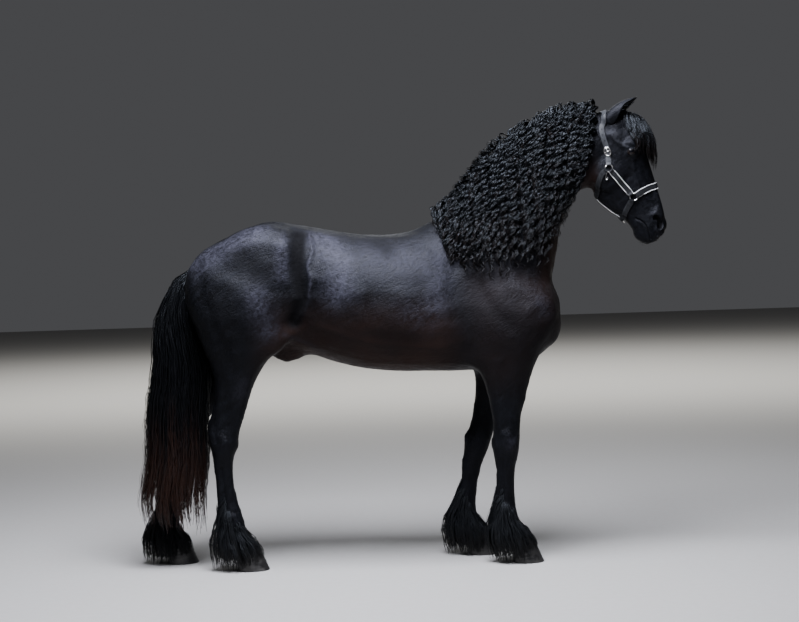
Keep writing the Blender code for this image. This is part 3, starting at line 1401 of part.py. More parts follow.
def tidy_facets(node):
    """Merges the slivers that a Boolean leaves inside flat facets."""
    bm = bmesh.new()
    bm.from_mesh(node.data)
    bmesh.ops.dissolve_limit(bm, angle_limit=math.radians(0.4), verts=bm.verts, edges=bm.edges)
    bmesh.ops.triangulate(bm, faces=bm.faces)
    write_ordered(bm, node.data)


def material(name, colour, roughness, metallic=0.0):
    """A plain material in one colour."""
    made = bpy.data.materials.new(name)
    made.use_nodes = True
    shader = made.node_tree.nodes["Principled BSDF"]
    shader.inputs["Base Color"].default_value = (*colour, 1.0)
    shader.inputs["Roughness"].default_value = roughness
    shader.inputs["Metallic"].default_value = metallic
    return made


def centre_on_floor(nodes):
    """Moves the whole model so that its footprint is centred on the origin."""
    points = np.vstack([coordinates(node.data) for node in nodes.values()])
    low, high = points.min(axis=0), points.max(axis=0)
    shift = Matrix.Translation((-(low[0] + high[0]) / 2, -(low[1] + high[1]) / 2, -low[2]))
    for node in nodes.values():
        node.data.transform(shift)


def main():
    """Clears the scene and builds the horse."""
    for obj in list(bpy.data.objects):
        bpy.data.objects.remove(obj)
    nodes = build()
    centre_on_floor(nodes)
    horse = bpy.data.collections.new("friesian_horse")
    bpy.context.scene.collection.children.link(horse)
    coat = material("coat", BLACK_COAT, 0.45)
    hair = material("hair", BLACK_HAIR, 0.5)
    horn = material("horn", HORN, 0.6)
    eye = material("eye", (0.02, 0.012, 0.008), 0.08)
    webbing = material("webbing", STRAP, 0.6)
    nickel = material("nickel", NICKEL, 0.25, 1.0)
    for name, node in nodes.items():
        for owner in node.users_collection:
            owner.objects.unlink(node)
        horse.objects.link(node)
        finish = coat
        if name.endswith("hoof"):
            finish = horn
        elif name == "tail":
            finish = hair
        elif name.startswith("eye"):
            finish = eye
        elif "ring" in name or "buckle" in name:
            finish = nickel
        elif name.startswith("halter"):
            finish = webbing
        node.data.materials.clear()
        node.data.materials.append(finish)
        node.data.shade_smooth()
        node.data.set_sharp_from_angle(angle=ROUND_ANGLE)


main()
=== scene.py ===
"""Looks for a life-size Friesian stallion that stands square and wears a head collar.

One smooth skin takes the place of the parted flesh. The mane, forelock, tail and feather are
modelled strand by strand and laid over it, and the eyes, hooves and head collar are pieces
of their own. Everything is modelled in the maker's frame, which is moved to the frame's at
the end: metres, +X the way the horse faces, +Y its left side, +Z up.
"""

import logging
import math
from dataclasses import astuple, dataclass, field
from enum import IntEnum

import bmesh
import bpy
import numpy as np
from bpy.types import Material, Mesh, NodeSocket, Object
from mathutils import Matrix, Vector
from mathutils.bvhtree import BVHTree


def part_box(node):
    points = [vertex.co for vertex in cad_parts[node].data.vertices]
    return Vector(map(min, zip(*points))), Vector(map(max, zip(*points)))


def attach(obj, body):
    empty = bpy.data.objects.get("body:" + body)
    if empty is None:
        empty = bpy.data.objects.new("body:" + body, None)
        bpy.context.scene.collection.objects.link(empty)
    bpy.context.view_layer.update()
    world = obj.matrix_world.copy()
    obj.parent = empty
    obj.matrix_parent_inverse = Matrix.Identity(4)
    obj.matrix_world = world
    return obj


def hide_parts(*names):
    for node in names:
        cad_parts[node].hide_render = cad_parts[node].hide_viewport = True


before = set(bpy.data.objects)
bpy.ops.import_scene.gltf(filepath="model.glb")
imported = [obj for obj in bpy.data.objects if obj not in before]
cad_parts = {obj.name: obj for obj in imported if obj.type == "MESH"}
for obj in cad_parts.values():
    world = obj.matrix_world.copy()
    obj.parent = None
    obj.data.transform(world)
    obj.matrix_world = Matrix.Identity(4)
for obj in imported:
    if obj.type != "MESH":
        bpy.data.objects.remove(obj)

Array = np.ndarray
LOG = logging.getLogger("horse")
IMAGE_WIDTH = 799  # pixels
SENSOR = 36.0  # millimetres
BAKE_MAP = "OFBake"
STRAND_MAP = "Strand"
ZONE = "zone"
PAINTED_SHEEN = "bloom"
CUT_GAP = 0.0004  # the gap between two parted solids
TINY = 1e-9
PATCH_SIZE = 0.003  # how wide each hair's patch is on the bake map
FILL = (bpy.ops.mesh.fill_holes, {"sides": 0})
OUTWARDS = (bpy.ops.mesh.normals_make_consistent, {"inside": False})
CHEST_BACK_X = 0.215  # where the barrel ends in front, in the maker's frame


class Side(IntEnum):
    """A side of the horse: its right, which faces the camera, or its left."""

    NEAR = -1
    FAR = 1

    @property
    def label(self) -> str:
        """The side's name."""
        return "right" if self is Side.NEAR else "left"


NEAR, FAR = Side.NEAR, Side.FAR


def deselect() -> None:
    """Leaves nothing selected."""
    if bpy.context.object and bpy.context.object.mode != "OBJECT":
        bpy.ops.object.mode_set(mode="OBJECT")
    bpy.ops.object.select_all(action="DESELECT")


def activate(obj: Object) -> None:
    """Selects one object alone and makes it the active one.

    Args:
        obj: The object.
    """
    deselect()
    obj.select_set(True)
    bpy.context.view_layer.objects.active = obj


def edit(obj: Object, *steps: tuple) -> None:
    """Runs operators on the whole of a mesh in edit mode.

    Args:
        obj: The object.
        steps: Each operator with its settings.
    """
    activate(obj)
    bpy.ops.object.mode_set(mode="EDIT")
    for operator, settings in steps:
        bpy.ops.mesh.select_all(action="SELECT")
        operator(**settings)
    bpy.ops.object.mode_set(mode="OBJECT")


def link(name: str, data: bpy.types.ID) -> Object:
    """A new object in the scene.

    Args:
        name: Its name.
        data: Its mesh, curve, lamp or camera.

    Returns:
        The object.
    """
    obj = bpy.data.objects.new(name, data)
    bpy.context.scene.collection.objects.link(obj)
    return obj


def dress(obj: Object, material: Material) -> Object:
    """Shades a piece smoothly and gives it its material.

    Args:
        obj: The piece.
        material: The material.

    Returns:
        The same piece.
    """
    activate(obj)
    bpy.ops.object.shade_smooth()
    obj.data.materials.append(material)
    return obj


def settle(obj: Object) -> Object:
    """Applies an object's place and modifiers to its mesh.

    Args:
        obj: The object.

    Returns:
        The same object, at the origin.
    """
    activate(obj)
    bpy.ops.object.transform_apply(location=True, rotation=True, scale=True)
    for modifier in list(obj.modifiers):
        bpy.ops.object.modifier_apply(modifier=modifier.name)
    return obj


def join(name: str, objects: list[Object]) -> Object:
    """Joins objects into one.

    Args:
        name: The name of the whole.
        objects: The parts, which are used up.

    Returns:
        The joined object.
    """
    deselect()
    for obj in objects:
        obj.select_set(True)
    bpy.context.view_layer.objects.active = objects[0]
    bpy.ops.object.join()
    objects[0].name = name
    objects[0].data.name = name
    return objects[0]


def mesh_object(name: str, points: Array, faces: Array) -> Object:
    """A new mesh object from arrays.

    Args:
        name: Its name.
        points: The vertices, one row each.
        faces: The faces, one row of vertex numbers each, all with as many corners.

    Returns:
        The object.
    """
    mesh = bpy.data.meshes.new(name)
    corners = faces.shape[1]
    mesh.vertices.add(len(points))
    mesh.vertices.foreach_set("co", np.ascontiguousarray(points, np.float32).ravel())
    mesh.loops.add(faces.size)
    mesh.loops.foreach_set("vertex_index", faces.ravel().astype(np.int32))
    mesh.polygons.add(len(faces))
    mesh.polygons.foreach_set("loop_start", np.arange(0, faces.size, corners, dtype=np.int32))
    mesh.update(calc_edges=True)
    return link(name, mesh)


def ring_form(name: str, rings: Array) -> Object:
    """A tube of four-sided faces through rings of points.

    Args:
        name: Its name.
        rings: The points, rings by places round them by three.

    Returns:
        The tube, open at its ends.
    """
    count, around = rings.shape[:2]
    start = np.arange(count - 1)[:, None] * around
    k = np.arange(around)[None]
    j = (k + 1) % around
    quads = np.stack([start + k, start + j, start + around + j, start + around + k], axis=-1)
    return mesh_object(name, rings.reshape(-1, 3), quads.reshape(-1, 4))


def fetch(items: object, field: str, width: int = 1, kind: type = np.float32) -> Array:
    """One field of a mesh's vertices, edges, faces or layer.

    Args:
        items: The elements.
        field: The field's name.
        width: How many numbers each element has.
        kind: The type of the numbers.

    Returns:
        The numbers, in rows where an element has more than one.
    """
    flat = np.empty(len(items) * width, kind)
    items.foreach_get(field, flat)
    return flat.reshape(-1, width) if width > 1 else flat


def coordinates(mesh: Mesh) -> Array:
    """The vertices of a mesh, one row for each."""
    return fetch(mesh.vertices, "co", 3).astype(np.float64)


def normals_of(mesh: Mesh) -> Array:
    """The vertex normals of a mesh, one row for each."""
    return fetch(mesh.vertex_normals, "vector", 3).astype(np.float64)


def put(mesh: Mesh, points: Array) -> None:
    """Writes the vertices of a mesh, one row for each."""
    mesh.vertices.foreach_set("co", np.ascontiguousarray(points, np.float32).ravel())
    mesh.update()


def write_map(mesh: Mesh, name: str, rows: Array) -> None:
    """Writes a new map from one row for each vertex."""
    corners = rows[fetch(mesh.loops, "vertex_index", 1, np.int32)]
    mesh.uv_layers.new(name=name).data.foreach_set("uv", corners.astype(np.float32).ravel())


def write_zones(mesh: Mesh, colours: Array, bloom: Array | None = None) -> None:
    """Writes what the coat's material reads at each vertex.

    Args:
        mesh: The mesh.
        colours: How much leg, head and brown there is, and how little painted shade, one row each.
        bloom: How much pale sheen is painted in there as a highlight, if any.
    """
    layer = mesh.color_attributes.new(ZONE, "FLOAT_COLOR", "POINT")
    layer.data.foreach_set("color", colours.astype(np.float32).ravel())
    if bloom is not None:
        mesh.attributes.new(PAINTED_SHEEN, "FLOAT", "POINT").data.foreach_set("value", bloom.astype(np.float32))


def unit(rows: Array) -> Array:
    """Vectors, in the last axis, scaled to length one."""
    return rows / np.maximum(np.linalg.norm(rows, axis=-1, keepdims=True), TINY)


def ramp(values: Array, low: float, high: float) -> Array:
    """A smooth rise from 0 where the values pass low to 1 where they pass high."""
    share = np.clip((values - low) / (high - low), 0.0, 1.0)
    return share * share * (3.0 - 2.0 * share)


def smooth_rows(rows: list[tuple], steps: int) -> Array:
    """Fills rows in between with a smooth curve through them.

    Args:
        rows: Rows of numbers.
        steps: How many rows each span becomes.

    Returns:
        The finer rows.
    """
    table = np.array(rows, float)
    ends = np.vstack([2 * table[0] - table[1], table, 2 * table[-1] - table[-2]])
    filled = []
    for i in range(1, len(ends) - 2):
        p0, p1, p2, p3 = ends[i - 1 : i + 3]
        for t in np.linspace(0, 1, steps, endpoint=False):
            bend = (2 * p0 - 5 * p1 + 4 * p2 - p3) * t * t + (3 * p1 - p0 - 3 * p2 + p3) * t**3
            filled.append(0.5 * (2 * p1 + (p2 - p0) * t + bend))
    filled.append(table[-1])
    return np.array(filled)


def read(table: list[tuple], column: int, at: float) -> float:
    """One column of a table, read where its first column, which rises, has a value."""
    return float(np.interp(at, [row[0] for row in table], [row[column] for row in table]))


def rows_of(points: list) -> Array:
    """Vectors as the rows of an array."""
    return np.array([tuple(point) for point in points])


def run_of(path: Array) -> Array:
    """How far along a path each of its points lies."""
    return np.concatenate([[0.0], np.cumsum(np.linalg.norm(np.diff(path, axis=0), axis=1))])


def guide_of(points: list, up: Array) -> tuple[Array, Array, Array]:
    """A lock's middle line.

    Args:
        points: Its rings.
        up: The unit vector out of the lock at each ring.

    Returns:
        The rings, and the unit vectors across and out of the lock at each.
    """
    path = rows_of(points)
    return path, unit(np.cross(unit(np.gradient(path, axis=0)), up)), up


def level_out(path: list, centre: list) -> Array:
    """The level unit vectors from a middle line out to a path."""
    return unit((rows_of(path) - rows_of(centre)) * (1.0, 1.0, 0.0) + 1e-6)


class Socket:
    """A value in a material, on which the usual operators act."""

    def __init__(self, nodes: "Nodes", source: NodeSocket) -> None:
        """Wraps an output socket of a material's nodes."""
        self.nodes = nodes
        self.source = source

    def __add__(self, other: "Socket | float") -> "Socket":
        """The sum."""
        return self.nodes.maths("ADD", self, other)

    __radd__ = __add__

    def __mul__(self, other: "Socket | float") -> "Socket":
        """The product."""
        return self.nodes.maths("MULTIPLY", self, other)

    __rmul__ = __mul__

    def __sub__(self, other: "Socket | float") -> "Socket":
        """The difference."""
        return self.nodes.maths("SUBTRACT", self, other)

    def __rsub__(self, other: "Socket | float") -> "Socket":
        """The difference from a number."""
        return self.nodes.maths("SUBTRACT", other, self)

    def __pow__(self, other: "Socket | float") -> "Socket":
        """The power."""
        return self.nodes.maths("POWER", self, other)

    def clamped(self) -> "Socket":
        """The value kept between 0 and 1."""
        return self.nodes.maths("ADD", self, 0.0, use_clamp=True)

    def between(self, low: float, high: float) -> "Socket":
        """A smooth rise from 0 at low to 1 at high."""
        values = {"Value": self, "From Min": low, "From Max": high}
        return self.nodes.node("ShaderNodeMapRange", {"interpolation_type": "SMOOTHSTEP"}, values)


class Nodes:
    """A new material and the nodes in it."""

    def __init__(self, name: str) -> None:
        """Makes a material with one Principled shader.

        Args:
            name: The material's name.
        """
        self.material = bpy.data.materials.new(name)
        self.material.use_nodes = True
        self.tree = self.material.node_tree
        self.shader = self.tree.nodes["Principled BSDF"]

    def node(self, kind: str, settings: dict, values: dict, output: int | str = 0) -> Socket:
        """Any node.

        Args:
            kind: The node's type.
            settings: Its settings. A ramp's stops go under the name stops.
            values: Values or links for its inputs, by name or number.
            output: Which of its outputs is wanted.

        Returns:
            That output.
        """
        made = self.tree.nodes.new(kind)
        for key, value in settings.items():
            if key == "stops":
                ramp_of = made.color_ramp
                while len(ramp_of.elements) < len(value):
                    ramp_of.elements.new(0.5)
                for element, (place, colour) in zip(ramp_of.elements, value):
                    element.position = place
                    element.color = (*colour, 1.0)
            else:
                setattr(made, key, value)
        for key, value in values.items():
            self.feed(made.inputs[key], value)
        return Socket(self, made.outputs[output])

    def feed(self, target: NodeSocket, value: object) -> None:
        """Links or sets an input.

        Args:
            target: The input.
            value: A Socket to link, or a plain value.
        """
        if isinstance(value, Socket):
            self.tree.links.new(value.source, target)
        elif isinstance(value, tuple) and len(value) == 3 and target.type == "RGBA":
            target.default_value = (*value, 1.0)
        else:
            target.default_value = value

    def maths(self, operation: str, a: object, b: object = 0.0, **settings: object) -> Socket:
        """A Math node on one or two values."""
        return self.node("ShaderNodeMath", {"operation": operation, **settings}, {0: a, 1: b})

    def mix(self, share: object, a: object, b: object) -> Socket:
        """Colour a, with its share of colour b."""
        return self.node("ShaderNodeMix", {"data_type": "RGBA"}, {0: share, 6: a, 7: b}, 2)

    def place(self, scale: tuple = (1.0, 1.0, 1.0), turn: tuple = (0.0, 0.0, 0.0)) -> Socket:
        """Object coordinates, turned and scaled.

        Args:
            scale: How many times the pattern repeats in a metre, along each turned axis.
            turn: The turn of the axes, in degrees.

        Returns:
            The coordinates.
        """
        here = self.node("ShaderNodeTexCoord", {}, {}, "Object")
        angles = tuple(math.radians(a) for a in turn)
        values = {"Vector": here, "Scale": tuple(1 / s for s in scale), "Rotation": angles}
        return self.node("ShaderNodeMapping", {"vector_type": "TEXTURE"}, values)

    def noise(self, where: Socket, scale: float, detail: float = 2.0, rough: float = 0.5) -> Socket:
        """A noise value.

        Args:
            where: The coordinates.
            scale: How fine it is.
            detail: Its octaves.
            rough: How much the finer octaves count.

        Returns:
            A value around one half.
        """
        values = {"Vector": where, "Scale": scale, "Detail": detail, "Roughness": rough}
        return self.node("ShaderNodeTexNoise", {}, values)

    def attribute(self, name: str, part: str = "Fac") -> Socket:
        """One output of an attribute of the mesh."""
        return self.node("ShaderNodeAttribute", {"attribute_name": name}, {}, part)

    def split(self, kind: str, source: Socket) -> tuple[Socket, ...]:
        """The three numbers of a colour (kind Color) or of a vector (kind XYZ)."""
        first = self.node(f"ShaderNodeSeparate{kind}", {}, {0: source})
        return tuple(Socket(self, part) for part in first.source.node.outputs)

    def vector(self, x: object, y: object, z: object = 0.0) -> Socket:
        """A vector of three numbers."""
        return self.node("ShaderNodeCombineXYZ", {}, {0: x, 1: y, 2: z})

    def strand(self) -> tuple[Socket, ...]:
        """Across and along a strand, from its own map."""
        return self.split("XYZ", self.node("ShaderNodeUVMap", {"uv_map": STRAND_MAP}, {}))[:2]

    def finish(
        self, colour: object, roughness: object, bump: tuple | None = None, **plain: object
    ) -> Material:
        """Dresses the shader.

        Args:
            colour: The base colour.
            roughness: The roughness.
            bump: The height, its strength and its distance.
            plain: Other inputs, by their names with underscores for spaces.

        Returns:
            The material.
        """
        self.feed(self.shader.inputs["Base Color"], colour)
        self.feed(self.shader.inputs["Roughness"], roughness)
        for key, value in plain.items():
            self.feed(self.shader.inputs[key.replace("_", " ")], value)
        if bump:
            height, strength, distance = bump
            values = {"Height": height, "Strength": strength, "Distance": distance}
            self.feed(self.shader.inputs["Normal"], self.node("ShaderNodeBump", {}, values))
        return self.material


@dataclass(frozen=True)
class ShortCoat:
    """The short, glossy black coat."""

    name: str = "short_black_coat"
    black: tuple = (0.0015, 0.0015, 0.0017)
    blue: tuple = (0.0034, 0.0038, 0.0050)
    brown: tuple = (0.0165, 0.0080, 0.0052)
    # The pale, velvety colour that is painted in as a sheen highlight.
    bloom: tuple = (0.0220, 0.0218, 0.0290)
    # The near-black colour of painted shade in the mouth, nostrils, flank fold and dull patches.
    hollow: tuple = (0.0010, 0.0009, 0.0009)
    sheen: tuple = (0.88, 0.89, 1.0)
    roughness: float = 0.44
    gloss: float = 0.085

    def make(self) -> Material:
        """Makes the material.

        Returns:
            The material.
        """
        n = Nodes(self.name)
        leg, head, brown = n.split("Color", n.attribute(ZONE, "Color"))
        clear_of_painted_shade = n.attribute(ZONE, "Alpha")
        along_body = n.noise(n.place((26, 210, 210), (0, -24, 0)), 1.0, 4.0, 0.65)
        along_leg = n.noise(n.place((300, 300, 30)), 1.0, 3.0, 0.6)
        along_face = n.noise(n.place((360, 360, 42), (0, -18, 0)), 1.0, 3.0, 0.6)
        hair = along_body * (1.0 - leg) * (1.0 - head) + along_leg * leg + along_face * head
        streak = n.noise(n.place((9, 42, 42), (0, -40, 0)), 1.0, 4.0, 0.70)
        mottle = n.noise(n.place(), 64.0, 5.0, 0.74)
        patches = n.noise(n.place(), 5.0, 2.0, 0.5)
        dapple = n.noise(n.place(), 17.0, 3.0, 0.6)
        share = (brown * (0.45 + 1.1 * patches)).clamped()
        black = n.mix((0.5 * mottle + 0.5 * streak).between(0.38, 0.66), self.black, self.blue)
        # Painted highlight: a pale, mottled sheen mixed in where the skin's sheen attribute says so.
        bright = 0.22 + 0.62 * mottle.between(0.40, 0.60) + 0.36 * streak.between(0.40, 0.62)
        bright = n.attribute(PAINTED_SHEEN) * bright
        colour = n.mix(bright.clamped(), n.mix(share, black, self.brown), self.bloom)
        # Painted shade: near black where the mask marks shade, which also makes the coat rougher there.
        colour = n.mix(clear_of_painted_shade, self.hollow, colour)
        rough = self.roughness + 0.42 * (mottle - 0.5) + 0.20 * (patches - 0.5) + 0.42 * (streak - 0.5)
        rough = rough + 0.5 * (1.0 - clear_of_painted_shade) - 0.05 * head
        height = hair * 0.9 + mottle * 1.4 + streak * 1.2 + dapple * 1.2
        rough, bump = rough.clamped(), (height, 0.75, 0.0026)
        return n.finish(colour, rough, bump, Specular_IOR_Level=self.gloss, Specular_Tint=self.sheen)


@dataclass(frozen=True)
class LongHair:
    """Long black hair, which may fade to reddish brown at its tips."""

    name: str
    black: tuple = (0.0013, 0.0014, 0.0017)
    soft: tuple = (0.0034, 0.0035, 0.0039)
    tip: tuple = (0.0036, 0.0034, 0.0034)
    fade_from: float = 0.5
    roughness: float = 0.26
    gloss: float = 0.17
    sheen: tuple = (0.82, 0.91, 1.0)

    def make(self) -> Material:
        """Makes the material.

        Returns:
            The material.
        """
        n = Nodes(self.name)
        across, along = n.strand()
        tone = n.noise(n.vector(across * 0.7, along * 0.6), 1.0, 2.0)
        fade = along.between(self.fade_from, 1.0) * (0.55 + 0.9 * tone)
        colour = n.mix(fade.clamped(), n.mix(tone.between(0.35, 0.7), self.black, self.soft), self.tip)
        lines = n.noise(n.vector(across * 9.0, along * 3.0), 1.0, 2.0)
        rough, bump = (self.roughness + 0.2 * (lines - 0.5)).clamped(), (lines, 0.7, 0.0014)
        return n.finish(colour, rough, bump, Specular_IOR_Level=self.gloss, Specular_Tint=self.sheen)


@dataclass(frozen=True)
class Horn:
    """Dark hoof horn with growth rings and pale dust."""

    name: str = "hoof_horn"
    dark: tuple = (0.0040, 0.0039, 0.0041)
    pale: tuple = (0.0088, 0.0082, 0.0080)
    dust: tuple = (0.055, 0.050, 0.043)

    def make(self) -> Material:
        """Makes the material.

        Returns:
            The material.
        """
        n = Nodes(self.name)
        where = n.place()
        rings = n.noise(n.place((9, 9, 260), (0, -10, 0)), 1.0, 2.0)
        fibres = n.noise(n.place((500, 500, 30)), 1.0, 2.0)
        patch = n.noise(where, 26.0, 4.0, 0.65)
        low = 1.0 - n.split("XYZ", where)[2].between(0.0, 0.075)
        share = (patch.between(0.38, 0.80) * (0.08 + 0.62 * low)).clamped()
        base = n.mix(rings.between(0.3, 0.8), self.dark, self.pale)
        height = rings * 0.8 + fibres * 0.3 + patch * 0.3
        return n.finish(n.mix(share * 0.8, base, self.dust), 0.34 + 0.40 * share, (height, 0.4, 0.0012))


@dataclass(frozen=True)
class EyeGlass:
    """A wet, dark brown eye."""

    name: str = "wet_brown_eye"
    brown: tuple = (0.0075, 0.0036, 0.0021)
    dark: tuple = (0.0030, 0.0018, 0.0013)
    rim: tuple = (0.0050, 0.0042, 0.0038)
    pupil: tuple = (0.002, 0.002, 0.003)

    def make(self) -> Material:
        """Makes the material.

        Returns:
            The material.
        """
        n = Nodes(self.name)
        radius, pupil = n.strand()
        iris = n.mix(n.noise(n.place(), 900.0, 2.0), self.brown, self.dark)
        colour = n.mix(pupil.between(0.9, 1.1), self.pupil, n.mix(radius.between(0.78, 0.92), iris, self.rim))
        wet = {"Coat_Weight": 0.5, "Coat_Roughness": 0.07, "Coat_IOR": 1.36, "Specular_IOR_Level": 0.1}
        return n.finish(colour, 0.25, None, **wet)


@dataclass(frozen=True)
class Webbing:
    """Woven strap, or its pale piping."""

    name: str
    colour: tuple = (0.0034, 0.0037, 0.0044)
    worn: tuple = (0.0085, 0.0090, 0.0105)
    roughness: float = 0.66
    gloss: float = 0.18
    thread: tuple = (0.030, 0.031, 0.033)

    def make(self) -> Material:
        """Makes the material.

        Returns:
            The material.
        """
        n = Nodes(self.name)
        across, along = n.strand()
        squares = {"Vector": n.vector(across * 12.0, along * 420.0), "Scale": 1.0}
        weave = n.node("ShaderNodeTexChecker", {}, squares, "Fac")
        wear = n.noise(n.place(), 120.0, 3.0)
        edge = n.maths("ABSOLUTE", across - 0.5)
        seam = 1.0 - n.maths("ABSOLUTE", edge - 0.37).between(0.008, 0.022)
        stitch = seam * n.maths("SINE", along * 1500.0).between(-0.3, 0.3)
        cloth = n.mix((wear.between(0.45, 0.8) * 0.6 + weave * 0.15).clamped(), self.colour, self.worn)
        height = weave * 0.5 + wear * 0.4 - seam * 0.9 + stitch * 1.1
        rough, bump = self.roughness + 0.15 * (wear - 0.5), (height, 0.5, 0.0008)
        return n.finish(n.mix(stitch * 0.7, cloth, self.thread), rough, bump, Specular_IOR_Level=self.gloss)


@dataclass(frozen=True)
class Nickel:
    """Polished nickel with fine scratches."""

    name: str = "polished_nickel"
    bright: tuple = (0.74, 0.73, 0.70)
    dull: tuple = (0.60, 0.58, 0.55)

    def make(self) -> Material:
        """Makes the material.

        Returns:
            The material.
        """
        n = Nodes(self.name)
        scratches = n.noise(n.place((300, 900, 300)), 1.0, 3.0)
        smudge = n.noise(n.place(), 90.0, 2.0)
        rough = 0.16 + 0.14 * smudge + 0.06 * scratches
        return n.finish(n.mix(smudge, self.bright, self.dull), rough, (scratches, 0.12, 0.0003), Metallic=1.0)


@dataclass(frozen=True)
class Slice:
    """An oval slice through a form.

    a and b are its two ends in the XZ plane: top and bottom, or front and back. level is how
    far from a to b it is widest, side the y of its middle, half its half width there, and the
    last two say how square its a and b halves are.
    """

    ax: float
    az: float
    bx: float
    bz: float
    side: float
    half: float
    level: float = 0.5
    square_a: float = 2.0
    square_b: float = 2.0

    def moved(self, back: float, mirror: int) -> "Slice":
        """The same slice on one side, moved back."""
        return Slice(self.ax - back, self.az, self.bx - back, self.bz, self.side * mirror, *astuple(self)[5:])


def upright(
    x: float, top: float, bottom: float, half: float, widest: float, a: float = 2.0, b: float = 2.0
) -> Slice:
    """A slice across the trunk at x."""
    return Slice(x, top, x, bottom, 0.0, half, (top - widest) / (top - bottom), a, b)


def level_cut(
    z: float, front: float, back: float, side: float, half: float, a: float = 2.0, b: float = 2.0
) -> Slice:
    """A level slice through a leg at height z."""
    return Slice(front, z, back, z, side, half, 0.5, a, b)


TRUNK = [upright(*row) for row in (
    (-0.975, 1.415, 1.27, 0.06, 1.34), (-0.915, 1.475, 1.13, 0.15, 1.32),
    (-0.82, 1.532, 1.03, 0.215, 1.32), (-0.7, 1.583, 0.995, 0.258, 1.33, 2.1, 2.1),
    (-0.595, 1.609, 1.0, 0.272, 1.36, 2.2, 2.1), (-0.47, 1.594, 0.995, 0.25, 1.31, 2.2, 2.1),
    (-0.34, 1.565, 0.95, 0.272, 1.25, 2.1, 2.1), (-0.19, 1.54, 0.906, 0.297, 1.2, 2.0, 2.1),
    (-0.03, 1.532, 0.886, 0.306, 1.17, 1.9, 2.1), (0.09, 1.556, 0.882, 0.296, 1.15, 1.75, 2.1),
    (0.2, 1.612, 0.88, 0.274, 1.13, 1.55, 2.2), (0.3, 1.63, 0.879, 0.25, 1.12, 1.45, 2.2),
    (0.42, 1.59, 0.88, 0.232, 1.12, 1.5, 2.2), (0.54, 1.49, 0.89, 0.222, 1.12, 1.7, 2.1),
    (0.64, 1.38, 0.932, 0.198, 1.14, 1.9), (0.71, 1.29, 0.995, 0.15, 1.15),
    (0.75, 1.225, 1.06, 0.08, 1.15),
)]

NECK = [Slice(*row) for row in (
    (0.13, 1.56, 0.56, 1.08, 0.0, 0.15, 0.55, 1.8), (0.235, 1.625, 0.665, 1.22, 0.0, 0.172, 0.58, 1.7),
    (0.33, 1.725, 0.728, 1.33, 0.0, 0.165, 0.58, 1.6), (0.43, 1.845, 0.752, 1.45, 0.0, 0.142, 0.58, 1.6),
    (0.545, 1.95, 0.776, 1.56, 0.0, 0.12, 0.56, 1.6, 2.1),
    (0.68, 2.028, 0.812, 1.648, 0.0, 0.106, 0.55, 1.7, 2.1),
    (0.82, 2.062, 0.862, 1.7, 0.0, 0.096, 0.52, 1.8, 2.1),
    (0.93, 2.068, 0.925, 1.735, 0.0, 0.088, 0.48, 1.9), (1.01, 2.06, 1.0, 1.8, 0.0, 0.078, 0.45),
)]

HIND = [level_cut(*row) for row in (
    (1.5, -0.52, -0.88, 0.095, 0.085), (1.42, -0.48, -0.958, 0.118, 0.125),
    (1.31, -0.47, -0.99, 0.132, 0.15, 2.0, 2.2), (1.2, -0.482, -0.972, 0.138, 0.154, 2.0, 2.2),
    (1.11, -0.508, -0.942, 0.14, 0.146, 2.0, 2.1), (1.03, -0.556, -0.914, 0.14, 0.127),
    (0.965, -0.604, -0.888, 0.14, 0.108), (0.905, -0.645, -0.868, 0.138, 0.091),
    (0.85, -0.674, -0.862, 0.136, 0.077), (0.78, -0.7, -0.87, 0.133, 0.063),
    (0.715, -0.722, -0.888, 0.13, 0.052, 2.0, 1.8), (0.66, -0.742, -0.901, 0.128, 0.049, 2.2, 1.8),
    (0.6, -0.76, -0.897, 0.126, 0.055, 2.4, 1.9), (0.55, -0.773, -0.886, 0.124, 0.054, 2.4),
    (0.5, -0.784, -0.879, 0.122, 0.044, 2.2), (0.445, -0.787, -0.876, 0.12, 0.036),
    (0.375, -0.78, -0.871, 0.12, 0.034), (0.31, -0.766, -0.866, 0.12, 0.036),
    (0.255, -0.75, -0.861, 0.12, 0.044, 2.2), (0.21, -0.741, -0.853, 0.12, 0.047, 2.2),
    (0.165, -0.727, -0.828, 0.12, 0.041), (0.125, -0.702, -0.8, 0.12, 0.043),
    (0.09, -0.676, -0.79, 0.12, 0.054, 2.2), (0.055, -0.664, -0.786, 0.12, 0.058, 2.2),
)]

FORE = [level_cut(*row) for row in (
    (1.33, 0.585, 0.33, 0.115, 0.085), (1.24, 0.672, 0.285, 0.128, 0.108),
    (1.15, 0.712, 0.255, 0.134, 0.122, 2.2), (1.06, 0.7, 0.268, 0.134, 0.122, 2.2),
    (0.98, 0.655, 0.305, 0.134, 0.11), (0.915, 0.625, 0.338, 0.134, 0.097),
    (0.86, 0.602, 0.362, 0.133, 0.084), (0.805, 0.585, 0.38, 0.132, 0.073),
    (0.75, 0.566, 0.394, 0.131, 0.064), (0.695, 0.551, 0.403, 0.13, 0.056),
    (0.64, 0.541, 0.41, 0.129, 0.051, 2.2), (0.59, 0.536, 0.412, 0.128, 0.052, 2.4),
    (0.545, 0.534, 0.407, 0.127, 0.055, 2.6, 1.9), (0.5, 0.528, 0.409, 0.126, 0.052, 2.5),
    (0.46, 0.518, 0.416, 0.125, 0.043, 2.3), (0.415, 0.51, 0.421, 0.124, 0.035),
    (0.35, 0.505, 0.417, 0.123, 0.033), (0.29, 0.507, 0.409, 0.122, 0.036),
    (0.24, 0.512, 0.402, 0.121, 0.044, 2.2), (0.2, 0.522, 0.408, 0.12, 0.046, 2.2),
    (0.16, 0.545, 0.438, 0.12, 0.04), (0.125, 0.57, 0.462, 0.12, 0.043),
    (0.09, 0.592, 0.474, 0.12, 0.056, 2.2), (0.055, 0.606, 0.48, 0.12, 0.062, 2.2),
)]

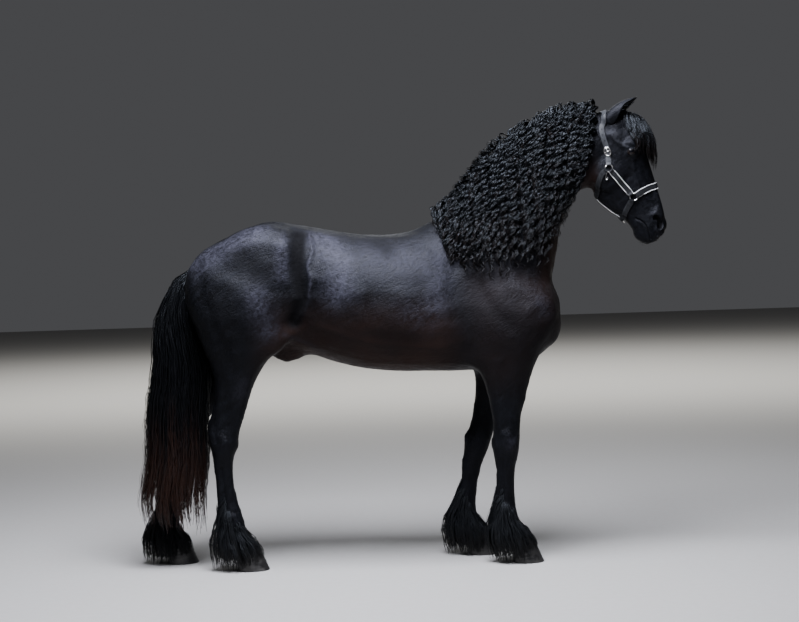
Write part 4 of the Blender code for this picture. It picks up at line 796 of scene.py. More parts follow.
LEFT_HIND_BACK = [
    (0.0, 0.366), (0.17, 0.35), (0.26, 0.322), (0.4, 0.278), (0.55, 0.232), (0.66, 0.2), (0.8, 0.14),
    (0.92, 0.082), (1.03, 0.036), (1.15, 0.0), (1.6, 0.0),
]
LEFT_FORE_BACK = [
    (0.0, 0.196), (0.2, 0.182), (0.37, 0.148), (0.54, 0.116), (0.7, 0.066), (0.84, 0.022), (0.95, 0.0),
    (1.6, 0.0),
]
NOT_BACK = [(0.0, 0.0), (2.0, 0.0)]


@dataclass(frozen=True)
class HoofShape:
    """A hoof seen from the side, where the right one stands."""

    toe: float
    toe_top: float
    toe_top_z: float
    heel: float
    heel_top: float
    heel_top_z: float
    half: float
    side: float = 0.120


FORE_HOOF = HoofShape(0.631, 0.589, 0.100, 0.487, 0.482, 0.050, 0.069)
HIND_HOOF = HoofShape(-0.633, -0.674, 0.097, -0.778, -0.784, 0.048, 0.064)


@dataclass(frozen=True)
class Leg:
    """One leg: its slices, how far it stands back by height, its side and its hoof."""

    name: str
    rows: tuple
    back: tuple
    mirror: int
    hoof: HoofShape

    def behind(self, z: float) -> float:
        """How far back the leg stands at height z."""
        return read(self.back, 1, z)

    def is_fore(self) -> bool:
        """Whether it is a fore leg."""
        return self.name.startswith("fore")


LEGS = [
    Leg("fore_right", tuple(FORE), tuple(NOT_BACK), NEAR, FORE_HOOF),
    Leg("fore_left", tuple(FORE), tuple(LEFT_FORE_BACK), FAR, FORE_HOOF),
    Leg("hind_right", tuple(HIND), tuple(NOT_BACK), NEAR, HIND_HOOF),
    Leg("hind_left", tuple(HIND), tuple(LEFT_HIND_BACK), FAR, HIND_HOOF),
]

# The head has its own frame: run goes down the face from the poll, out forwards from the
# face's axis, and side is +Y. The whole head is turned a little towards the right.
HEAD_TOP = Vector((1.020, 0.0, 2.050))
FACE_TILT = math.radians(18)
RUN = Vector((math.sin(FACE_TILT), 0.0, -math.cos(FACE_TILT)))
OUT = Vector((math.cos(FACE_TILT), 0.0, math.sin(FACE_TILT)))
TURN_CENTRE = Matrix.Translation((0.90, 0.0, 1.95))
HEAD_TURN = TURN_CENTRE @ Matrix.Rotation(math.radians(-4), 4, "Z") @ TURN_CENTRE.inverted()
EYE = (0.195, 0.018, 0.083)
EYE_RADIUS = 0.0235
LID_TILT = 0.30  # how far the slit of the eye leans from straight across the head, in radians
LID_HALF = 0.0195  # half the length of the slit
LID_UPPER = 0.0118  # how far the slit opens above its middle line
LID_LOWER = 0.0080
CHIN_Z = (1.38, 1.44)  # the heights between which the head ends below


def face_cut(
    run: float, front: float, back: float, half: float, level: float, a: float = 2.2, b: float = 2.0
) -> Slice:
    """A slice across the head, run down its axis, reaching front and back from it."""
    middle = HEAD_TOP + RUN * run
    ahead, behind = middle + OUT * front, middle - OUT * back
    return Slice(ahead.x, ahead.z, behind.x, behind.z, 0.0, half, level, a, b)


SKULL = [face_cut(*row) for row in (
    (-0.03, 0.02, 0.06, 0.042, 0.5), (0.0, 0.05, 0.1, 0.064, 0.45), (0.06, 0.08, 0.13, 0.082, 0.4, 2.4),
    (0.13, 0.092, 0.16, 0.092, 0.34, 2.6), (0.2, 0.094, 0.185, 0.09, 0.32, 2.6),
    (0.27, 0.091, 0.205, 0.079, 0.36, 2.4), (0.34, 0.088, 0.198, 0.068, 0.38, 2.3),
    (0.41, 0.085, 0.16, 0.06, 0.42), (0.47, 0.081, 0.115, 0.055, 0.45),
    (0.525, 0.074, 0.094, 0.054, 0.48, 2.4), (0.57, 0.056, 0.086, 0.051, 0.5, 2.4),
    (0.605, 0.03, 0.074, 0.043, 0.5), (0.625, 0.002, 0.052, 0.026, 0.5),
)]


def head_point(run: float, out: float, side: float) -> Vector:
    """The place of a point of the head, before its turn."""
    return HEAD_TOP + RUN * run + OUT * out + Vector((0.0, side, 0.0))


def turned(run: float, out: float, side: float) -> Vector:
    """The place of a point of the head, with its turn."""
    return HEAD_TURN @ head_point(run, out, side)


@dataclass(frozen=True)
class Muscle:
    """An ellipsoid that swells the body on both sides, or on the middle plane.

    lean turns it about Y, in degrees.
    """

    name: str
    centre: tuple
    radii: tuple
    lean: float = 0.0


TRUNK_MUSCLES = [Muscle(*row) for row in (
    ("croup", (-0.66, 0.115, 1.438), (0.24, 0.145, 0.14), -18),
    ("hip", (-0.53, 0.205, 1.455), (0.095, 0.052, 0.07)),
    ("thigh", (-0.7, 0.205, 1.22), (0.19, 0.1, 0.185), -20),
    ("buttock", (-0.89, 0.11, 1.255), (0.095, 0.088, 0.17), -10),
    ("stifle", (-0.585, 0.19, 1.075), (0.085, 0.062, 0.11), 30),
    ("shoulder_blade", (0.41, 0.14, 1.33), (0.12, 0.076, 0.24), -28),
    ("shoulder_point", (0.635, 0.145, 1.15), (0.095, 0.082, 0.125)),
    ("upper_arm", (0.455, 0.185, 1.085), (0.185, 0.068, 0.105), -28),
    ("breast", (0.675, 0.075, 1.085), (0.078, 0.078, 0.115)),
    ("elbow", (0.345, 0.165, 0.955), (0.055, 0.05, 0.06)),
    ("sheath", (-0.52, 0.0, 1.01), (0.1, 0.056, 0.072), -8),
)]

# Bony points of the legs: name, height, x on the right leg, radii.
FORE_BUMPS = [
    ("knee_back", 0.548, 0.419, (0.02, 0.02, 0.042)), ("knee_front", 0.56, 0.5, (0.034, 0.05, 0.036)),
    ("knee_low", 0.515, 0.495, (0.032, 0.047, 0.028)), ("tendon", 0.36, 0.432, (0.014, 0.017, 0.12)),
    ("fetlock", 0.222, 0.455, (0.05, 0.048, 0.036)), ("ergot", 0.205, 0.417, (0.02, 0.034, 0.026)),
]
HIND_BUMPS = [
    ("hock_point", 0.655, -0.888, (0.02, 0.024, 0.042)),
    ("hock_front", 0.585, -0.79, (0.034, 0.052, 0.044)), ("hock_low", 0.535, -0.822, (0.046, 0.05, 0.034)),
    ("tendon", 0.39, -0.86, (0.014, 0.017, 0.13)), ("fetlock", 0.228, -0.8, (0.05, 0.048, 0.038)),
    ("ergot", 0.212, -0.844, (0.02, 0.034, 0.026)),
]

# Forms of the head, with their centres as run, out, side and their radii the same way.
HEAD_MUSCLES = [Muscle(*row) for row in (
    ("brow", (0.16, 0.03, 0.078), (0.04, 0.04, 0.026), 20),
    ("orbit", (0.196, 0.02, 0.078), (0.036, 0.036, 0.026)),
    ("temple", (0.115, -0.01, 0.078), (0.05, 0.022, 0.016), -38),
    ("cheek", (0.245, -0.098, 0.052), (0.105, 0.098, 0.036)),
    ("cheek_crest", (0.305, 0.0, 0.06), (0.1, 0.012, 0.012), 4),
    ("jaw", (0.38, -0.115, 0.028), (0.11, 0.03, 0.022), -22),
    ("nose_side", (0.42, 0.055, 0.026), (0.13, 0.026, 0.018)),
    ("nostril_wing", (0.512, 0.032, 0.037), (0.052, 0.034, 0.024), 14),
    ("nostril_rim", (0.52, 0.01, 0.044), (0.03, 0.018, 0.016), 10),
    ("upper_lip", (0.57, 0.018, 0.026), (0.042, 0.036, 0.03)),
    ("lip_side", (0.545, -0.022, 0.034), (0.046, 0.026, 0.022), -30),
    ("ear_mound", (0.018, 0.004, 0.048), (0.04, 0.044, 0.03)),
    ("ear_root", (0.016, -0.012, 0.058), (0.034, 0.05, 0.03), 8),
    ("chin", (0.566, -0.068, 0.0), (0.036, 0.026, 0.032), -12),
    ("lower_lip", (0.596, -0.04, 0.0), (0.022, 0.034, 0.03), -20),
    ("nose_tip", (0.545, 0.04, 0.0), (0.05, 0.034, 0.04)),
)]


@dataclass(frozen=True)
class Stroke:
    """A soft brush stroke on both sides of the skin, seen from the side.

    points are x and z on the body, or run and out on the head. depth raises the skin, or
    sinks it where it is less than nothing.
    """

    points: tuple
    radius: float
    depth: float
    on_head: bool = False
    power: int = 2


FLANK_RIDGE = Stroke(
    ((-0.402, 1.530), (-0.394, 1.490), (-0.384, 1.455), (-0.400, 1.415), (-0.410, 1.380), (-0.396, 1.335),
     (-0.400, 1.290), (-0.412, 1.235), (-0.436, 1.182), (-0.470, 1.135)), 0.0115, 0.0042,
)
FLANK_FOLD = Stroke(((-0.450, 1.53), (-0.457, 1.34), (-0.442, 1.235), (-0.478, 1.135)), 0.034, -0.019)
STROKES = [FLANK_FOLD, FLANK_RIDGE] + [Stroke(*row) for row in (
    (((-0.372, 1.52), (-0.362, 1.44), (-0.372, 1.36)), 0.022, -0.0035),
    (((-0.3, 1.03), (-0.42, 1.02), (-0.5, 1.06)), 0.03, 0.006),
    (((-0.92, 1.42), (-0.885, 1.25), (-0.815, 1.06), (-0.765, 0.92)), 0.026, -0.006),
    (((-0.66, 1.3), (-0.6, 1.17), (-0.6, 1.03)), 0.04, -0.005),
    (((-0.8, 0.84), (-0.815, 0.72)), 0.018, -0.006),
    (((0.3, 1.58), (0.44, 1.38), (0.565, 1.2)), 0.035, -0.006),
    (((0.25, 1.36), (0.27, 1.2), (0.33, 1.04)), 0.05, -0.007),
    (((0.34, 1.3), (0.42, 1.16), (0.5, 1.08)), 0.032, -0.006),
    (((0.47, 0.98), (0.49, 0.84), (0.49, 0.7)), 0.02, -0.005),
    (((0.455, 0.9), (0.445, 0.76)), 0.016, -0.004), (((0.447, 0.47), (0.446, 0.29)), 0.01, -0.008),
    (((0.478, 0.585), (0.48, 0.54)), 0.026, 0.0065), (((0.47, 0.5), (0.468, 0.47)), 0.018, -0.0045),
    (((0.47, 0.655), (0.462, 0.63)), 0.02, -0.0035), (((0.462, 0.238), (0.47, 0.215)), 0.026, 0.006),
    (((0.5, 0.18), (0.52, 0.15)), 0.02, -0.004), (((-0.815, 0.59), (-0.835, 0.545)), 0.026, 0.0065),
    (((-0.79, 0.69), (-0.835, 0.65)), 0.018, -0.005), (((-0.798, 0.238), (-0.79, 0.215)), 0.026, 0.006),
    (((-0.77, 0.18), (-0.75, 0.15)), 0.02, -0.004), (((-0.838, 0.47), (-0.83, 0.29)), 0.01, -0.008),
    (((-0.868, 0.72), (-0.86, 0.6)), 0.012, -0.006),
    (((-0.4, 1.12), (-0.1, 1.02), (0.2, 0.99)), 0.016, 0.004),
    (((0.085, -0.05), (0.125, -0.032), (0.16, -0.008), (0.172, 0.006)), 0.011, 0.0055, True),
    (((0.08, 0.02), (0.12, 0.024)), 0.024, -0.009, True),
    (((0.15, 0.01), (0.158, 0.03), (0.176, 0.044)), 0.008, 0.004, True),
    (((0.228, -0.006), (0.236, 0.014), (0.23, 0.036)), 0.007, 0.0025, True),
    (((0.235, 0.012), (0.3, 0.0), (0.365, 0.004), (0.42, 0.012)), 0.008, 0.003, True),
    (((0.255, 0.04), (0.33, 0.046), (0.42, 0.05)), 0.014, -0.003, True),
    (((0.175, -0.165), (0.26, -0.18), (0.34, -0.15)), 0.012, -0.002, True),
    (((0.3, -0.035), (0.33, -0.09), (0.345, -0.15)), 0.014, -0.004, True),
    (((0.36, -0.03), (0.44, -0.02), (0.5, -0.01)), 0.005, 0.0016, True),
    (((0.4, -0.01), (0.43, 0.02), (0.44, 0.05)), 0.004, 0.0014, True),
)]
MOUTH = Stroke(
    ((0.492, -0.060), (0.505, -0.047), (0.520, -0.037), (0.548, -0.030), (0.578, -0.028), (0.606, -0.030)),
    0.0030, -0.0046, True, 2,
)
LIPS = Stroke(((0.498, -0.036), (0.520, -0.024), (0.550, -0.017), (0.595, -0.016)), 0.011, 0.0020, True)
CHIN_LIP = Stroke(((0.508, -0.062), (0.525, -0.050), (0.555, -0.043), (0.595, -0.044)), 0.010, 0.0018, True)
NOSTRIL = Stroke(((0.522, 0.024), (0.536, 0.036), (0.554, 0.038), (0.566, 0.030)), 0.0100, -0.0170, True, 3)
NOSTRIL_RIM = Stroke(
    ((0.500, 0.006), (0.502, 0.034), (0.520, 0.054), (0.548, 0.060), (0.574, 0.046), (0.580, 0.026)),
    0.0095, 0.0020, True,
)
FLAT_STROKES = [LIPS, CHIN_LIP, NOSTRIL_RIM, NOSTRIL, MOUTH]


@dataclass(frozen=True)
class Patch:
    """A soft patch of the coat on both sides: a line of x and z, its radius and its strength."""

    points: tuple
    radius: float
    strength: float


# Where pale sheen is painted into the coat as a highlight, and where painted shade makes it dull and dark.
PAINTED_SHEEN_PATCHES = [Patch(*row) for row in (
    (((-0.91, 1.42), (-0.81, 1.475), (-0.64, 1.545)), 0.06, 1.0),
    (((-0.527, 1.5), (-0.52, 1.34)), 0.034, 0.85), (((-0.64, 1.26), (-0.6, 1.1)), 0.052, 0.75),
    (((-0.35, 1.52), (-0.25, 1.4), (-0.27, 1.27)), 0.07, 1.0), (((-0.12, 1.43), (0.12, 1.38)), 0.09, 0.52),
    (((0.2, 1.42), (0.17, 1.2)), 0.065, 0.6), (((0.05, 1.16), (0.14, 1.12)), 0.07, 0.28),
    (((-0.72, 0.86), (-0.73, 0.82)), 0.035, 0.3), (((0.63, 1.19), (0.65, 1.15)), 0.035, 0.35),
    (((0.495, 0.56), (0.49, 0.53)), 0.022, 0.4), (((0.3, 0.56), (0.295, 0.53)), 0.022, 0.3),
    (FLANK_RIDGE.points, 0.0085, 0.75), (((-0.54, 1.085), (-0.42, 1.032), (-0.357, 0.99)), 0.01, 0.4),
)]
PAINTED_SHADE_PATCHES = [Patch(*row) for row in (
    (((-0.7, 1.43), (-0.62, 1.37)), 0.055, 0.45), (((-0.05, 1.07), (0.02, 1.05)), 0.06, 0.35),
    (((-0.1, 1.5), (-0.05, 1.46)), 0.045, 0.4), (((0.36, 1.16), (0.56, 1.08)), 0.12, 0.45),
    (((-0.8, 1.2), (-0.76, 1.05)), 0.08, 0.35),
)]


def patched(points: Array, patches: list[Patch]) -> Array:
    """How much of the strongest patch each point of the body has.

    Args:
        points: The points.
        patches: The patches.

    Returns:
        A share for each point.
    """
    total = np.zeros(len(points))
    for patch in patches:
        far = distance_to_line(points[:, ::2], np.array(patch.points)) / patch.radius
        total = np.maximum(total, patch.strength * np.exp(-(far**2)))
    return total * ramp(np.abs(points[:, 1]), 0.06, 0.16)


@dataclass
class Skin:
    """The one skin of the whole horse, from poll to coronets."""

    voxel: float = 0.0162
    head_voxel: float = 0.0040
    ring_points: int = 36
    rounds: int = 18
    depth: float = 0.0020
    leg_depth: float = 0.0002
    waves: int = 26
    swell: float = 0.00030
    flank_bands: tuple = (0.060, 0.028, 0.0, 0.0)  # how wide each level is refined there
    lid: float = 0.0030
    eye_gap: float = 0.006  # how far the skin between the lids lies inside the eyeball

    def loft(self, name: str, rows: list[Slice], steps: int = 4) -> Object:
        """A closed form through a stack of slices.

        Args:
            name: Its name.
            rows: The slices.
            steps: How many rings each span becomes.

        Returns:
            The form.
        """
        finer = smooth_rows([astuple(row) for row in rows], steps)
        form = ring_form(name, np.array([ring_of(row, self.ring_points) for row in finer]))
        edit(form, FILL, OUTWARDS)
        return form

    def ellipsoid(self, name: str, centre: Vector, radii: tuple, lean: float) -> Object:
        """A sphere stretched and leaned about Y.

        Args:
            name: Its name.
            centre: Its centre.
            radii: Its radii.
            lean: Its lean, in degrees.

        Returns:
            The form.
        """
        deselect()
        turn = (0, math.radians(lean), 0)
        bpy.ops.mesh.primitive_uv_sphere_add(
            segments=24, ring_count=16, radius=1.0, location=centre, rotation=turn, scale=radii
        )
        made = bpy.context.object
        made.name = name
        return settle(made)

    def body_forms(self) -> list[Object]:
        """Makes every fleshy form of the body but the head.

        Returns:
            The forms.
        """
        forms = [self.loft("trunk", TRUNK), self.loft("neck_form", NECK)]
        for leg in LEGS:
            forms.append(self.loft(leg.name, [r.moved(leg.behind(r.az), leg.mirror) for r in leg.rows]))
            side = leg.hoof.side * leg.mirror
            for name, z, x, radii in FORE_BUMPS if leg.is_fore() else HIND_BUMPS:
                forms.append(self.ellipsoid(name, (x - leg.behind(z), side, z), radii, 0.0))
            if leg.is_fore():
                spot, radii = (0.505, side * 1.16, 0.800), (0.070, 0.060, 0.120)
                forms.append(self.ellipsoid("forearm", spot, radii, -4))
        for muscle in TRUNK_MUSCLES:
            x, y, z = muscle.centre
            for side in (NEAR, FAR) if y else (NEAR,):
                forms.append(self.ellipsoid(muscle.name, (x, y * side, z), muscle.radii, muscle.lean))
        return forms

    def head_forms(self) -> list[Object]:
        """Makes the skull, cheeks, muzzle and throat, turned with the head.

        Returns:
            The forms.
        """
        forms = [self.loft("skull", SKULL), self.loft("neck_end", NECK[4:])]
        for muscle in HEAD_MUSCLES:
            run, out, y = muscle.centre
            along, ahead, across = muscle.radii
            lean = muscle.lean - math.degrees(FACE_TILT)
            for side in (NEAR, FAR) if y else (NEAR,):
                spot = head_point(run, out, y * side)
                forms.append(self.ellipsoid(muscle.name, spot, (ahead, across, along), lean))
        for form in forms:
            form.data.transform(HEAD_TURN)
        return forms

    def fuse(self, obj: Object, voxel: float) -> None:
        """Makes one closed skin round all the overlapping forms of an object.

        Args:
            obj: The object.
            voxel: How fine the skin is.
        """
        activate(obj)
        remesh = obj.modifiers.new("fuse", "REMESH")
        remesh.mode = "VOXEL"
        remesh.voxel_size = voxel
        bpy.ops.object.modifier_apply(modifier=remesh.name)

    def relax(self, obj: Object, rounds: int, fill: object, wear: object) -> None:
        """Smooths a mesh, filling its creases and wearing its ridges down.

        Args:
            obj: The object.
            rounds: How many times.
            fill: The share of the way outwards to the neighbours' mean, for points.
            wear: The share of the way inwards.
        """
        mesh = obj.data
        points = coordinates(mesh)
        ends = fetch(mesh.edges, "vertices", 2, np.int32)
        start, other = ends.T.ravel(), ends[:, ::-1].T.ravel()
        count = np.bincount(start, minlength=len(points))
        for _ in range(rounds):
            put(mesh, points)
            normals = normals_of(mesh)
            sums = [np.bincount(start, points[other, k], len(points)) / count for k in range(3)]
            step = np.stack(sums, axis=1) - points
            outwards = (step * normals).sum(axis=1) > 0
            points = points + step * np.where(outwards, fill(points), wear(points))[:, None]
        put(mesh, points)

    def refine(self, obj: Object, chosen: Array) -> None:
        """Splits the faces whose middles are chosen into four.

        Args:
            obj: The object.
            chosen: One truth for each face.
        """
        activate(obj)
        bpy.ops.object.mode_set(mode="EDIT")
        bpy.ops.mesh.select_all(action="DESELECT")
        bpy.ops.mesh.select_mode(type="FACE")
        bpy.ops.object.mode_set(mode="OBJECT")
        obj.data.polygons.foreach_set("select", chosen)
        bpy.ops.object.mode_set(mode="EDIT")
        bpy.ops.mesh.subdivide(number_cuts=1)
        bpy.ops.mesh.select_all(action="DESELECT")
        bpy.ops.object.mode_set(mode="OBJECT")

    def build(self) -> Object:
        """Fuses the forms, sculpts them and marks their zones.

        Returns:
            The skin.
        """
        target = join("head_target", self.head_forms())
        self.fuse(target, self.head_voxel)
        self.relax(target, 20, lambda p: np.full(len(p), 0.42), lambda p: np.full(len(p), 0.26))
        head_tree = tree_of(target.data)
        bpy.data.objects.remove(target)
        skin = join("skin", self.body_forms() + self.head_forms())
        self.fuse(skin, self.voxel)
        self.relax(
            skin,
            self.rounds,
            lambda p: 0.07 + 0.60 * ramp(p[:, 2], 0.66, 1.00),
            lambda p: 0.055 + 0.36 * ramp(p[:, 2], 0.70, 1.05),
        )
        LOG.info("skin: %d faces fused", len(skin.data.polygons))
        eyes = [np.array(turned(EYE[0], EYE[1], side * EYE[2])) for side in (NEAR, FAR)]
        for level in range(4):
            self.refine(skin, self.choose(skin.data, level, eyes))
            self.relax(skin, 2, lambda p: np.full(len(p), 0.12), lambda p: np.full(len(p), 0.12))
            self.fit_head(skin.data, head_tree)
        LOG.info("skin: %d faces refined", len(skin.data.polygons))
        self.ripple(skin.data)
        for stroke in STROKES + FLAT_STROKES:
            self.brush(skin.data, stroke)
        self.open_eyes(skin.data)
        points = coordinates(skin.data)
        depth = self.leg_depth + (self.depth - self.leg_depth) * ramp(points[:, 2], 0.55, 0.85)
        put(skin.data, points - normals_of(skin.data) * depth[:, None])
        self.mark_zones(skin.data)
        return skin

    def ripple(self, mesh: Mesh) -> None:
        """Gives the trunk and neck the small uneven swells of muscle under a coat.

        Args:
            mesh: The skin.
        """
        draw = np.random.default_rng(5)
        points = coordinates(mesh)
        ways = unit(draw.normal(0, 1, (self.waves, 3))) * np.array((0.75, 1.0, 1.0))
        pace = math.tau / draw.uniform(0.048, 0.150, (self.waves, 1))
        swell = np.sin(points @ (ways * pace).T + draw.uniform(0, math.tau, self.waves)).sum(axis=1)
        hold = ramp(points[:, 2], 0.75, 1.05) * (1 - ramp(points[:, 0], 0.86, 0.98))
        put(mesh, points + normals_of(mesh) * (swell * self.swell * hold)[:, None])

    def choose(self, mesh: Mesh, level: int, eyes: list[Array]) -> Array:
        """The faces that each level of refining splits.

        Args:
            mesh: The skin.
            level: 0 for the head and legs, 1 for the muzzle and eyes, then closer round the eyes.
            eyes: The eyeballs' centres.

        Returns:
            One truth for each face.
        """
        middle = fetch(mesh.polygons, "center", 3)
        near = np.min([np.linalg.norm(middle - eye, axis=1) for eye in eyes], axis=0)
        head = (middle[:, 0] > 0.94) & (middle[:, 2] > 1.40)
        flank = distance_to_line(middle[:, ::2], np.array(FLANK_RIDGE.points)) < self.flank_bands[level]
        if level == 0:
            return head | (middle[:, 2] < 0.62) | flank
        if level == 1:
            return head & (middle[:, 0] > 1.0) | flank
        local = points_in_head(middle)
        lips = [distance_to_line(local[:, :2], np.array(s.points)) < 0.018 for s in (MOUTH, NOSTRIL)]
        muzzle = head & (lips[0] | lips[1]) & (np.abs(local[:, 2]) > 0.008)
        return (near < 0.034) | muzzle | flank if level == 2 else near < 0.028

    def fit_head(self, mesh: Mesh, tree: BVHTree) -> None:
        """Draws the head's part of the skin onto its own finer form.

        Args:
            mesh: The skin.
            tree: The finer form's search tree.
        """
        points = coordinates(mesh)
        share = ramp(points[:, 0] - 0.10 * (points[:, 2] - 1.9), 0.90, 0.97) * ramp(points[:, 2], *CHIN_Z)
        for i in np.nonzero(share > 0.001)[0]:
            place, _, _, _ = tree.find_nearest(Vector(points[i]))
            points[i] += (np.array(place) - points[i]) * share[i]
        put(mesh, points)

    def brush(self, mesh: Mesh, stroke: Stroke) -> None:
        """Raises or sinks the skin along a stroke, on both sides.

        Args:
            mesh: The skin.
            stroke: The stroke.
        """
        points, normals = coordinates(mesh), normals_of(mesh)
        if stroke.on_head:
            local = points_in_head(points)
            flat, y = local[:, :2], local[:, 2]
            facing = normals[:, 1] * np.sign(y) > -0.2
            part = (points[:, 0] > 0.90) & (points[:, 2] > 1.38) & facing
        else:
            fore, hind = (np.interp(points[:, 2], *zip(*table)) for table in (LEFT_FORE_BACK, LEFT_HIND_BACK))
            back = np.where(points[:, 0] > 0.0, fore, hind)
            x = points[:, 0] + np.where(points[:, 1] > 0, back, 0.0)
            y = points[:, 1]
            flat = np.stack([x, points[:, 2]], axis=1)
            outer = np.where(points[:, 2] < 0.9, np.abs(y) - 0.12, np.abs(y))
            part = (normals[:, 1] * np.sign(y) > 0.0) & (outer > 0.0)
        far = distance_to_line(flat, np.array(stroke.points))
        lift = np.exp(-((far / stroke.radius) ** stroke.power)) * stroke.depth * part
        if stroke.on_head:
            lift *= ramp(np.abs(y), 0.0, 0.010) if stroke is not MOUTH else 1.0
        put(mesh, points + normals * lift[:, None])

    def open_eyes(self, mesh: Mesh) -> None:
        """Lays lids over each eyeball and opens the skin between them.

        Args:
            mesh: The skin.
        """
        points = coordinates(mesh)
        for side in (NEAR, FAR):
            local = points_in_head(points)
            u = local[:, 0] - EYE[0]
            v = local[:, 1] - EYE[1]
            s = local[:, 2] * side - EYE[2]
            near = (np.hypot(u, v) < 0.034) & (s > -0.02)
            ball = np.sqrt(np.maximum(EYE_RADIUS**2 - u**2 - v**2, 0.0))
            along = v * math.cos(LID_TILT) + u * math.sin(LID_TILT)
            across = u * math.cos(LID_TILT) - v * math.sin(LID_TILT)
            upper, lower, half = LID_UPPER, LID_LOWER, LID_HALF
            room = np.clip(1 - (along / half) ** 2, 0, 1) ** 0.8
            above, below = np.maximum(upper * room, 1e-5), np.maximum(lower * room, 1e-5)
            open_by = np.where(across < 0, across / above, -across / below)
            inside = (np.abs(along) < half) & (np.abs(open_by) < 1.0)
            rim = np.hypot(along / (half + 0.004), across / 0.0160)
            reach = np.where(across < 0, upper + 0.0068, lower + 0.0060)
            fold = np.hypot(along / (half + 0.0075), across / reach)
            lid = ball + self.lid * np.exp(-((rim - 1.0) ** 2) / 0.25)
            lid += np.where(across < 0, 0.0016, 0.0008) * np.exp(-((rim - 0.98) ** 2) / 0.012)
            lid -= np.where(across < 0, 0.0022, 0.0012) * np.exp(-((fold - 1.0) ** 2) / 0.006)
            hold = 1 - ramp(np.hypot(u, v), 0.022, 0.033)
            raised = np.maximum(s, lid * hold + s * (1 - hold))
            target = np.where(inside, ball - self.eye_gap, raised)
            move = np.where(near, target - s, 0.0)
            points = points + np.array(HEAD_TURN.to_3x3() @ Vector((0, side, 0)))[None, :] * move[:, None]
        put(mesh, points)

    def mark_zones(self, mesh: Mesh) -> None:
        """Writes how much each point belongs to a leg and the head, how brown it is, and where shade and
        sheen are painted.

        Args:
            mesh: The skin.
        """
        points = coordinates(mesh)
        x, z = points[:, 0], points[:, 2]
        leg = 1 - ramp(z, 0.80, 1.02)
        head = ramp(x, 0.92, 0.98) * ramp(z, 1.36, 1.44)
        belly = (1 - ramp(z, 0.90, 1.30)) * ramp(z, 0.72, 0.94)
        belly = belly * (0.95 - 0.75 * ramp(x, 0.15, 0.32)) * ramp(x, -0.72, -0.50)
        breast = ramp(x, 0.20, 0.40) * (1 - ramp(z, 1.22, 1.42)) * ramp(z, 0.70, 0.95) * 0.22
        throat = ramp(x, 0.62, 0.74) * (1 - ramp(x, 0.90, 0.96)) * ramp(z, 1.24, 1.34)
        throat = throat * (1 - ramp(z, 1.70, 1.9)) * 0.8
        local = points_in_head(points)
        # Painted shade: the mouth, the nostrils, the flank fold and the dull patches are darkened as if in
        # shade.
        hollow = np.zeros(len(x))
        for stroke in (MOUTH, NOSTRIL):
            far = distance_to_line(local[:, :2], np.array(stroke.points))
            hollow = np.maximum(hollow, np.exp(-((far / stroke.radius) ** 4)) * head)
        flank = distance_to_line(points[:, ::2], np.array(FLANK_FOLD.points)) / FLANK_FOLD.radius
        hollow = np.maximum(hollow, 0.92 * np.exp(-(flank**4)) * ramp(np.abs(points[:, 1]), 0.07, 0.14))
        hollow = np.maximum(hollow, patched(points, PAINTED_SHADE_PATCHES))
        brown = np.clip(np.maximum(belly, breast) + throat, 0, 1)
        # Painted highlight: the pale sheen patches, kept off the head and out of the painted shade.
        bloom = patched(points, PAINTED_SHEEN_PATCHES) * (1 - head) * (1 - hollow)
        write_zones(mesh, np.stack([leg, head, brown, 1 - hollow], axis=1), bloom)


def ring_of(row: Array, count: int) -> Array:
    """The points of one slice.

    Args:
        row: The slice's numbers.
        count: How many points.

    Returns:
        One row for each point.
    """
    ax, az, bx, bz, side, half, level, square_a, square_b = row
    middle = np.array((ax + (bx - ax) * level, side, az + (bz - az) * level))
    angle = math.tau * np.arange(count) / count
    front = np.cos(angle) > 0
    n = np.where(front, square_a, square_b)
    along = np.abs(np.cos(angle)) ** (2 / n)
    across = np.sign(np.sin(angle)) * np.abs(np.sin(angle)) ** (2 / n) * half
    reach = np.where(front[:, None], np.array((ax, side, az)) - middle, np.array((bx, side, bz)) - middle)
    return middle + reach * along[:, None] + across[:, None] * np.array((0.0, 1.0, 0.0))


def points_in_head(points: Array) -> Array:
    """Points as run, out and side of the head, with its turn undone.

    Args:
        points: Rows of places.

    Returns:
        Rows of run, out and side.
    """
    undo = np.array(HEAD_TURN.inverted())
    flat = points @ undo[:3, :3].T + undo[:3, 3] - np.array(HEAD_TOP)
    return np.stack([flat @ np.array(RUN), flat @ np.array(OUT), flat[:, 1]], axis=1)


def distance_to_line(points: Array, line: Array) -> Array:
    """How far points of a plane lie from a line of several legs.

    Args:
        points: Two numbers a row.
        line: The line's corners.

    Returns:
        A distance for each point.
    """
    best = np.full(len(points), 1e9)
    for a, b in zip(line[:-1], line[1:]):
        share = np.clip(((points - a) @ (b - a)) / max(float((b - a) @ (b - a)), 1e-12), 0, 1)
        best = np.minimum(best, np.linalg.norm(points - (a + share[:, None] * (b - a)), axis=1))
    return best


def tree_of(mesh: Mesh) -> BVHTree:
    """A search tree of a mesh.

    Args:
        mesh: The mesh.

    Returns:
        The tree.
    """
    bm = bmesh.new()
    bm.from_mesh(mesh)
    tree = BVHTree.FromBMesh(bm)
    bm.free()
    return tree


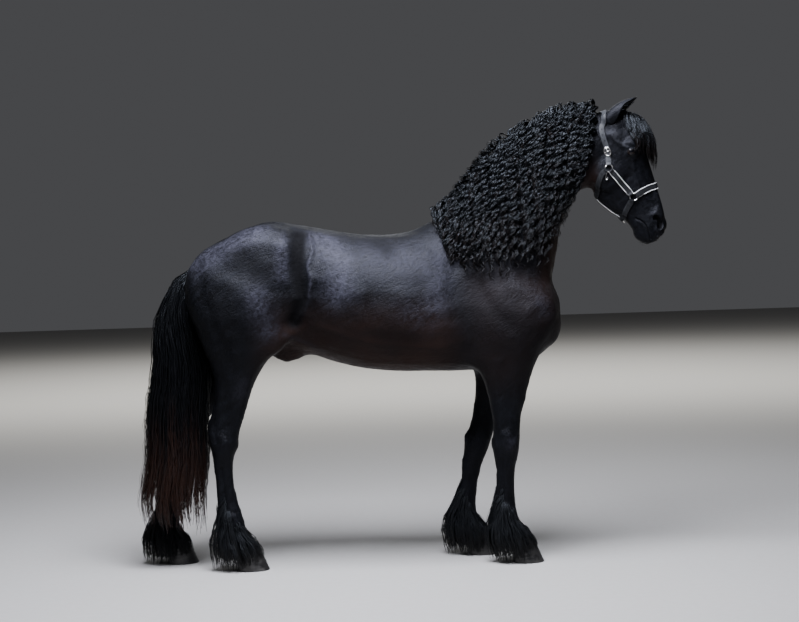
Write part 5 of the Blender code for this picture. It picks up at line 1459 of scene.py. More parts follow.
class Bed:
    """The skin as the bed that hair and straps lie on."""

    def __init__(self, skin: Object) -> None:
        """Reads the skin's triangles, map and zones.

        Args:
            skin: The finished skin.
        """
        mesh = skin.data
        mesh.calc_loop_triangles()
        self.corners = fetch(mesh.loop_triangles, "vertices", 3, np.int32)
        self.points = coordinates(mesh)
        self.normals = normals_of(mesh)
        self.tree = BVHTree.FromPolygons(self.points.tolist(), self.corners.tolist())
        self.zones = fetch(mesh.color_attributes[ZONE].data, "color", 4)
        # How much pale sheen is painted in at each vertex.
        self.bloom = fetch(mesh.attributes[PAINTED_SHEEN].data, "value")
        loops = fetch(mesh.loop_triangles, "loops", 3, np.int32)
        self.map = fetch(mesh.uv_layers[BAKE_MAP].data, "uv", 2)[loops]

    def smooth_normal(self, face: int, place: Vector) -> Vector:
        """The normal at a place on a face, blended from its corners.

        Args:
            face: The face's number.
            place: The place.

        Returns:
            The unit normal.
        """
        ids = self.corners[face]
        gaps = np.linalg.norm(self.points[ids] - np.array(place), axis=1) + 1e-6
        blended = (self.normals[ids] / gaps[:, None]).sum(axis=0)
        return Vector(blended).normalized()

    def near(self, point: Vector) -> tuple[Vector, Vector, int]:
        """The nearest place, the normal there and its face."""
        place, _, face, _ = self.tree.find_nearest(point)
        return place, self.smooth_normal(face, place), face

    def at_height(self, point: Vector, height: float) -> Vector:
        """The place at this height over the spot nearest to point."""
        place, normal, _ = self.near(point)
        return place + normal * height

    def clear(self, point: Vector, margin: float) -> Vector:
        """The point, moved out of the skin until it is margin away."""
        place, normal, _ = self.near(point)
        return point if (point - place).dot(normal) >= margin else place + normal * margin

    def chart(self, point: Vector) -> Array:
        """The place on the bake map over the spot nearest to point."""
        _, _, face, _ = self.tree.find_nearest(point)
        return self.map[face].mean(axis=0)


class Hank:
    """A mesh of many tapered strands, gathered one lock at a time."""

    shades = 400  # how many different tones its strands may have

    def __init__(self, name: str, seed: int) -> None:
        """Starts an empty hank.

        Args:
            name: The piece's name.
            seed: The seed of its random draws.
        """
        self.name = name
        self.draw = np.random.default_rng(seed)
        self.points: list[Array] = []
        self.faces: list[Array] = []
        self.bake: list[Array] = []
        self.own: list[Array] = []
        self.count = 0

    def add(
        self, paths: Array, across: Array, up: Array, width: Array, thick: Array, chart: Array
    ) -> None:
        """Adds strands that have as many rings as one another.

        Args:
            paths: Their middles, strands by rings by three.
            across: Unit vectors across them, the same shape.
            up: Unit vectors out of them, the same shape.
            width: Their widths, strands by rings.
            thick: Their thicknesses, strands by rings.
            chart: Their roots' places on the bake map, one row each.
        """
        strands, rings = paths.shape[:2]
        left = paths - across * width[..., None] / 2
        right = paths + across * width[..., None] / 2
        ridge = paths + up * thick[..., None]
        body = np.stack([left, right, ridge], axis=2).reshape(strands, rings * 3, 3)
        tip = paths[:, -1] + unit(paths[:, -1] - paths[:, -2]) * width[:, -1:] * 1.2
        points = np.concatenate([body, tip[:, None]], axis=1)
        faces = []
        for r in range(rings - 1):
            for k in range(3):
                j = (k + 1) % 3
                a, b, c, d = r * 3 + k, r * 3 + j, r * 3 + 3 + j, r * 3 + 3 + k
                faces += [(a, c, b), (a, d, c)]
        last = (rings - 1) * 3
        faces += [(last + k, rings * 3, last + (k + 1) % 3) for k in range(3)] + [(0, 1, 2)]
        faces = np.array(faces)
        stride = rings * 3 + 1
        shift = self.count + np.arange(strands)[:, None, None] * stride
        self.faces.append((faces[None] + shift).reshape(-1, 3))
        self.points.append(points.reshape(-1, 3))
        self.count += strands * stride
        along = np.repeat(np.linspace(0, 1, rings), 3)
        along = np.append(along, 1.0)
        over = np.append(np.tile((0.0, 1.0, 0.5), rings), 0.5)
        over_of = over + self.draw.integers(0, self.shades, (strands, 1)) * 1.0
        own = np.stack(np.broadcast_arrays(over_of, along), axis=-1)
        patch = np.stack([over - 0.5, along - 0.5], axis=-1) * PATCH_SIZE
        self.own.append(own.reshape(-1, 2))
        self.bake.append((chart[:, None, :] + patch[None]).reshape(-1, 2))

    def add_spikes(self, points: Array, chart: Array) -> None:
        """Adds spikes of four faces.

        Args:
            points: Left, right and upper root and tip of each, spikes by four by three.
            chart: Their roots' places on the bake map, one row each.
        """
        count = len(points)
        faces = np.array(((0, 3, 1), (1, 3, 2), (2, 3, 0), (0, 1, 2)))
        self.faces.append((faces[None] + self.count + np.arange(count)[:, None, None] * 4).reshape(-1, 3))
        self.points.append(points.reshape(-1, 3))
        self.count += count * 4
        own = np.array(((0.0, 0.0), (1.0, 0.0), (0.5, 0.0), (0.5, 1.0)))
        self.own.append(np.tile(own, (count, 1)))
        self.bake.append((chart[:, None] + (own - 0.5) * PATCH_SIZE).reshape(-1, 2))

    def make(self, material: Material) -> Object:
        """The finished piece.

        Args:
            material: Its material.

        Returns:
            The object.
        """
        obj = mesh_object(self.name, np.concatenate(self.points), np.concatenate(self.faces))
        for name, rows in ((BAKE_MAP, self.bake), (STRAND_MAP, self.own)):
            write_map(obj.data, name, np.concatenate(rows))
        LOG.info("%s: %d triangles", self.name, len(obj.data.polygons))
        return dress(obj, material)


@dataclass(frozen=True)
class Curl:
    """How a lock waves: the length of its waves, their size, and how far its strands part."""

    length: float
    size: float
    part: float
    lift: float
    strands: int
    width: float
    thick: float
    tip_gather: float = 0.25
    stray: float = 0.12
    loose: float = 0.35


def lay_lock(
    hank: Hank, guide: tuple, curl: Curl, chart: Array, wave_from: float = 0.06, phase: float | None = None
) -> None:
    """Splits a guide line into waved strands and adds them.

    Args:
        hank: The piece.
        guide: Its rings, and the unit vectors across and out of the lock at each.
        curl: How it waves.
        chart: Its root's place on the bake map.
        wave_from: The share of its length where the waves are full.
        phase: Where in a wave it starts, or None for anywhere.
    """
    draw = hank.draw
    path, across, up = guide
    rings = len(path)
    run = run_of(path)
    share = run / run[-1]
    count = curl.strands
    start = draw.uniform(0, math.tau) if phase is None else phase
    phases = start + draw.normal(0, curl.loose, (count, 1))
    pace = math.tau / (curl.length * draw.uniform(0.985, 1.015) * draw.uniform(0.985, 1.015, (count, 1)))
    size = curl.size * draw.uniform(0.7, 1.3, (count, 1)) * ramp(share, 0.0, wave_from + 0.08)[None]
    wild = np.where(draw.uniform(0, 1, (count, 1)) < curl.stray, 1.9, 1.0)
    place = draw.uniform(-1, 1, (count, 1)) * wild * curl.part
    place = place * (0.60 + 0.40 * np.sin(math.pi * np.clip(share * 1.1, 0, 1)))[None]
    place = place * (1 - (1 - curl.tip_gather) * ramp(share, 0.60, 1.0))[None]
    place = place * (0.3 + 0.7 * ramp(share, 0.0, 0.12))[None]
    height = draw.uniform(0, 1, (count, 1)) * wild * curl.lift * (0.35 + 0.65 * np.sin(math.pi * share))[None]
    sway = np.sin(run[None] * pace + phases) * size + place
    rise = (1 + np.cos(run[None] * pace + phases)) * size * 0.90 + height
    end = draw.uniform(0.82, 1.0, (count, 1))
    paths = path[None] + across[None] * sway[..., None] + up[None] * rise[..., None]
    if rings > 3:
        places = np.linspace(0, 1, rings)[None] * end * (rings - 1)
        low = np.clip(np.floor(places).astype(int), 0, rings - 2)
        t = (places - low)[..., None]
        rows = np.arange(count)[:, None]
        paths = paths[rows, low] * (1 - t) + paths[rows, low + 1] * t
    slim = np.clip(1.15 - share, 0.10, 1.0)[None] ** 0.6 * np.minimum(1.0, 0.28 + share * 4.5)[None]
    width = curl.width * draw.uniform(0.7, 1.25, (count, 1)) * slim
    thick = curl.thick * slim * np.ones((count, 1))
    ahead = unit(np.gradient(paths, axis=1))
    tilt = draw.normal(0, 0.26, (count, 1))[..., None]
    side = across[None] * np.cos(tilt) + up[None] * np.sin(tilt)
    side = unit(side - ahead * (side * ahead).sum(-1, keepdims=True))
    over = unit(np.cross(side, ahead))
    flip = np.sign((over * up[None]).sum(-1, keepdims=True))
    over = over * np.where(flip == 0, 1, flip)
    hank.add(paths, side, over, width, thick, np.repeat(chart[None], count, axis=0))


MANE_CREST = [
    (0.185, 1.598), (0.24, 1.632), (0.335, 1.722), (0.44, 1.848), (0.55, 1.946), (0.68, 2.02),
    (0.8, 2.052), (0.945, 2.064),
]
MANE_LENGTHS = [
    (0.0, 0.29), (0.12, 0.38), (0.25, 0.5), (0.4, 0.6), (0.55, 0.66), (0.7, 0.66), (0.85, 0.62),
    (1.0, 0.54),
]
MANE_LEANS = [(0.0, 0.20), (0.5, 0.02), (1.0, -0.27)]


@dataclass(frozen=True)
class Fall:
    """One layer of the mane: locks, side, where its roots and its bulk lie, and its share of the length."""

    count: int
    side: int
    root: float
    stand: float
    length: float


@dataclass
class Mane:
    """The thick, crimped mane, which falls to the right over nearly the whole neck."""

    curl: Curl = Curl(0.057, 0.0100, 0.0125, 0.008, 8, 0.0076, 0.0014, 0.30, 0.07, 0.10)
    knots: int = 13
    step: float = 0.0074
    root_depth: float = 0.012
    falls: tuple = (
        Fall(46, NEAR, -0.034, 0.004, 1.00),
        Fall(46, NEAR, -0.022, 0.012, 0.94),
        Fall(44, NEAR, -0.010, 0.022, 0.82),
        Fall(40, NEAR, 0.000, 0.032, 0.62),
        Fall(34, NEAR, 0.006, 0.042, 0.40),
        Fall(30, FAR, 0.018, 0.006, 0.44),
        Fall(26, FAR, 0.008, 0.018, 0.30),
    )

    def crest(self, t: float) -> Vector:
        """A point of the crest, t of the way from the withers to the poll."""
        rows = smooth_rows(MANE_CREST, 6)
        x = MANE_CREST[0][0] + (MANE_CREST[-1][0] - MANE_CREST[0][0]) * t
        return Vector((x, 0.0, float(np.interp(x, rows[:, 0], rows[:, 1]))))

    def guide(self, bed: Bed, fall: Fall, t: float, draw: np.random.Generator) -> tuple:
        """The middle line of one lock.

        Args:
            bed: The skin.
            fall: Its layer.
            t: Its place along the crest.
            draw: The random draws.

        Returns:
            Its rings, and the unit vectors across and out of each.
        """
        crest = self.crest(t)
        length = fall.length * read(MANE_LENGTHS, 1, t) * draw.uniform(0.86, 1.10)
        count = max(8, int(length / self.step))
        lean = read(MANE_LEANS, 1, t) + draw.normal(0, 0.045)
        stand = fall.stand * draw.uniform(0.8, 1.2)
        here = crest + Vector((0.0, fall.root, 0.0))
        place, normal, _ = bed.near(here)
        rings, outs = [place - normal * self.root_depth], [normal]
        here = place + normal * stand + Vector((0.0, fall.side * 0.010, 0.004))
        bend, turn = draw.uniform(0.04, 0.14), 9.0 * t + draw.normal(0, 0.6)
        for step in range(count - 1):
            place, normal, _ = bed.near(here)
            lift = stand * min(1.0, 0.4 + len(rings) * 0.15)
            sway = bend * math.sin(math.tau * step * self.step / 0.21 + turn)
            ahead = Vector((lean + sway, fall.side * 0.30 * max(0.0, normal.z), -1.0))
            if normal.z > 0.80 and len(rings) < 4:
                ahead = Vector((lean * 0.3, fall.side * 1.0, -0.1))
            ahead = (ahead - normal * ahead.dot(normal)).normalized()
            rings.append(place + normal * lift)
            outs.append(normal)
            here = rings[-1] + ahead * (length / count)
        return guide_of(rings, unit(rows_of(outs)))

    def build(self, bed: Bed) -> list[Object]:
        """The mane, in pieces of a size that the export keeps whole.

        Args:
            bed: The skin.

        Returns:
            The pieces.
        """
        material = LongHair("mane_hair", tip=(0.0062, 0.0046, 0.0042), fade_from=0.75).make()
        pieces = []
        swells = np.random.default_rng(7).uniform(-2.6, 2.6, self.knots)
        knots = np.linspace(0, 1, self.knots)
        for number, (first, last) in enumerate(((0, 1), (1, 2), (2, 3), (3, 5), (5, 7))):
            hank = Hank(f"mane_{number + 1}", 11 + number)
            for fall in self.falls[first:last]:
                for i in range(fall.count):
                    t = (i + hank.draw.uniform(0.2, 0.8)) / fall.count
                    guide = self.guide(bed, fall, t, hank.draw)
                    phase = float(np.interp(t, knots, swells)) + hank.draw.normal(0, 0.2)
                    lay_lock(hank, guide, self.curl, bed.chart(Vector(guide[0][0])), 0.11, phase)
            pieces.append(hank.make(material))
        return pieces


@dataclass
class Forelock:
    """The full forelock, which falls between the ears over the forehead."""

    locks: int = 112
    length: float = 0.335
    root_depth: float = 0.008
    rings: int = 20
    curl: Curl = Curl(0.080, 0.0034, 0.0125, 0.007, 9, 0.0042, 0.0010, 0.6)

    def build(self, bed: Bed) -> Object:
        """All the locks.

        Args:
            bed: The skin.

        Returns:
            The piece.
        """
        hank = Hank("forelock", 31)
        draw = hank.draw
        for i in range(self.locks):
            spread = draw.uniform(-1, 1)
            layer = draw.uniform(0, 1)
            length = self.length * (1 - 0.30 * abs(spread)) * draw.uniform(0.62, 1.05)
            root = turned(-0.012 + 0.020 * draw.uniform(-1, 1), 0.030, spread * 0.030)
            place, normal, _ = bed.near(root)
            rings, outs = [place - normal * self.root_depth], [normal]
            for k in range(1, self.rings):
                run = length * k / self.rings
                side = spread * (0.034 + 0.086 * min(1.0, run / 0.14))
                lift = 0.002 + layer * (0.010 + 0.042 * math.sin(math.pi * min(1.0, (run + 0.03) / 0.36)))
                lift *= 1 - 0.35 * abs(spread)
                place, normal, _ = bed.near(turned(run, 0.130 - 0.085 * spread * spread, side))
                rings.append(place + normal * lift)
                outs.append(normal)
            lay_lock(hank, guide_of(rings, unit(rows_of(outs))), self.curl, bed.chart(root), 0.3)
        return hank.make(LongHair("forelock_hair", tip=(0.0070, 0.0048, 0.0042), fade_from=0.7).make())


TAIL_OUTLINE = [
    (0.17, -1.222, -0.93), (0.3, -1.232, -0.922), (0.45, -1.216, -0.922), (0.6, -1.196, -0.915),
    (0.75, -1.174, -0.9), (0.9, -1.164, -0.9), (1.05, -1.148, -0.925), (1.2, -1.122, -0.955),
    (1.34, -1.08, -0.965), (1.42, -1.025, -0.945), (1.47, -0.975, -0.93),
]
TAIL_ACROSS = [
    (0.17, -0.045, 0.05), (0.3, -0.042, 0.06), (0.6, -0.036, 0.074), (0.9, -0.026, 0.07),
    (1.2, -0.006, 0.054), (1.42, 0.0, 0.036), (1.47, 0.0, 0.024),
]


@dataclass
class Tail:
    """The long, full tail, which reaches nearly to the floor."""

    locks: int = 260
    rings: int = 22
    top: float = 1.410
    dock: tuple = (-0.97, 0.0, 1.42)
    dock_end: float = 0.95
    sunk: tuple = (0.030, 0.0, -0.016)
    clearance: float = 0.004
    tip: float = 0.152
    curl: Curl = Curl(0.088, 0.0058, 0.016, 0.009, 7, 0.0070, 0.0016, 0.9, 0.14, 0.5)

    def spot(self, z: float, angle: float, share: float) -> Array:
        """A point of the tail's outline, drawn in.

        Args:
            z: Its height.
            angle: Its way round, from the front.
            share: How far out it lies.

        Returns:
            The point.
        """
        back, front = read(TAIL_OUTLINE, 1, z), read(TAIL_OUTLINE, 2, z)
        middle, wide = read(TAIL_ACROSS, 1, z), read(TAIL_ACROSS, 2, z)
        sway = 0.008 * math.sin(math.tau * z / 0.42)
        x = (back + front) / 2 + (front - back) / 2 * math.cos(angle) * share + sway
        return np.array((x, middle + wide * math.sin(angle) * share, z))

    def build(self, bed: Bed) -> list[Object]:
        """The tail's hair, in two pieces.

        Args:
            bed: The skin.

        Returns:
            The pieces.
        """
        material = LongHair("tail_hair", tip=(0.0210, 0.0095, 0.0062), fade_from=0.52, gloss=0.20).make()
        pieces = []
        for number, (low, high) in enumerate(((0.15, 0.72), (0.72, 1.0))):
            hank = Hank(f"tail_{number + 1}", 41 + number)
            draw = hank.draw
            count = int(self.locks * (0.42, 0.58)[number])
            for i in range(count):
                angle = math.tau * (i + draw.uniform(0, 1)) / count
                share = draw.uniform(low, high)
                start = self.dock_end + (self.top - self.dock_end) * draw.uniform(0, 1) ** 0.55
                end = self.tip + 0.17 * draw.uniform(0, 1) ** 2 + 0.08 * (1 - share)
                turn = draw.normal(0, 0.16)
                rings = []
                for k in range(self.rings):
                    t = k / (self.rings - 1)
                    z = start + (end - start) * t
                    out = share * min(1.0, 0.80 + t * 1.1)
                    rings.append(self.spot(z, angle + turn * t, out))
                path = rows_of([bed.clear(Vector(p), self.clearance) for p in rings])
                path[0] += self.sunk
                up = level_out(path, [self.spot(p[2], 0.0, 0.0) for p in path])
                lay_lock(hank, guide_of(path, up), self.curl, bed.chart(Vector(self.dock)), 0.2)
            pieces.append(hank.make(material))
        return pieces


FORE_FEATHER = [
    (0.005, 0.505, 0.122, 0.092), (0.05, 0.5, 0.128, 0.09), (0.12, 0.48, 0.124, 0.08),
    (0.2, 0.461, 0.09, 0.063), (0.3, 0.457, 0.05, 0.04), (0.33, 0.458, 0.04, 0.03),
]
HIND_FEATHER = [
    (0.005, -0.768, 0.124, 0.09), (0.05, -0.764, 0.132, 0.088), (0.12, -0.785, 0.122, 0.078),
    (0.2, -0.802, 0.086, 0.063), (0.3, -0.815, 0.05, 0.04), (0.33, -0.818, 0.04, 0.03),
]


@dataclass
class Feather:
    """The long hair round each fetlock, which reaches the heel and nearly the floor."""

    locks: int = 150
    rings: int = 10
    top: float = 0.325
    around: float = 172.0  # degrees from the heel, to each side
    climb: float = 0.085
    curl: Curl = Curl(0.076, 0.0036, 0.0110, 0.004, 7, 0.0048, 0.0011, 0.8, 0.10)

    def build(self, bed: Bed, leg: Leg, material: Material, seed: int) -> Object:
        """The feather of one leg.

        Args:
            bed: The skin.
            leg: The leg.
            material: The hair.
            seed: The seed of its random draws.

        Returns:
            The piece.
        """
        hank = Hank(f"feather_{leg.name}", seed)
        draw = hank.draw
        table = FORE_FEATHER if leg.is_fore() else HIND_FEATHER
        middle = leg.hoof.side * leg.mirror
        for i in range(self.locks):
            spread = 2 * (i + draw.uniform(0, 1)) / self.locks - 1
            angle = math.radians(self.around) * spread
            share = draw.uniform(0.55, 1.0)
            ahead = max(0.0, abs(spread) - 0.60) / 0.40
            start = self.top - 0.085 * min(spread * spread, 0.5) - 0.13 * draw.uniform(0, 1) ** 1.5
            start += self.climb * max(0.0, 1 - abs(spread) / 0.45) * draw.uniform(0, 1)
            start = start * (1 - ahead) + draw.uniform(0.125, 0.185) * ahead
            end = 0.005 + 0.012 * spread * spread + 0.035 * draw.uniform(0, 1) ** 2.5 + 0.050 * ahead
            rings = []
            for k in range(self.rings):
                t = k / (self.rings - 1)
                z = start + (end - start) * t
                out = 0.25 + (share * (1 - 0.16 * ahead) - 0.25) * min(1.0, 0.05 + t * 2.4)
                x = read(table, 1, z) - math.cos(angle) * read(table, 2, z) * out - leg.behind(z)
                y = middle + math.sin(angle) * read(table, 3, z) * out
                point = Vector((x, y, z))
                rings.append(bed.clear(point, 0.003 * min(1.0, 0.1 + 3 * t)) if k else point)
            centre = [(read(table, 1, p[2]) - leg.behind(p[2]), middle, p[2]) for p in rings]
            guide = guide_of(rings, level_out(rings, centre))
            lay_lock(hank, guide, self.curl, bed.chart(Vector(guide[0][0])), 0.2)
        return hank.make(material)


def lie_of(points: Array, normals: Array) -> Array:
    """The way that the short coat lies.

    Args:
        points: Places on the skin.
        normals: The normals there.

    Returns:
        A unit vector in the skin for each place.
    """
    x, z = points[:, 0], points[:, 2]
    leg = (1 - ramp(z, 0.85, 1.05))[:, None]
    head = (ramp(x, 0.94, 1.0) * ramp(z, *CHIN_Z))[:, None]
    neck = (ramp(x, 0.35, 0.6) * (1 - ramp(x, 0.94, 1.0)) * ramp(z, 1.2, 1.35))[:, None]
    trunk = np.array((-1.0, 0.0, -0.42))
    way = trunk * (1 - leg) + np.array((-0.12, 0.0, -1.0)) * leg
    way = way * (1 - neck) + np.array((-0.75, 0.0, -0.8)) * neck
    way = way * (1 - head) + np.array(RUN) * head
    way = way - normals * (way * normals).sum(axis=1, keepdims=True)
    return unit(way + 1e-6)


@dataclass
class ShortTufts:
    """Small tufts that break the smooth outline of the skin."""

    count: int = 45000
    length: float = 0.0120
    width: float = 0.0011

    def build(self, bed: Bed, material: Material) -> Object:
        """All the tufts.

        Args:
            bed: The skin.
            material: The coat.

        Returns:
            The piece.
        """
        hank = Hank("coat_tufts", 71)
        draw = hank.draw
        a, b, c = (bed.points[bed.corners[:, k]] for k in range(3))
        area = np.linalg.norm(np.cross(b - a, c - a), axis=1)
        middle = (a + b + c) / 3
        soft = 1.0 + 1.6 * (1 - ramp(middle[:, 2], 0.2, 0.9)) + 1.2 * (ramp(middle[:, 0], 0.9, 1.0))
        chosen = draw.choice(len(area), self.count, p=area * soft / (area * soft).sum())
        r, s = draw.uniform(0, 1, (2, self.count))
        over = r + s > 1
        r, s = np.where(over, 1 - r, r)[:, None], np.where(over, 1 - s, s)[:, None]
        root = a[chosen] * (1 - r - s) + b[chosen] * r + c[chosen] * s
        normal = unit(bed.normals[bed.corners[chosen]].sum(axis=1))
        chart = bed.map[chosen].mean(axis=1)
        small = 1 - 0.55 * ramp(root[:, 0], 0.94, 1.05) * ramp(root[:, 2], *CHIN_Z)
        small = small - 0.4 * (1 - ramp(root[:, 2], 0.1, 0.3))
        lie = lie_of(root, normal)
        across = unit(np.cross(lie, normal))
        lie = unit(lie + across * draw.normal(0, 0.22, (self.count, 1)))
        size = (self.length * small * draw.uniform(0.6, 1.25, self.count))[:, None]
        lift = normal * draw.uniform(0.00, 0.12, (self.count, 1)) * size
        base = root - normal * 0.0012
        aside = across * self.width / 2
        over, tip = base + normal * (self.width * 0.25 + 0.0006), root + lie * size + lift
        hank.add_spikes(np.stack([base - aside, base + aside, over, tip], axis=1), chart)
        made = hank.make(material)
        first = np.repeat(bed.corners[chosen, 0], 4)
        # The tufts take the skin's zones, with its painted shade and painted sheen.
        write_zones(made.data, bed.zones[first], bed.bloom[first])
        return made


@dataclass
class Ear:
    """A cupped, pointed ear that leans forwards."""

    root: tuple = (0.022, -0.022, 0.058)
    length: float = 0.158
    lean: float = 45.0
    wall: float = 0.0036
    steps: int = 26
    around: int = 26
    hairs: int = 150
    curl: Curl = Curl(0.05, 0.0012, 0.003, 0.002, 4, 0.0016, 0.0010, 0.6)

    def place(self, side: int) -> Matrix:
        """Where the ear of one side stands.

        Args:
            side: Which ear.

        Returns:
            The move from the ear's own frame.
        """
        opening = Matrix.Rotation(math.radians(side * 24), 4, "Z")
        forward = Matrix.Rotation(math.pi / 2 - math.radians(self.lean), 4, "Y")
        splay = Matrix.Rotation(math.radians(-side * 9), 4, "X")
        run, out, y = self.root
        return HEAD_TURN @ Matrix.Translation(head_point(run, out, side * y)) @ splay @ forward @ opening

    def build(self, side: Side, material: Material, bed: Bed) -> list[Object]:
        """The shell and the hair in its cup.

        Args:
            side: Which ear.
            material: The coat.
            bed: The skin.

        Returns:
            Both pieces.
        """
        t = np.linspace(-0.26, 1, self.steps)[:, None]
        radius = 0.034 * np.clip(np.sin(math.pi * (0.30 + 0.70 * np.clip(t, 0, 1))), 0, 1) ** 0.75 + 0.0020
        radius = radius * (1 - 0.80 * ramp(-t, 0.0, 0.26))
        half_turn = np.radians(165 - 75 * np.minimum(1.0, np.clip(t, 0, 1) * 1.6))
        across = 2 * np.arange(self.around)[None] / (self.around - 1) - 1
        angle = half_turn * across
        lip = 0.0025 * (np.abs(across) > 0.9)
        thin = self.wall * (1 - 0.5 * np.abs(across) ** 3)
        walls = []
        for reach in (radius + lip, np.maximum(radius + lip - thin, 0.0005)):
            cup = [0.020 * t * t - np.cos(angle) * reach, np.sin(angle) * reach, self.length * t + 0 * angle]
            walls.append(np.stack(cup, axis=-1))
        shell = ring_form(f"ear_skin_{side.label}", np.concatenate([walls[0], walls[1][:, ::-1]], axis=1))
        shell.data.transform(self.place(side))
        edit(shell, FILL, OUTWARDS)
        write_zones(shell.data, np.tile((0.0, 1.0, 0.0, 1.0), len(shell.data.vertices)))
        return [dress(shell, material), self.inner_hair(side, bed)]

    def inner_hair(self, side: Side, bed: Bed) -> Object:
        """Soft hair that fills the cup and frames its rim.

        Args:
            side: Which ear.
            bed: The skin.

        Returns:
            The piece.
        """
        hank = Hank(f"ear_hair_{side.label}", 83 + side)
        draw = hank.draw
        turn = self.place(side)
        for _ in range(self.hairs):
            t = draw.uniform(0.02, 0.80)
            edge = draw.choice((-1.0, 1.0)) * draw.uniform(0.45, 1.0)
            radius = 0.034 * math.sin(math.pi * (0.30 + 0.70 * t)) ** 0.75
            half_turn = math.radians(165 - 75 * min(1.0, t * 1.6))
            angle = half_turn * edge
            x, y = 0.020 * t * t - math.cos(angle) * radius * 0.9, math.sin(angle) * radius * 0.9
            root = Vector((x, y, self.length * t))
            inwards = Vector((math.cos(angle) * 0.4 + 0.5, -math.sin(angle) * 0.6, 0.75)).normalized()
            long = 0.032 * draw.uniform(0.5, 1.1) * (1 - 0.4 * t)
            rings = [turn @ (root + inwards * long * share) for share in np.linspace(0, 1, 6)]
            guide = guide_of(rings, np.tile(np.array(turn.to_3x3() @ Vector((1, 0, 0))), (6, 1)))
            lay_lock(hank, guide, self.curl, bed.chart(Vector(guide[0][0])), 0.5)
        return hank.make(LongHair("ear_hair", tip=(0.018, 0.015, 0.013), gloss=0.35).make())


@dataclass
class Eye:
    """A large dark eye with a wide pupil, set under its lids."""

    segments: int = 48
    rings: int = 32
    bulge: float = 0.0012
    iris: float = 0.0225
    pupil: tuple = (0.0055, 0.0110)

    def build(self, side: Side, material: Material) -> Object:
        """The eyeball of one side.

        Args:
            side: Which eye.
            material: Its material.

        Returns:
            The piece.
        """
        deselect()
        turn = (math.pi / 2, 0, 0)
        bpy.ops.mesh.primitive_uv_sphere_add(
            segments=self.segments, ring_count=self.rings, radius=EYE_RADIUS, rotation=turn
        )
        ball = bpy.context.object
        ball.name = f"eyeball_{side.label}"
        settle(ball)
        points = coordinates(ball.data)
        points[:, 1] += side * (ramp(points[:, 1] * side / EYE_RADIUS, 0.70, 1.0) * self.bulge)
        put(ball.data, points)
        run = points[:, 0] * RUN.x + points[:, 2] * RUN.z
        out = points[:, 0] * OUT.x + points[:, 2] * OUT.z
        radius = np.hypot(run, out) / self.iris
        pupil = np.hypot(run / self.pupil[0], out / self.pupil[1])
        write_map(ball.data, STRAND_MAP, np.stack([radius, pupil], axis=1))
        centre = head_point(EYE[0], EYE[1], side * EYE[2])
        ball.data.transform(HEAD_TURN @ Matrix.Translation(centre))
        return dress(ball, material)


@dataclass
class FaceHair:
    """Lashes on the upper lids, and whiskers on the muzzle and chin."""

    lashes: int = 46
    whiskers: int = 84
    rings: int = 6

    def sprout(
        self, hank: Hank, bed: Bed, root: Vector, aim: Vector, long: float, droop: Vector, width: float
    ) -> None:
        """Adds one hair.

        Args:
            hank: The piece.
            bed: The skin.
            root: Where it grows.
            aim: The way that it starts.
            long: Its length.
            droop: How far its tip hangs from that line, for a length of one.
            width: Its width.
        """
        share = np.linspace(0, 1, self.rings)[:, None]
        path = np.array(root) + long * (np.array(aim.normalized()) * share + np.array(droop) * share**2)
        ahead = unit(np.gradient(path, axis=0))
        across = unit(np.cross(ahead, np.array((0.3, 0.1, 1.0))))
        up = unit(np.cross(across, ahead))
        slim = width * (1.1 - share.T)
        hank.add(path[None], across[None], up[None], slim, slim * 0.8, bed.chart(root)[None])

    def build(self, bed: Bed) -> Object:
        """All the lashes and whiskers.

        Args:
            bed: The skin.

        Returns:
            The piece.
        """
        hank = Hank("face_whiskers", 91)
        draw = hank.draw
        turn = HEAD_TURN.to_3x3()
        for side in Side:
            for i in range(self.lashes):
                along = LID_HALF * (1.7 * (i + draw.uniform(0, 1)) / self.lashes - 0.85)
                across = -LID_UPPER * (1 - (along / LID_HALF) ** 2) ** 0.8 - 0.0004
                u = across * math.cos(LID_TILT) + along * math.sin(LID_TILT)
                v = along * math.cos(LID_TILT) - across * math.sin(LID_TILT)
                deep = math.sqrt(EYE_RADIUS**2 - u * u - v * v) + 0.0030
                root = turned(EYE[0] + u, EYE[1] + v, side * (EYE[2] + deep))
                aim = turn @ (RUN * 0.25 + OUT * (along / LID_HALF * 0.5) + Vector((0, side, 0)))
                self.sprout(hank, bed, root, aim, draw.uniform(0.009, 0.015), turn @ RUN * 0.5, 0.0007)
            for _ in range(self.whiskers):
                run = draw.uniform(0.515, 0.622)
                out = draw.uniform(-0.075, 0.030)
                start = turned(run, out, side * 0.20)
                spot, _, face, _ = bed.tree.ray_cast(start, turned(run, out, 0.0) - start)
                if spot is None:
                    continue
                normal = bed.smooth_normal(face, spot)
                aim = normal + turn @ RUN * 0.5 + Vector(draw.normal(0, 0.25, 3))
                long, droop = draw.uniform(0.008, 0.026), Vector((0, 0, -0.25))
                self.sprout(hank, bed, spot - normal * 0.001, aim, long, droop, 0.0006)
        return hank.make(LongHair("face_hair", fade_from=0.9).make())


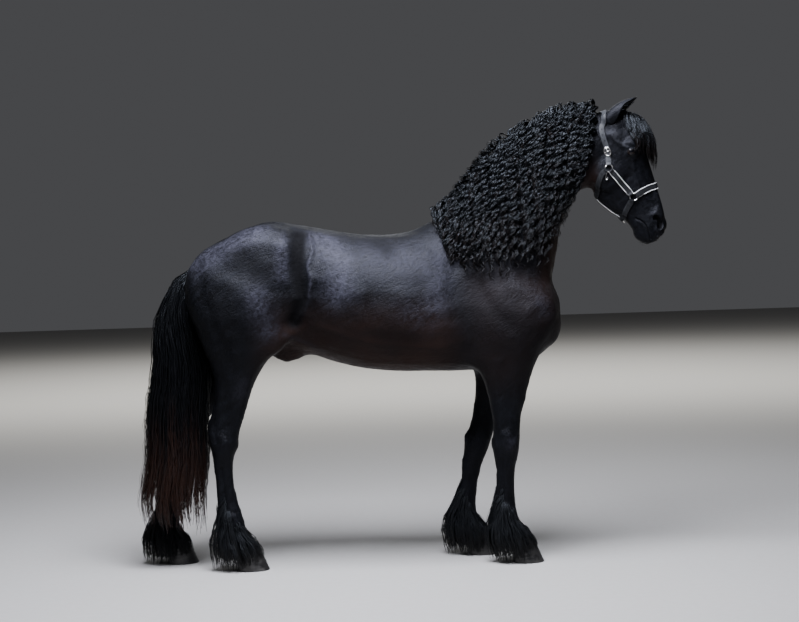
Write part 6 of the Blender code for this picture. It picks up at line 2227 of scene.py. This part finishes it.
@dataclass
class Hooves:
    """Four hooves, each with growth rings, a coronet and a flat sole."""

    around: int = 56
    steps: int = 22
    crown: tuple = ((0.96, 0.004), (0.80, 0.006), (0.0001, 0.006))
    sole: tuple = ((0.0001, 0.006), (0.70, 0.006), (0.86, 0.0), (0.985, 0.0))

    def build(self, leg: Leg, material: Material) -> Object:
        """The hoof of one leg.

        Args:
            leg: The leg.
            material: The horn.

        Returns:
            The piece.
        """
        hoof = leg.hoof
        shift = leg.behind(0.05)
        side = hoof.side * leg.mirror
        rings = []
        for t in np.linspace(0, 1, self.steps):
            toe = hoof.toe + (hoof.toe_top - hoof.toe) * t
            heel = hoof.heel + (hoof.heel_top - hoof.heel) * t
            ridge = 0.0009 * math.sin(t * 34.0) * (0.3 + 0.7 * t)
            half = hoof.half * (1 - 0.13 * t) + ridge
            ends = (toe - shift + ridge, hoof.toe_top_z * t, heel - shift - ridge, hoof.heel_top_z * t)
            rings.append(ring_of((*ends, side, half, 0.52, 2.1, 2.6), self.around))
        rings = np.array(rings)
        top, base = rings[-1].mean(axis=0), rings[0].mean(axis=0)
        caps = [top + (rings[-1] - top) * share + np.array((0, 0, rise)) for share, rise in self.crown]
        sole = [base + (rings[0] - base) * share + np.array((0, 0, rise)) for share, rise in self.sole]
        rings[0, :, 2] += 0.002
        made = ring_form(f"hoof_horn_{leg.name}", np.concatenate([np.array(sole), rings, np.array(caps)]))
        edit(made, (bpy.ops.mesh.remove_doubles, {"threshold": 0.00005}), OUTWARDS)
        return dress(made, material)


@dataclass(frozen=True)
class RingShape:
    """How a ring is drawn: its radius, how long it is for its width, and how square."""

    radius: float
    oval: float = 1.0
    square: float = 2.0

    def curve(self, angle: Array) -> Array:
        """The wire's middle line, as rows of along and across."""
        c, s = np.cos(angle), np.sin(angle)
        reach = self.radius * (np.abs(c) ** self.square + np.abs(s) ** self.square) ** (-1 / self.square)
        return np.stack([c * reach * self.oval, s * reach], axis=-1)


@dataclass(frozen=True)
class Fitted:
    """A ring in its place: its shape, its centre, and the ways along, across and out of it."""

    shape: RingShape
    centre: Vector
    along: Vector
    across: Vector
    normal: Vector

    def wire(self, ahead: Array, aside: Array, offsets: Array) -> Array:
        """How far the wire lies from the centre.

        Args:
            ahead: The way that a strap leaves the ring.
            aside: The way across that strap.
            offsets: Places across the strap.

        Returns:
            The distance at each place.
        """
        flat = self.shape.curve(np.linspace(0, math.tau, 361))
        line = flat[:, :1] * np.array(self.along) + flat[:, 1:] * np.array(self.across)
        line = line[line @ ahead > 0]
        order = np.argsort(line @ aside)
        return np.interp(offsets, (line @ aside)[order], (line @ ahead)[order])


@dataclass
class HeadCollar:
    """A black head collar with pale piping, nickel rings and buckles."""

    bed: Bed
    looks: dict = field(default_factory=dict)
    thick: float = 0.0036
    lift: float = 0.0022
    gap: float = CUT_GAP
    width: float = 0.025
    nose_width: float = 0.027
    jaw_width: float = 0.018
    nose_ring: tuple = (0.394, -0.040)
    throat_ring: tuple = (0.232, -0.104)
    buckle: tuple = (0.157, -0.082)
    chin_ring: tuple = (0.478, -0.124)
    jaw_back: tuple = (0.330, -0.205)
    nose_bridge: tuple = (0.380, 0.090)
    cheek_top: tuple = (0.050, -0.072)
    crown: tuple = (-0.042, -0.036)
    poll: tuple = (-0.085, -0.044)
    ring_radius: float = 0.0168
    ring_wire: float = 0.0028
    ring_gap: float = 0.014  # from a ring's middle to the end of its strap
    buckle_share: float = 0.85
    buckle_oval: float = 1.38
    piping: float = 0.0015
    thin_piping: float = 0.0008
    flap: float = 0.0015
    flap_reach: float = 0.019
    narrow: float = 0.84
    nose_square: float = 3.0
    holes: tuple = (0.118, 0.146, 0.174)
    hook: tuple = (
        (0.240, -0.116), (0.252, -0.123), (0.263, -0.129), (0.272, -0.134), (0.278, -0.130), (0.275, -0.124),
        (0.268, -0.124),
    )
    hook_lift: float = 0.0075
    hook_wire: float = 0.0014
    lines: int = 9  # across each strap
    step: float = 0.006  # along each strap

    def side_spot(self, run: float, out: float, side: int, lift: float) -> tuple[Vector, Vector]:
        """A place on one cheek.

        Args:
            run: How far down the face.
            out: How far in front of the face's axis.
            side: Which cheek.
            lift: How far above the skin.

        Returns:
            The place and the normal there.
        """
        aim, centre = turned(run, out, side * 0.20), turned(run, out, 0.0)
        place, _, face, _ = self.bed.tree.ray_cast(aim, (centre - aim).normalized())
        normal = self.bed.smooth_normal(face, place)
        return place + normal * lift, normal

    def laid(self, points: list[Vector], count: int, start: float, end: float) -> tuple[Array, Array]:
        """Evenly spaced points along a line laid on the head.

        Args:
            points: The line's corners.
            count: How many points.
            start: How far from the line's beginning the first one lies.
            end: How far from the line's end the last one lies.

        Returns:
            The points and the normals there.
        """
        line = smooth_rows(rows_of(points), 10)
        table = rows_of([self.bed.at_height(Vector(row), self.lift) for row in line])
        total = run_of(table)
        spots, normals = [], []
        for s in np.linspace(start, total[-1] - end, count):
            here = Vector([float(np.interp(s, total, table[:, k])) for k in range(3)])
            place, normal, _ = self.bed.near(here)
            spots.append(place + normal * self.lift)
            normals.append(normal)
        spots, normals = rows_of(spots), rows_of(normals)
        for _ in range(3):
            for rows in (spots, normals):
                rows[1:-1] = (rows[:-2] + 2 * rows[1:-1] + rows[2:]) / 4
        return spots, unit(normals)

    def strap(
        self, name: str, points: list[Vector], start: float, end: float, width: float, held: tuple
    ) -> list[Object]:
        """A padded strap, folded round the rings at its ends; cheek, nose and jaw straps have piping along
        their edges.

        Args:
            name: The strap's name.
            points: The way that it takes.
            start: How far from the first point it begins.
            end: How far from the last point it ends.
            width: Its width.
            held: The rings at its first and last end, or None.

        Returns:
            The strap, with its folds, eyelets and piping where it has them.
        """
        length = sum((b - a).length for a, b in zip(points, points[1:]))
        count = max(10, int(length / self.step))
        spots, normals = self.laid(points, count, start, end)
        ahead = unit(np.gradient(spots, axis=0))
        across = unit(np.cross(normals, ahead))
        up = unit(np.cross(ahead, across))
        run = run_of(spots)
        near_end = ramp(np.minimum(run, run[-1] - run), 0.0, 0.016)[:, None]
        half = width / 2 * (self.narrow + (1 - self.narrow) * near_end)
        places = np.linspace(-1, 1, self.lines)
        rails = [spots + across * half * u for u in places]
        edge = np.array([rows_of([self.bed.clear(Vector(p), self.lift) for p in rail]) for rail in rails])
        top = edge + up[None] * (self.thick * (0.72 + 0.28 * np.cos(places * 1.2)))[:, None, None]
        band = ring_form(name, np.concatenate([edge, top[::-1]], axis=0).transpose(1, 0, 2))
        edit(band, FILL, OUTWARDS)
        u = np.linspace(0, 1, self.lines)
        own = np.stack(np.broadcast_arrays(np.concatenate([u, 1 - u])[None], run[:, None]), axis=-1)
        write_map(band.data, STRAND_MAP, own.reshape(-1, 2))
        cloth = self.looks["leather" if name == "crown" else "webbing"]
        pieces = [dress(band, cloth)]
        for ring, turn in zip(held, (1, -1)):
            if ring:
                pieces.append(self.fold(f"{name}_fold", ring, top[:, ::turn], up[::turn], cloth))
        if name == "crown":
            for side, turn in ((NEAR, 1), (FAR, -1)):
                pieces += self.eyelets(top[self.lines // 2, ::turn], up[::turn], run, side)
        piped = name.startswith(("cheek", "noseband", "jaw"))
        radius = self.thin_piping if name == "jaw_strap" else self.piping
        for index in (0, -1) if piped else ():
            rail = (edge[index] + top[index]) / 2 + up * self.thick * 0.25
            pieces.append(self.tube(f"{name}_piping_{abs(index) + 1}", rail, radius, self.looks["piping"]))
        return pieces

    def fold(self, name: str, ring: Fitted, top: Array, up: Array, cloth: Material) -> Object:
        """The end of a strap, folded round a ring's wire and sewn down on the strap.

        Args:
            name: Its name.
            ring: The ring.
            top: The strap's upper side, lines across it by stations from the ring on.
            up: The way out of the strap at each station.
            cloth: Its material.

        Returns:
            The folded cloth.
        """
        normal, centre = np.array(ring.normal), np.array(ring.centre)
        middle_line = top[self.lines // 2]
        ahead = middle_line[3] - centre
        ahead = unit(ahead - normal * (ahead @ normal))
        aside = unit(np.cross(normal, ahead))
        offsets = (top[:, 0] - centre) @ aside
        wire = ring.wire(ahead, aside, offsets)
        bend = self.ring_wire + 0.0004 + self.flap / 2
        angle = np.radians(np.linspace(-75, -305, 12))
        middle = centre + offsets[:, None] * aside + wire[:, None] * ahead
        arc = middle[:, None] + bend * (np.cos(angle)[:, None] * ahead + np.sin(angle)[:, None] * normal)
        away = (middle_line - centre) @ ahead - (wire.max() + 1.9 * bend)
        kept = (away > 0.0) & (away < self.flap_reach)
        laid = (top + up[None] * (self.flap / 2 + 0.0001))[:, kept]
        sheet = np.concatenate([arc, laid], axis=1)
        lines, count = sheet.shape[:2]
        corner = (np.arange(lines - 1)[:, None] * count + np.arange(count - 1)[None]).reshape(-1, 1)
        made = mesh_object(name, sheet.reshape(-1, 3), corner + np.array((0, 1, count + 1, count)))
        steps = np.linalg.norm(np.diff(sheet, axis=1), axis=2)
        run = np.concatenate([np.zeros((lines, 1)), np.cumsum(steps, axis=1)], axis=1)
        own = np.stack(np.broadcast_arrays(np.linspace(0, 1, lines)[:, None], run), axis=-1)
        write_map(made.data, STRAND_MAP, own.reshape(-1, 2))
        activate(made)
        thicken = made.modifiers.new("thicken", "SOLIDIFY")
        thicken.thickness = self.flap
        thicken.offset = 0.0
        bpy.ops.object.modifier_apply(modifier=thicken.name)
        bpy.ops.object.shade_smooth_by_angle(angle=math.radians(50))
        made.data.materials.append(cloth)
        return made

    def eyelets(self, line: Array, up: Array, run: Array, side: Side) -> list[Object]:
        """The holes in the crown strap over one buckle, each with a pressed rim and a near-black disc of
        painted shade.

        Args:
            line: The strap's middle line, from the buckle on.
            up: The way out of the strap at each station.
            run: How far along the strap each station is.
            side: Which buckle.

        Returns:
            The rims, and the discs of painted shade in the holes.
        """
        made = []
        rim = {"major_segments": 20, "minor_segments": 8, "major_radius": 0.0027, "minor_radius": 0.0006}
        # Each hole is a near-black disc: painted shade in place of an opening.
        hole = {"vertices": 20, "radius": 0.0026, "fill_type": "TRIFAN"}
        for number, far in enumerate(self.holes):
            k = int(np.argmin(np.abs(run - far)))
            along, normal = Vector(line[k + 1] - line[k - 1]).normalized(), Vector(up[k]).normalized()
            across = normal.cross(along).normalized()
            turn = Matrix((across.cross(normal), across, normal)).transposed().to_4x4()
            for kind, look, add, sizes in (
                ("rim", "leather", bpy.ops.mesh.primitive_torus_add, rim),
                ("hole", "hole", bpy.ops.mesh.primitive_circle_add, hole),
            ):
                deselect()
                add(**sizes)
                part = bpy.context.object
                part.name = f"strap_hole_{side.label}_{number + 1}_{kind}"
                part.data.transform(Matrix.Translation(Vector(line[k]) + normal * 0.0003) @ turn)
                self.map_plain(part)
                made.append(dress(part, self.looks[look]))
        return made

    def map_plain(self, obj: Object) -> None:
        """Gives a piece an even map of its own in place of any other."""
        while obj.data.uv_layers:
            obj.data.uv_layers.remove(obj.data.uv_layers[0])
        write_map(obj.data, STRAND_MAP, np.zeros((len(obj.data.vertices), 2)))

    def tube(self, name: str, path: Array, radius: float, material: Material) -> Object:
        """A round cord through points.

        Args:
            name: Its name.
            path: The points.
            radius: Its radius.
            material: Its material.

        Returns:
            The cord.
        """
        curve = bpy.data.curves.new(name, "CURVE")
        curve.dimensions = "3D"
        curve.bevel_depth = radius
        curve.bevel_resolution = 2
        curve.use_fill_caps = True
        spline = curve.splines.new("POLY")
        spline.points.add(len(path) - 1)
        spline.points.foreach_set("co", np.concatenate([path, np.ones((len(path), 1))], axis=1).ravel())
        activate(link(name, curve))
        bpy.ops.object.convert(target="MESH")
        cord = bpy.context.object
        edit(cord, (bpy.ops.mesh.remove_doubles, {"threshold": 0.00001}))
        self.map_plain(cord)
        return dress(cord, material)

    def both_sides(self, *spots: tuple) -> list[Vector]:
        """Places of the head from the right over the middle to the left, given on the left."""
        right = [turned(run, out, -side) for run, out, side in spots]
        return right + [turned(*spot) for spot in spots[::-1] if spot[2]]

    def fitted(self, shape: RingShape, centre: Vector, normal: Vector) -> Fitted:
        """Finds a ring's place, its length down the face.

        Args:
            shape: The ring's shape.
            centre: Its centre.
            normal: The way out of the head there.

        Returns:
            The ring in its place.
        """
        across = normal.cross(HEAD_TURN.to_3x3() @ RUN).normalized()
        return Fitted(shape, centre, across.cross(normal).normalized(), across, normal)

    def ring(self, name: str, fitted: Fitted, material: Material) -> Object:
        """A nickel ring that lies flat against the cheek.

        Args:
            name: Its name.
            fitted: Its shape and place.
            material: Its material.

        Returns:
            The ring.
        """
        deselect()
        radius = fitted.shape.radius
        bpy.ops.mesh.primitive_torus_add(
            major_segments=56, minor_segments=12, major_radius=radius, minor_radius=self.ring_wire
        )
        made = bpy.context.object
        made.name = name
        points = coordinates(made.data)
        angle = np.arctan2(points[:, 1], points[:, 0])
        beyond = np.hypot(points[:, 0], points[:, 1]) - radius
        outwards = np.stack([np.cos(angle), np.sin(angle)], axis=1)
        points[:, :2] = fitted.shape.curve(angle) + outwards * beyond[:, None]
        put(made.data, points)
        turn = Matrix((fitted.along, fitted.across, fitted.normal)).transposed().to_4x4()
        made.data.transform(Matrix.Translation(fitted.centre) @ turn)
        return dress(made, material)

    def build(self) -> list[tuple[Object, str]]:
        """Every strap, ring and buckle.

        Returns:
            Each piece with the node that it stands for.
        """
        cloths = {
            "webbing": Webbing("black_webbing"),
            "leather": Webbing("dark_strap", (0.008, 0.0088, 0.0105), (0.018, 0.019, 0.0215), 0.50, 0.32),
            # Painted shade: the near-black discs that fill the strap's holes.
            "hole": Webbing("strap_hole", (0.0008, 0.0008, 0.0009), (0.002, 0.002, 0.0022), 0.9, 0.05),
            "piping": Webbing("pale_piping", (0.62, 0.62, 0.60), (0.42, 0.41, 0.39), 0.5),
            "nickel": Nickel(),
        }
        self.looks = {name: finish.make() for name, finish in cloths.items()}
        on_strap = self.lift + self.thick + self.gap + self.ring_wire
        round_ring = RingShape(self.ring_radius)
        shapes = {"throat": round_ring, "nose": RingShape(self.ring_radius * 0.95, 1.0, self.nose_square)}
        rings, pieces = {}, []
        for side in Side:
            for key, (run, out) in (("throat", self.throat_ring), ("nose", self.nose_ring)):
                rings[key, side] = self.fitted(shapes[key], *self.side_spot(run, out, side, on_strap))
                made = self.ring(f"{key}_ring_{side.label}", rings[key, side], self.looks["nickel"])
                pieces.append((made, f"halter_{key}_ring_{side.label}"))
            buckle = RingShape(self.ring_radius * self.buckle_share, self.buckle_oval)
            rings["buckle", side] = self.fitted(buckle, *self.side_spot(*self.buckle, side, on_strap))
            made = self.make_buckle(side.label, rings["buckle", side])
            pieces.append((made, f"halter_buckle_{side.label}"))
        place, normal, _ = self.bed.near(turned(*self.chin_ring, 0.0))
        chin = self.fitted(round_ring, place + normal * on_strap, normal)
        pieces.append((self.ring("chin_ring", chin, self.looks["nickel"]), "halter_chin_ring"))
        throat, nose = [rings["throat", side] for side in Side], [rings["nose", side] for side in Side]
        poll = ((*self.cheek_top, 0.10), (*self.crown, 0.06))
        over = self.both_sides(*poll, (*self.poll, 0.0))
        bridge = self.both_sides((0.386, 0.040, 0.10), (*self.nose_bridge, 0.03))
        under = self.both_sides((0.250, -0.150, 0.10), (*self.jaw_back, 0.03))
        buckles = [rings["buckle", side].centre for side in Side]
        crown_way = [throat[0].centre, buckles[0], *over, buckles[1], throat[1].centre]
        nose_way = [nose[0].centre, *bridge, nose[1].centre]
        throat_way = [throat[0].centre, *under, throat[1].centre]
        gap = self.ring_gap
        jaw_way = [turned(*self.jaw_back, 0.0), turned(0.402, -0.17, 0.0), chin.centre]
        ways = [
            ("crown", crown_way, gap, gap, self.width, throat),
            ("noseband", nose_way, gap, gap, self.nose_width, nose),
            ("throat_strap", throat_way, gap, gap, self.width, throat),
            ("jaw_strap", jaw_way, self.width / 2 + 0.002, 0.018, self.jaw_width, (None, chin)),
        ]
        for side, upper, lower in zip(Side, throat, nose):
            way = [upper.centre, lower.centre]
            ways.append((f"cheek_{side.label}", way, gap + 0.001, gap, self.width, (upper, lower)))
            way = [lower.centre, turned(0.440, -0.090, side * 0.06), chin.centre]
            ways.append((f"chin_strap_{side.label}", way, gap, gap - 0.001, self.width, (lower, chin)))
        for name, way, start, end, width, held in ways:
            for piece in self.strap(name, way, start, end, width, held):
                pieces.append((piece, f"halter_{name}"))
        spots = [self.side_spot(*spot, NEAR, self.hook_lift)[0] for spot in self.hook]
        hook = self.tube("throat_hook", smooth_rows(rows_of(spots), 4), self.hook_wire, self.looks["nickel"])
        pieces.append((hook, "halter_throat_strap"))
        return pieces

    def make_buckle(self, label: str, fitted: Fitted) -> Object:
        """An oval buckle with its bar and tongue.

        Args:
            label: The side's name.
            fitted: Its shape and place.

        Returns:
            The buckle.
        """
        parts = [self.ring(f"buckle_{label}", fitted, self.looks["nickel"])]
        self.map_plain(parts[0])
        centre, ways = fitted.centre, (fitted.along, fitted.across, fitted.normal)
        for name, radius, spots in (
            ("bar", 0.0020, ((0.0, -0.0140, 0.0), (0.0, 0.0140, 0.0))),
            ("tongue", 0.0017, ((0.0, 0.0, 0.001), (-0.010, 0.0, 0.003), (-0.0195, 0.0, 0.002))),
        ):
            path = rows_of([centre + ways[0] * a + ways[1] * b + ways[2] * h for a, b, h in spots])
            parts.append(self.tube(name, path, radius, self.looks["nickel"]))
        return join(f"buckle_{label}", parts)


HORSE_MIDDLE = (0.0, 0.0, 1.2)


@dataclass
class Studio:
    """The plain floor, the soft light and the camera at the photograph's angle."""

    focal: float = 1400.0  # pixels
    distance: float = 6.56
    height: float = 1.22
    pitch: float = 0.45  # degrees, downwards
    roll: float = -1.8

    def build(self, shift: Vector) -> None:
        """Makes the stage.

        Args:
            shift: From the maker's frame to the frame's.
        """
        deselect()
        bpy.ops.mesh.primitive_plane_add(size=160.0, location=(0, 0, 0))
        floor = bpy.context.object
        floor.name = "floor"
        n = Nodes("pale_floor")
        grain = n.noise(n.place(), 30.0, 4.0)
        stone = n.mix(grain, (0.270, 0.262, 0.246), (0.305, 0.296, 0.278))
        floor.data.materials.append(n.finish(stone, 0.85, (grain, 0.1, 0.002)))
        camera = link("camera", bpy.data.cameras.new("camera"))
        camera.data.sensor_width = SENSOR
        camera.data.lens = SENSOR * self.focal / IMAGE_WIDTH
        place = Matrix.Translation((shift.x, shift.y - self.distance, self.height))
        tilt = Matrix.Rotation(math.radians(90 - self.pitch), 4, "X")
        camera.matrix_world = place @ (tilt @ Matrix.Rotation(math.radians(self.roll), 4, "Z"))
        bpy.context.scene.camera = camera
        world = bpy.data.worlds.new("soft_sky")
        world.use_nodes = True
        sky = world.node_tree.nodes["Background"].inputs
        sky["Color"].default_value = (0.86, 0.87, 0.92, 1.0)
        sky["Strength"].default_value = 0.08
        bpy.context.scene.world = world
        for name, place, aim, size, power, colour in (
            ("sky_panel", (-0.2, -1.45, 4.1), HORSE_MIDDLE, 2.3, 900.0, (0.85, 0.88, 1.0)),
            ("front_panel", (-4.5, -5.5, 3.6), HORSE_MIDDLE, 2.5, 14.0, (1.0, 0.99, 0.97)),
            ("back_panel", (1.0, 4.0, 3.8), HORSE_MIDDLE, 3.0, 55.0, (0.95, 0.97, 1.0)),
            ("far_panel", (0.0, 15.0, 9.0), (0.0, 20.5, 0.0), 16.0, 4600.0, (1.0, 0.995, 0.98)),
        ):
            lamp = link(name, bpy.data.lights.new(name, "AREA"))
            lamp.data.size = size
            lamp.data.energy = power
            lamp.data.color = colour
            lamp.location = place
            lamp.rotation_mode = "QUATERNION"
            lamp.rotation_quaternion = (Vector(aim) - Vector(place)).to_track_quat("-Z", "Y")


FLESH = ["head", "neck", "chest", "barrel", "hindquarters"] + [
    f"{end}_{side.label}_{part}"
    for end, upper in (("fore", "forearm"), ("hind", "gaskin"))
    for side in (FAR, NEAR)
    for part in (upper, "cannon", "pastern")
]


class Horse:
    """The whole dressed horse."""

    def __init__(self) -> None:
        """Finds the move from the maker's frame to the frame's."""
        low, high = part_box("barrel")
        self.shift = Vector((high.x - (CHEST_BACK_X - CUT_GAP / 2), (low.y + high.y) / 2, 0.0))
        self.made: list[tuple[Object, str, list[str]]] = []

    def take(self, piece: Object, slot: str, nodes: list[str]) -> None:
        """Notes a finished piece, a slot for it and the nodes that it stands for."""
        self.made.append((piece, slot, nodes))
        LOG.info("made %s", piece.name)

    def build(self) -> None:
        """Builds every piece and hands it to the frame."""
        coat = ShortCoat().make()
        skin = dress(Skin().build(), coat)
        self.chart(skin)
        self.take(skin, "coat", FLESH)
        bed = Bed(skin)
        self.take(ShortTufts().build(bed, coat), "coat", ["barrel"])
        for piece in Mane().build(bed):
            self.take(piece, "hair", ["neck"])
        self.take(Forelock().build(bed), "hair", ["head"])
        self.take(FaceHair().build(bed), "hair", ["head"])
        for piece in Tail().build(bed):
            self.take(piece, "hair", ["tail"])
        black, soft, tip = (0.0020, 0.0021, 0.0024), (0.0052, 0.0053, 0.0058), (0.0070, 0.0062, 0.0056)
        feather_hair = LongHair("feather_hair", black, soft, tip, roughness=0.50, gloss=0.15).make()
        horn = Horn().make()
        for number, leg in enumerate(LEGS):
            self.take(Feather().build(bed, leg, feather_hair, 51 + number), "hair", [f"{leg.name}_pastern"])
            self.take(Hooves().build(leg, horn), "horn", [f"{leg.name}_hoof"])
        eye = EyeGlass().make()
        for side in Side:
            for piece in Ear().build(side, coat, bed):
                self.take(piece, "coat", [f"ear_{side.label}"])
            self.take(Eye().build(side, eye), "eye", [f"eye_{side.label}"])
        for piece, node in HeadCollar(bed).build():
            self.take(piece, "nickel" if "ring" in node or "buckle" in node else "webbing", [node])
        for piece, slot, nodes in self.made:
            piece.data.transform(Matrix.Translation(self.shift))
            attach(piece, "root")
            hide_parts(*nodes)

    def chart(self, skin: Object) -> None:
        """Unwraps the skin onto the bake map."""
        skin.data.uv_layers.new(name=BAKE_MAP)
        edit(skin, (bpy.ops.uv.smart_project, {"angle_limit": math.radians(75), "island_margin": 0.0008}))


def main() -> None:
    """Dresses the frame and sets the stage."""
    logging.basicConfig(level=logging.INFO, format="%(name)s: %(message)s")
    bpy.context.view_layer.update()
    horse = Horse()
    horse.build()
    Studio().build(horse.shift)


if __name__ == "__main__":
    main()
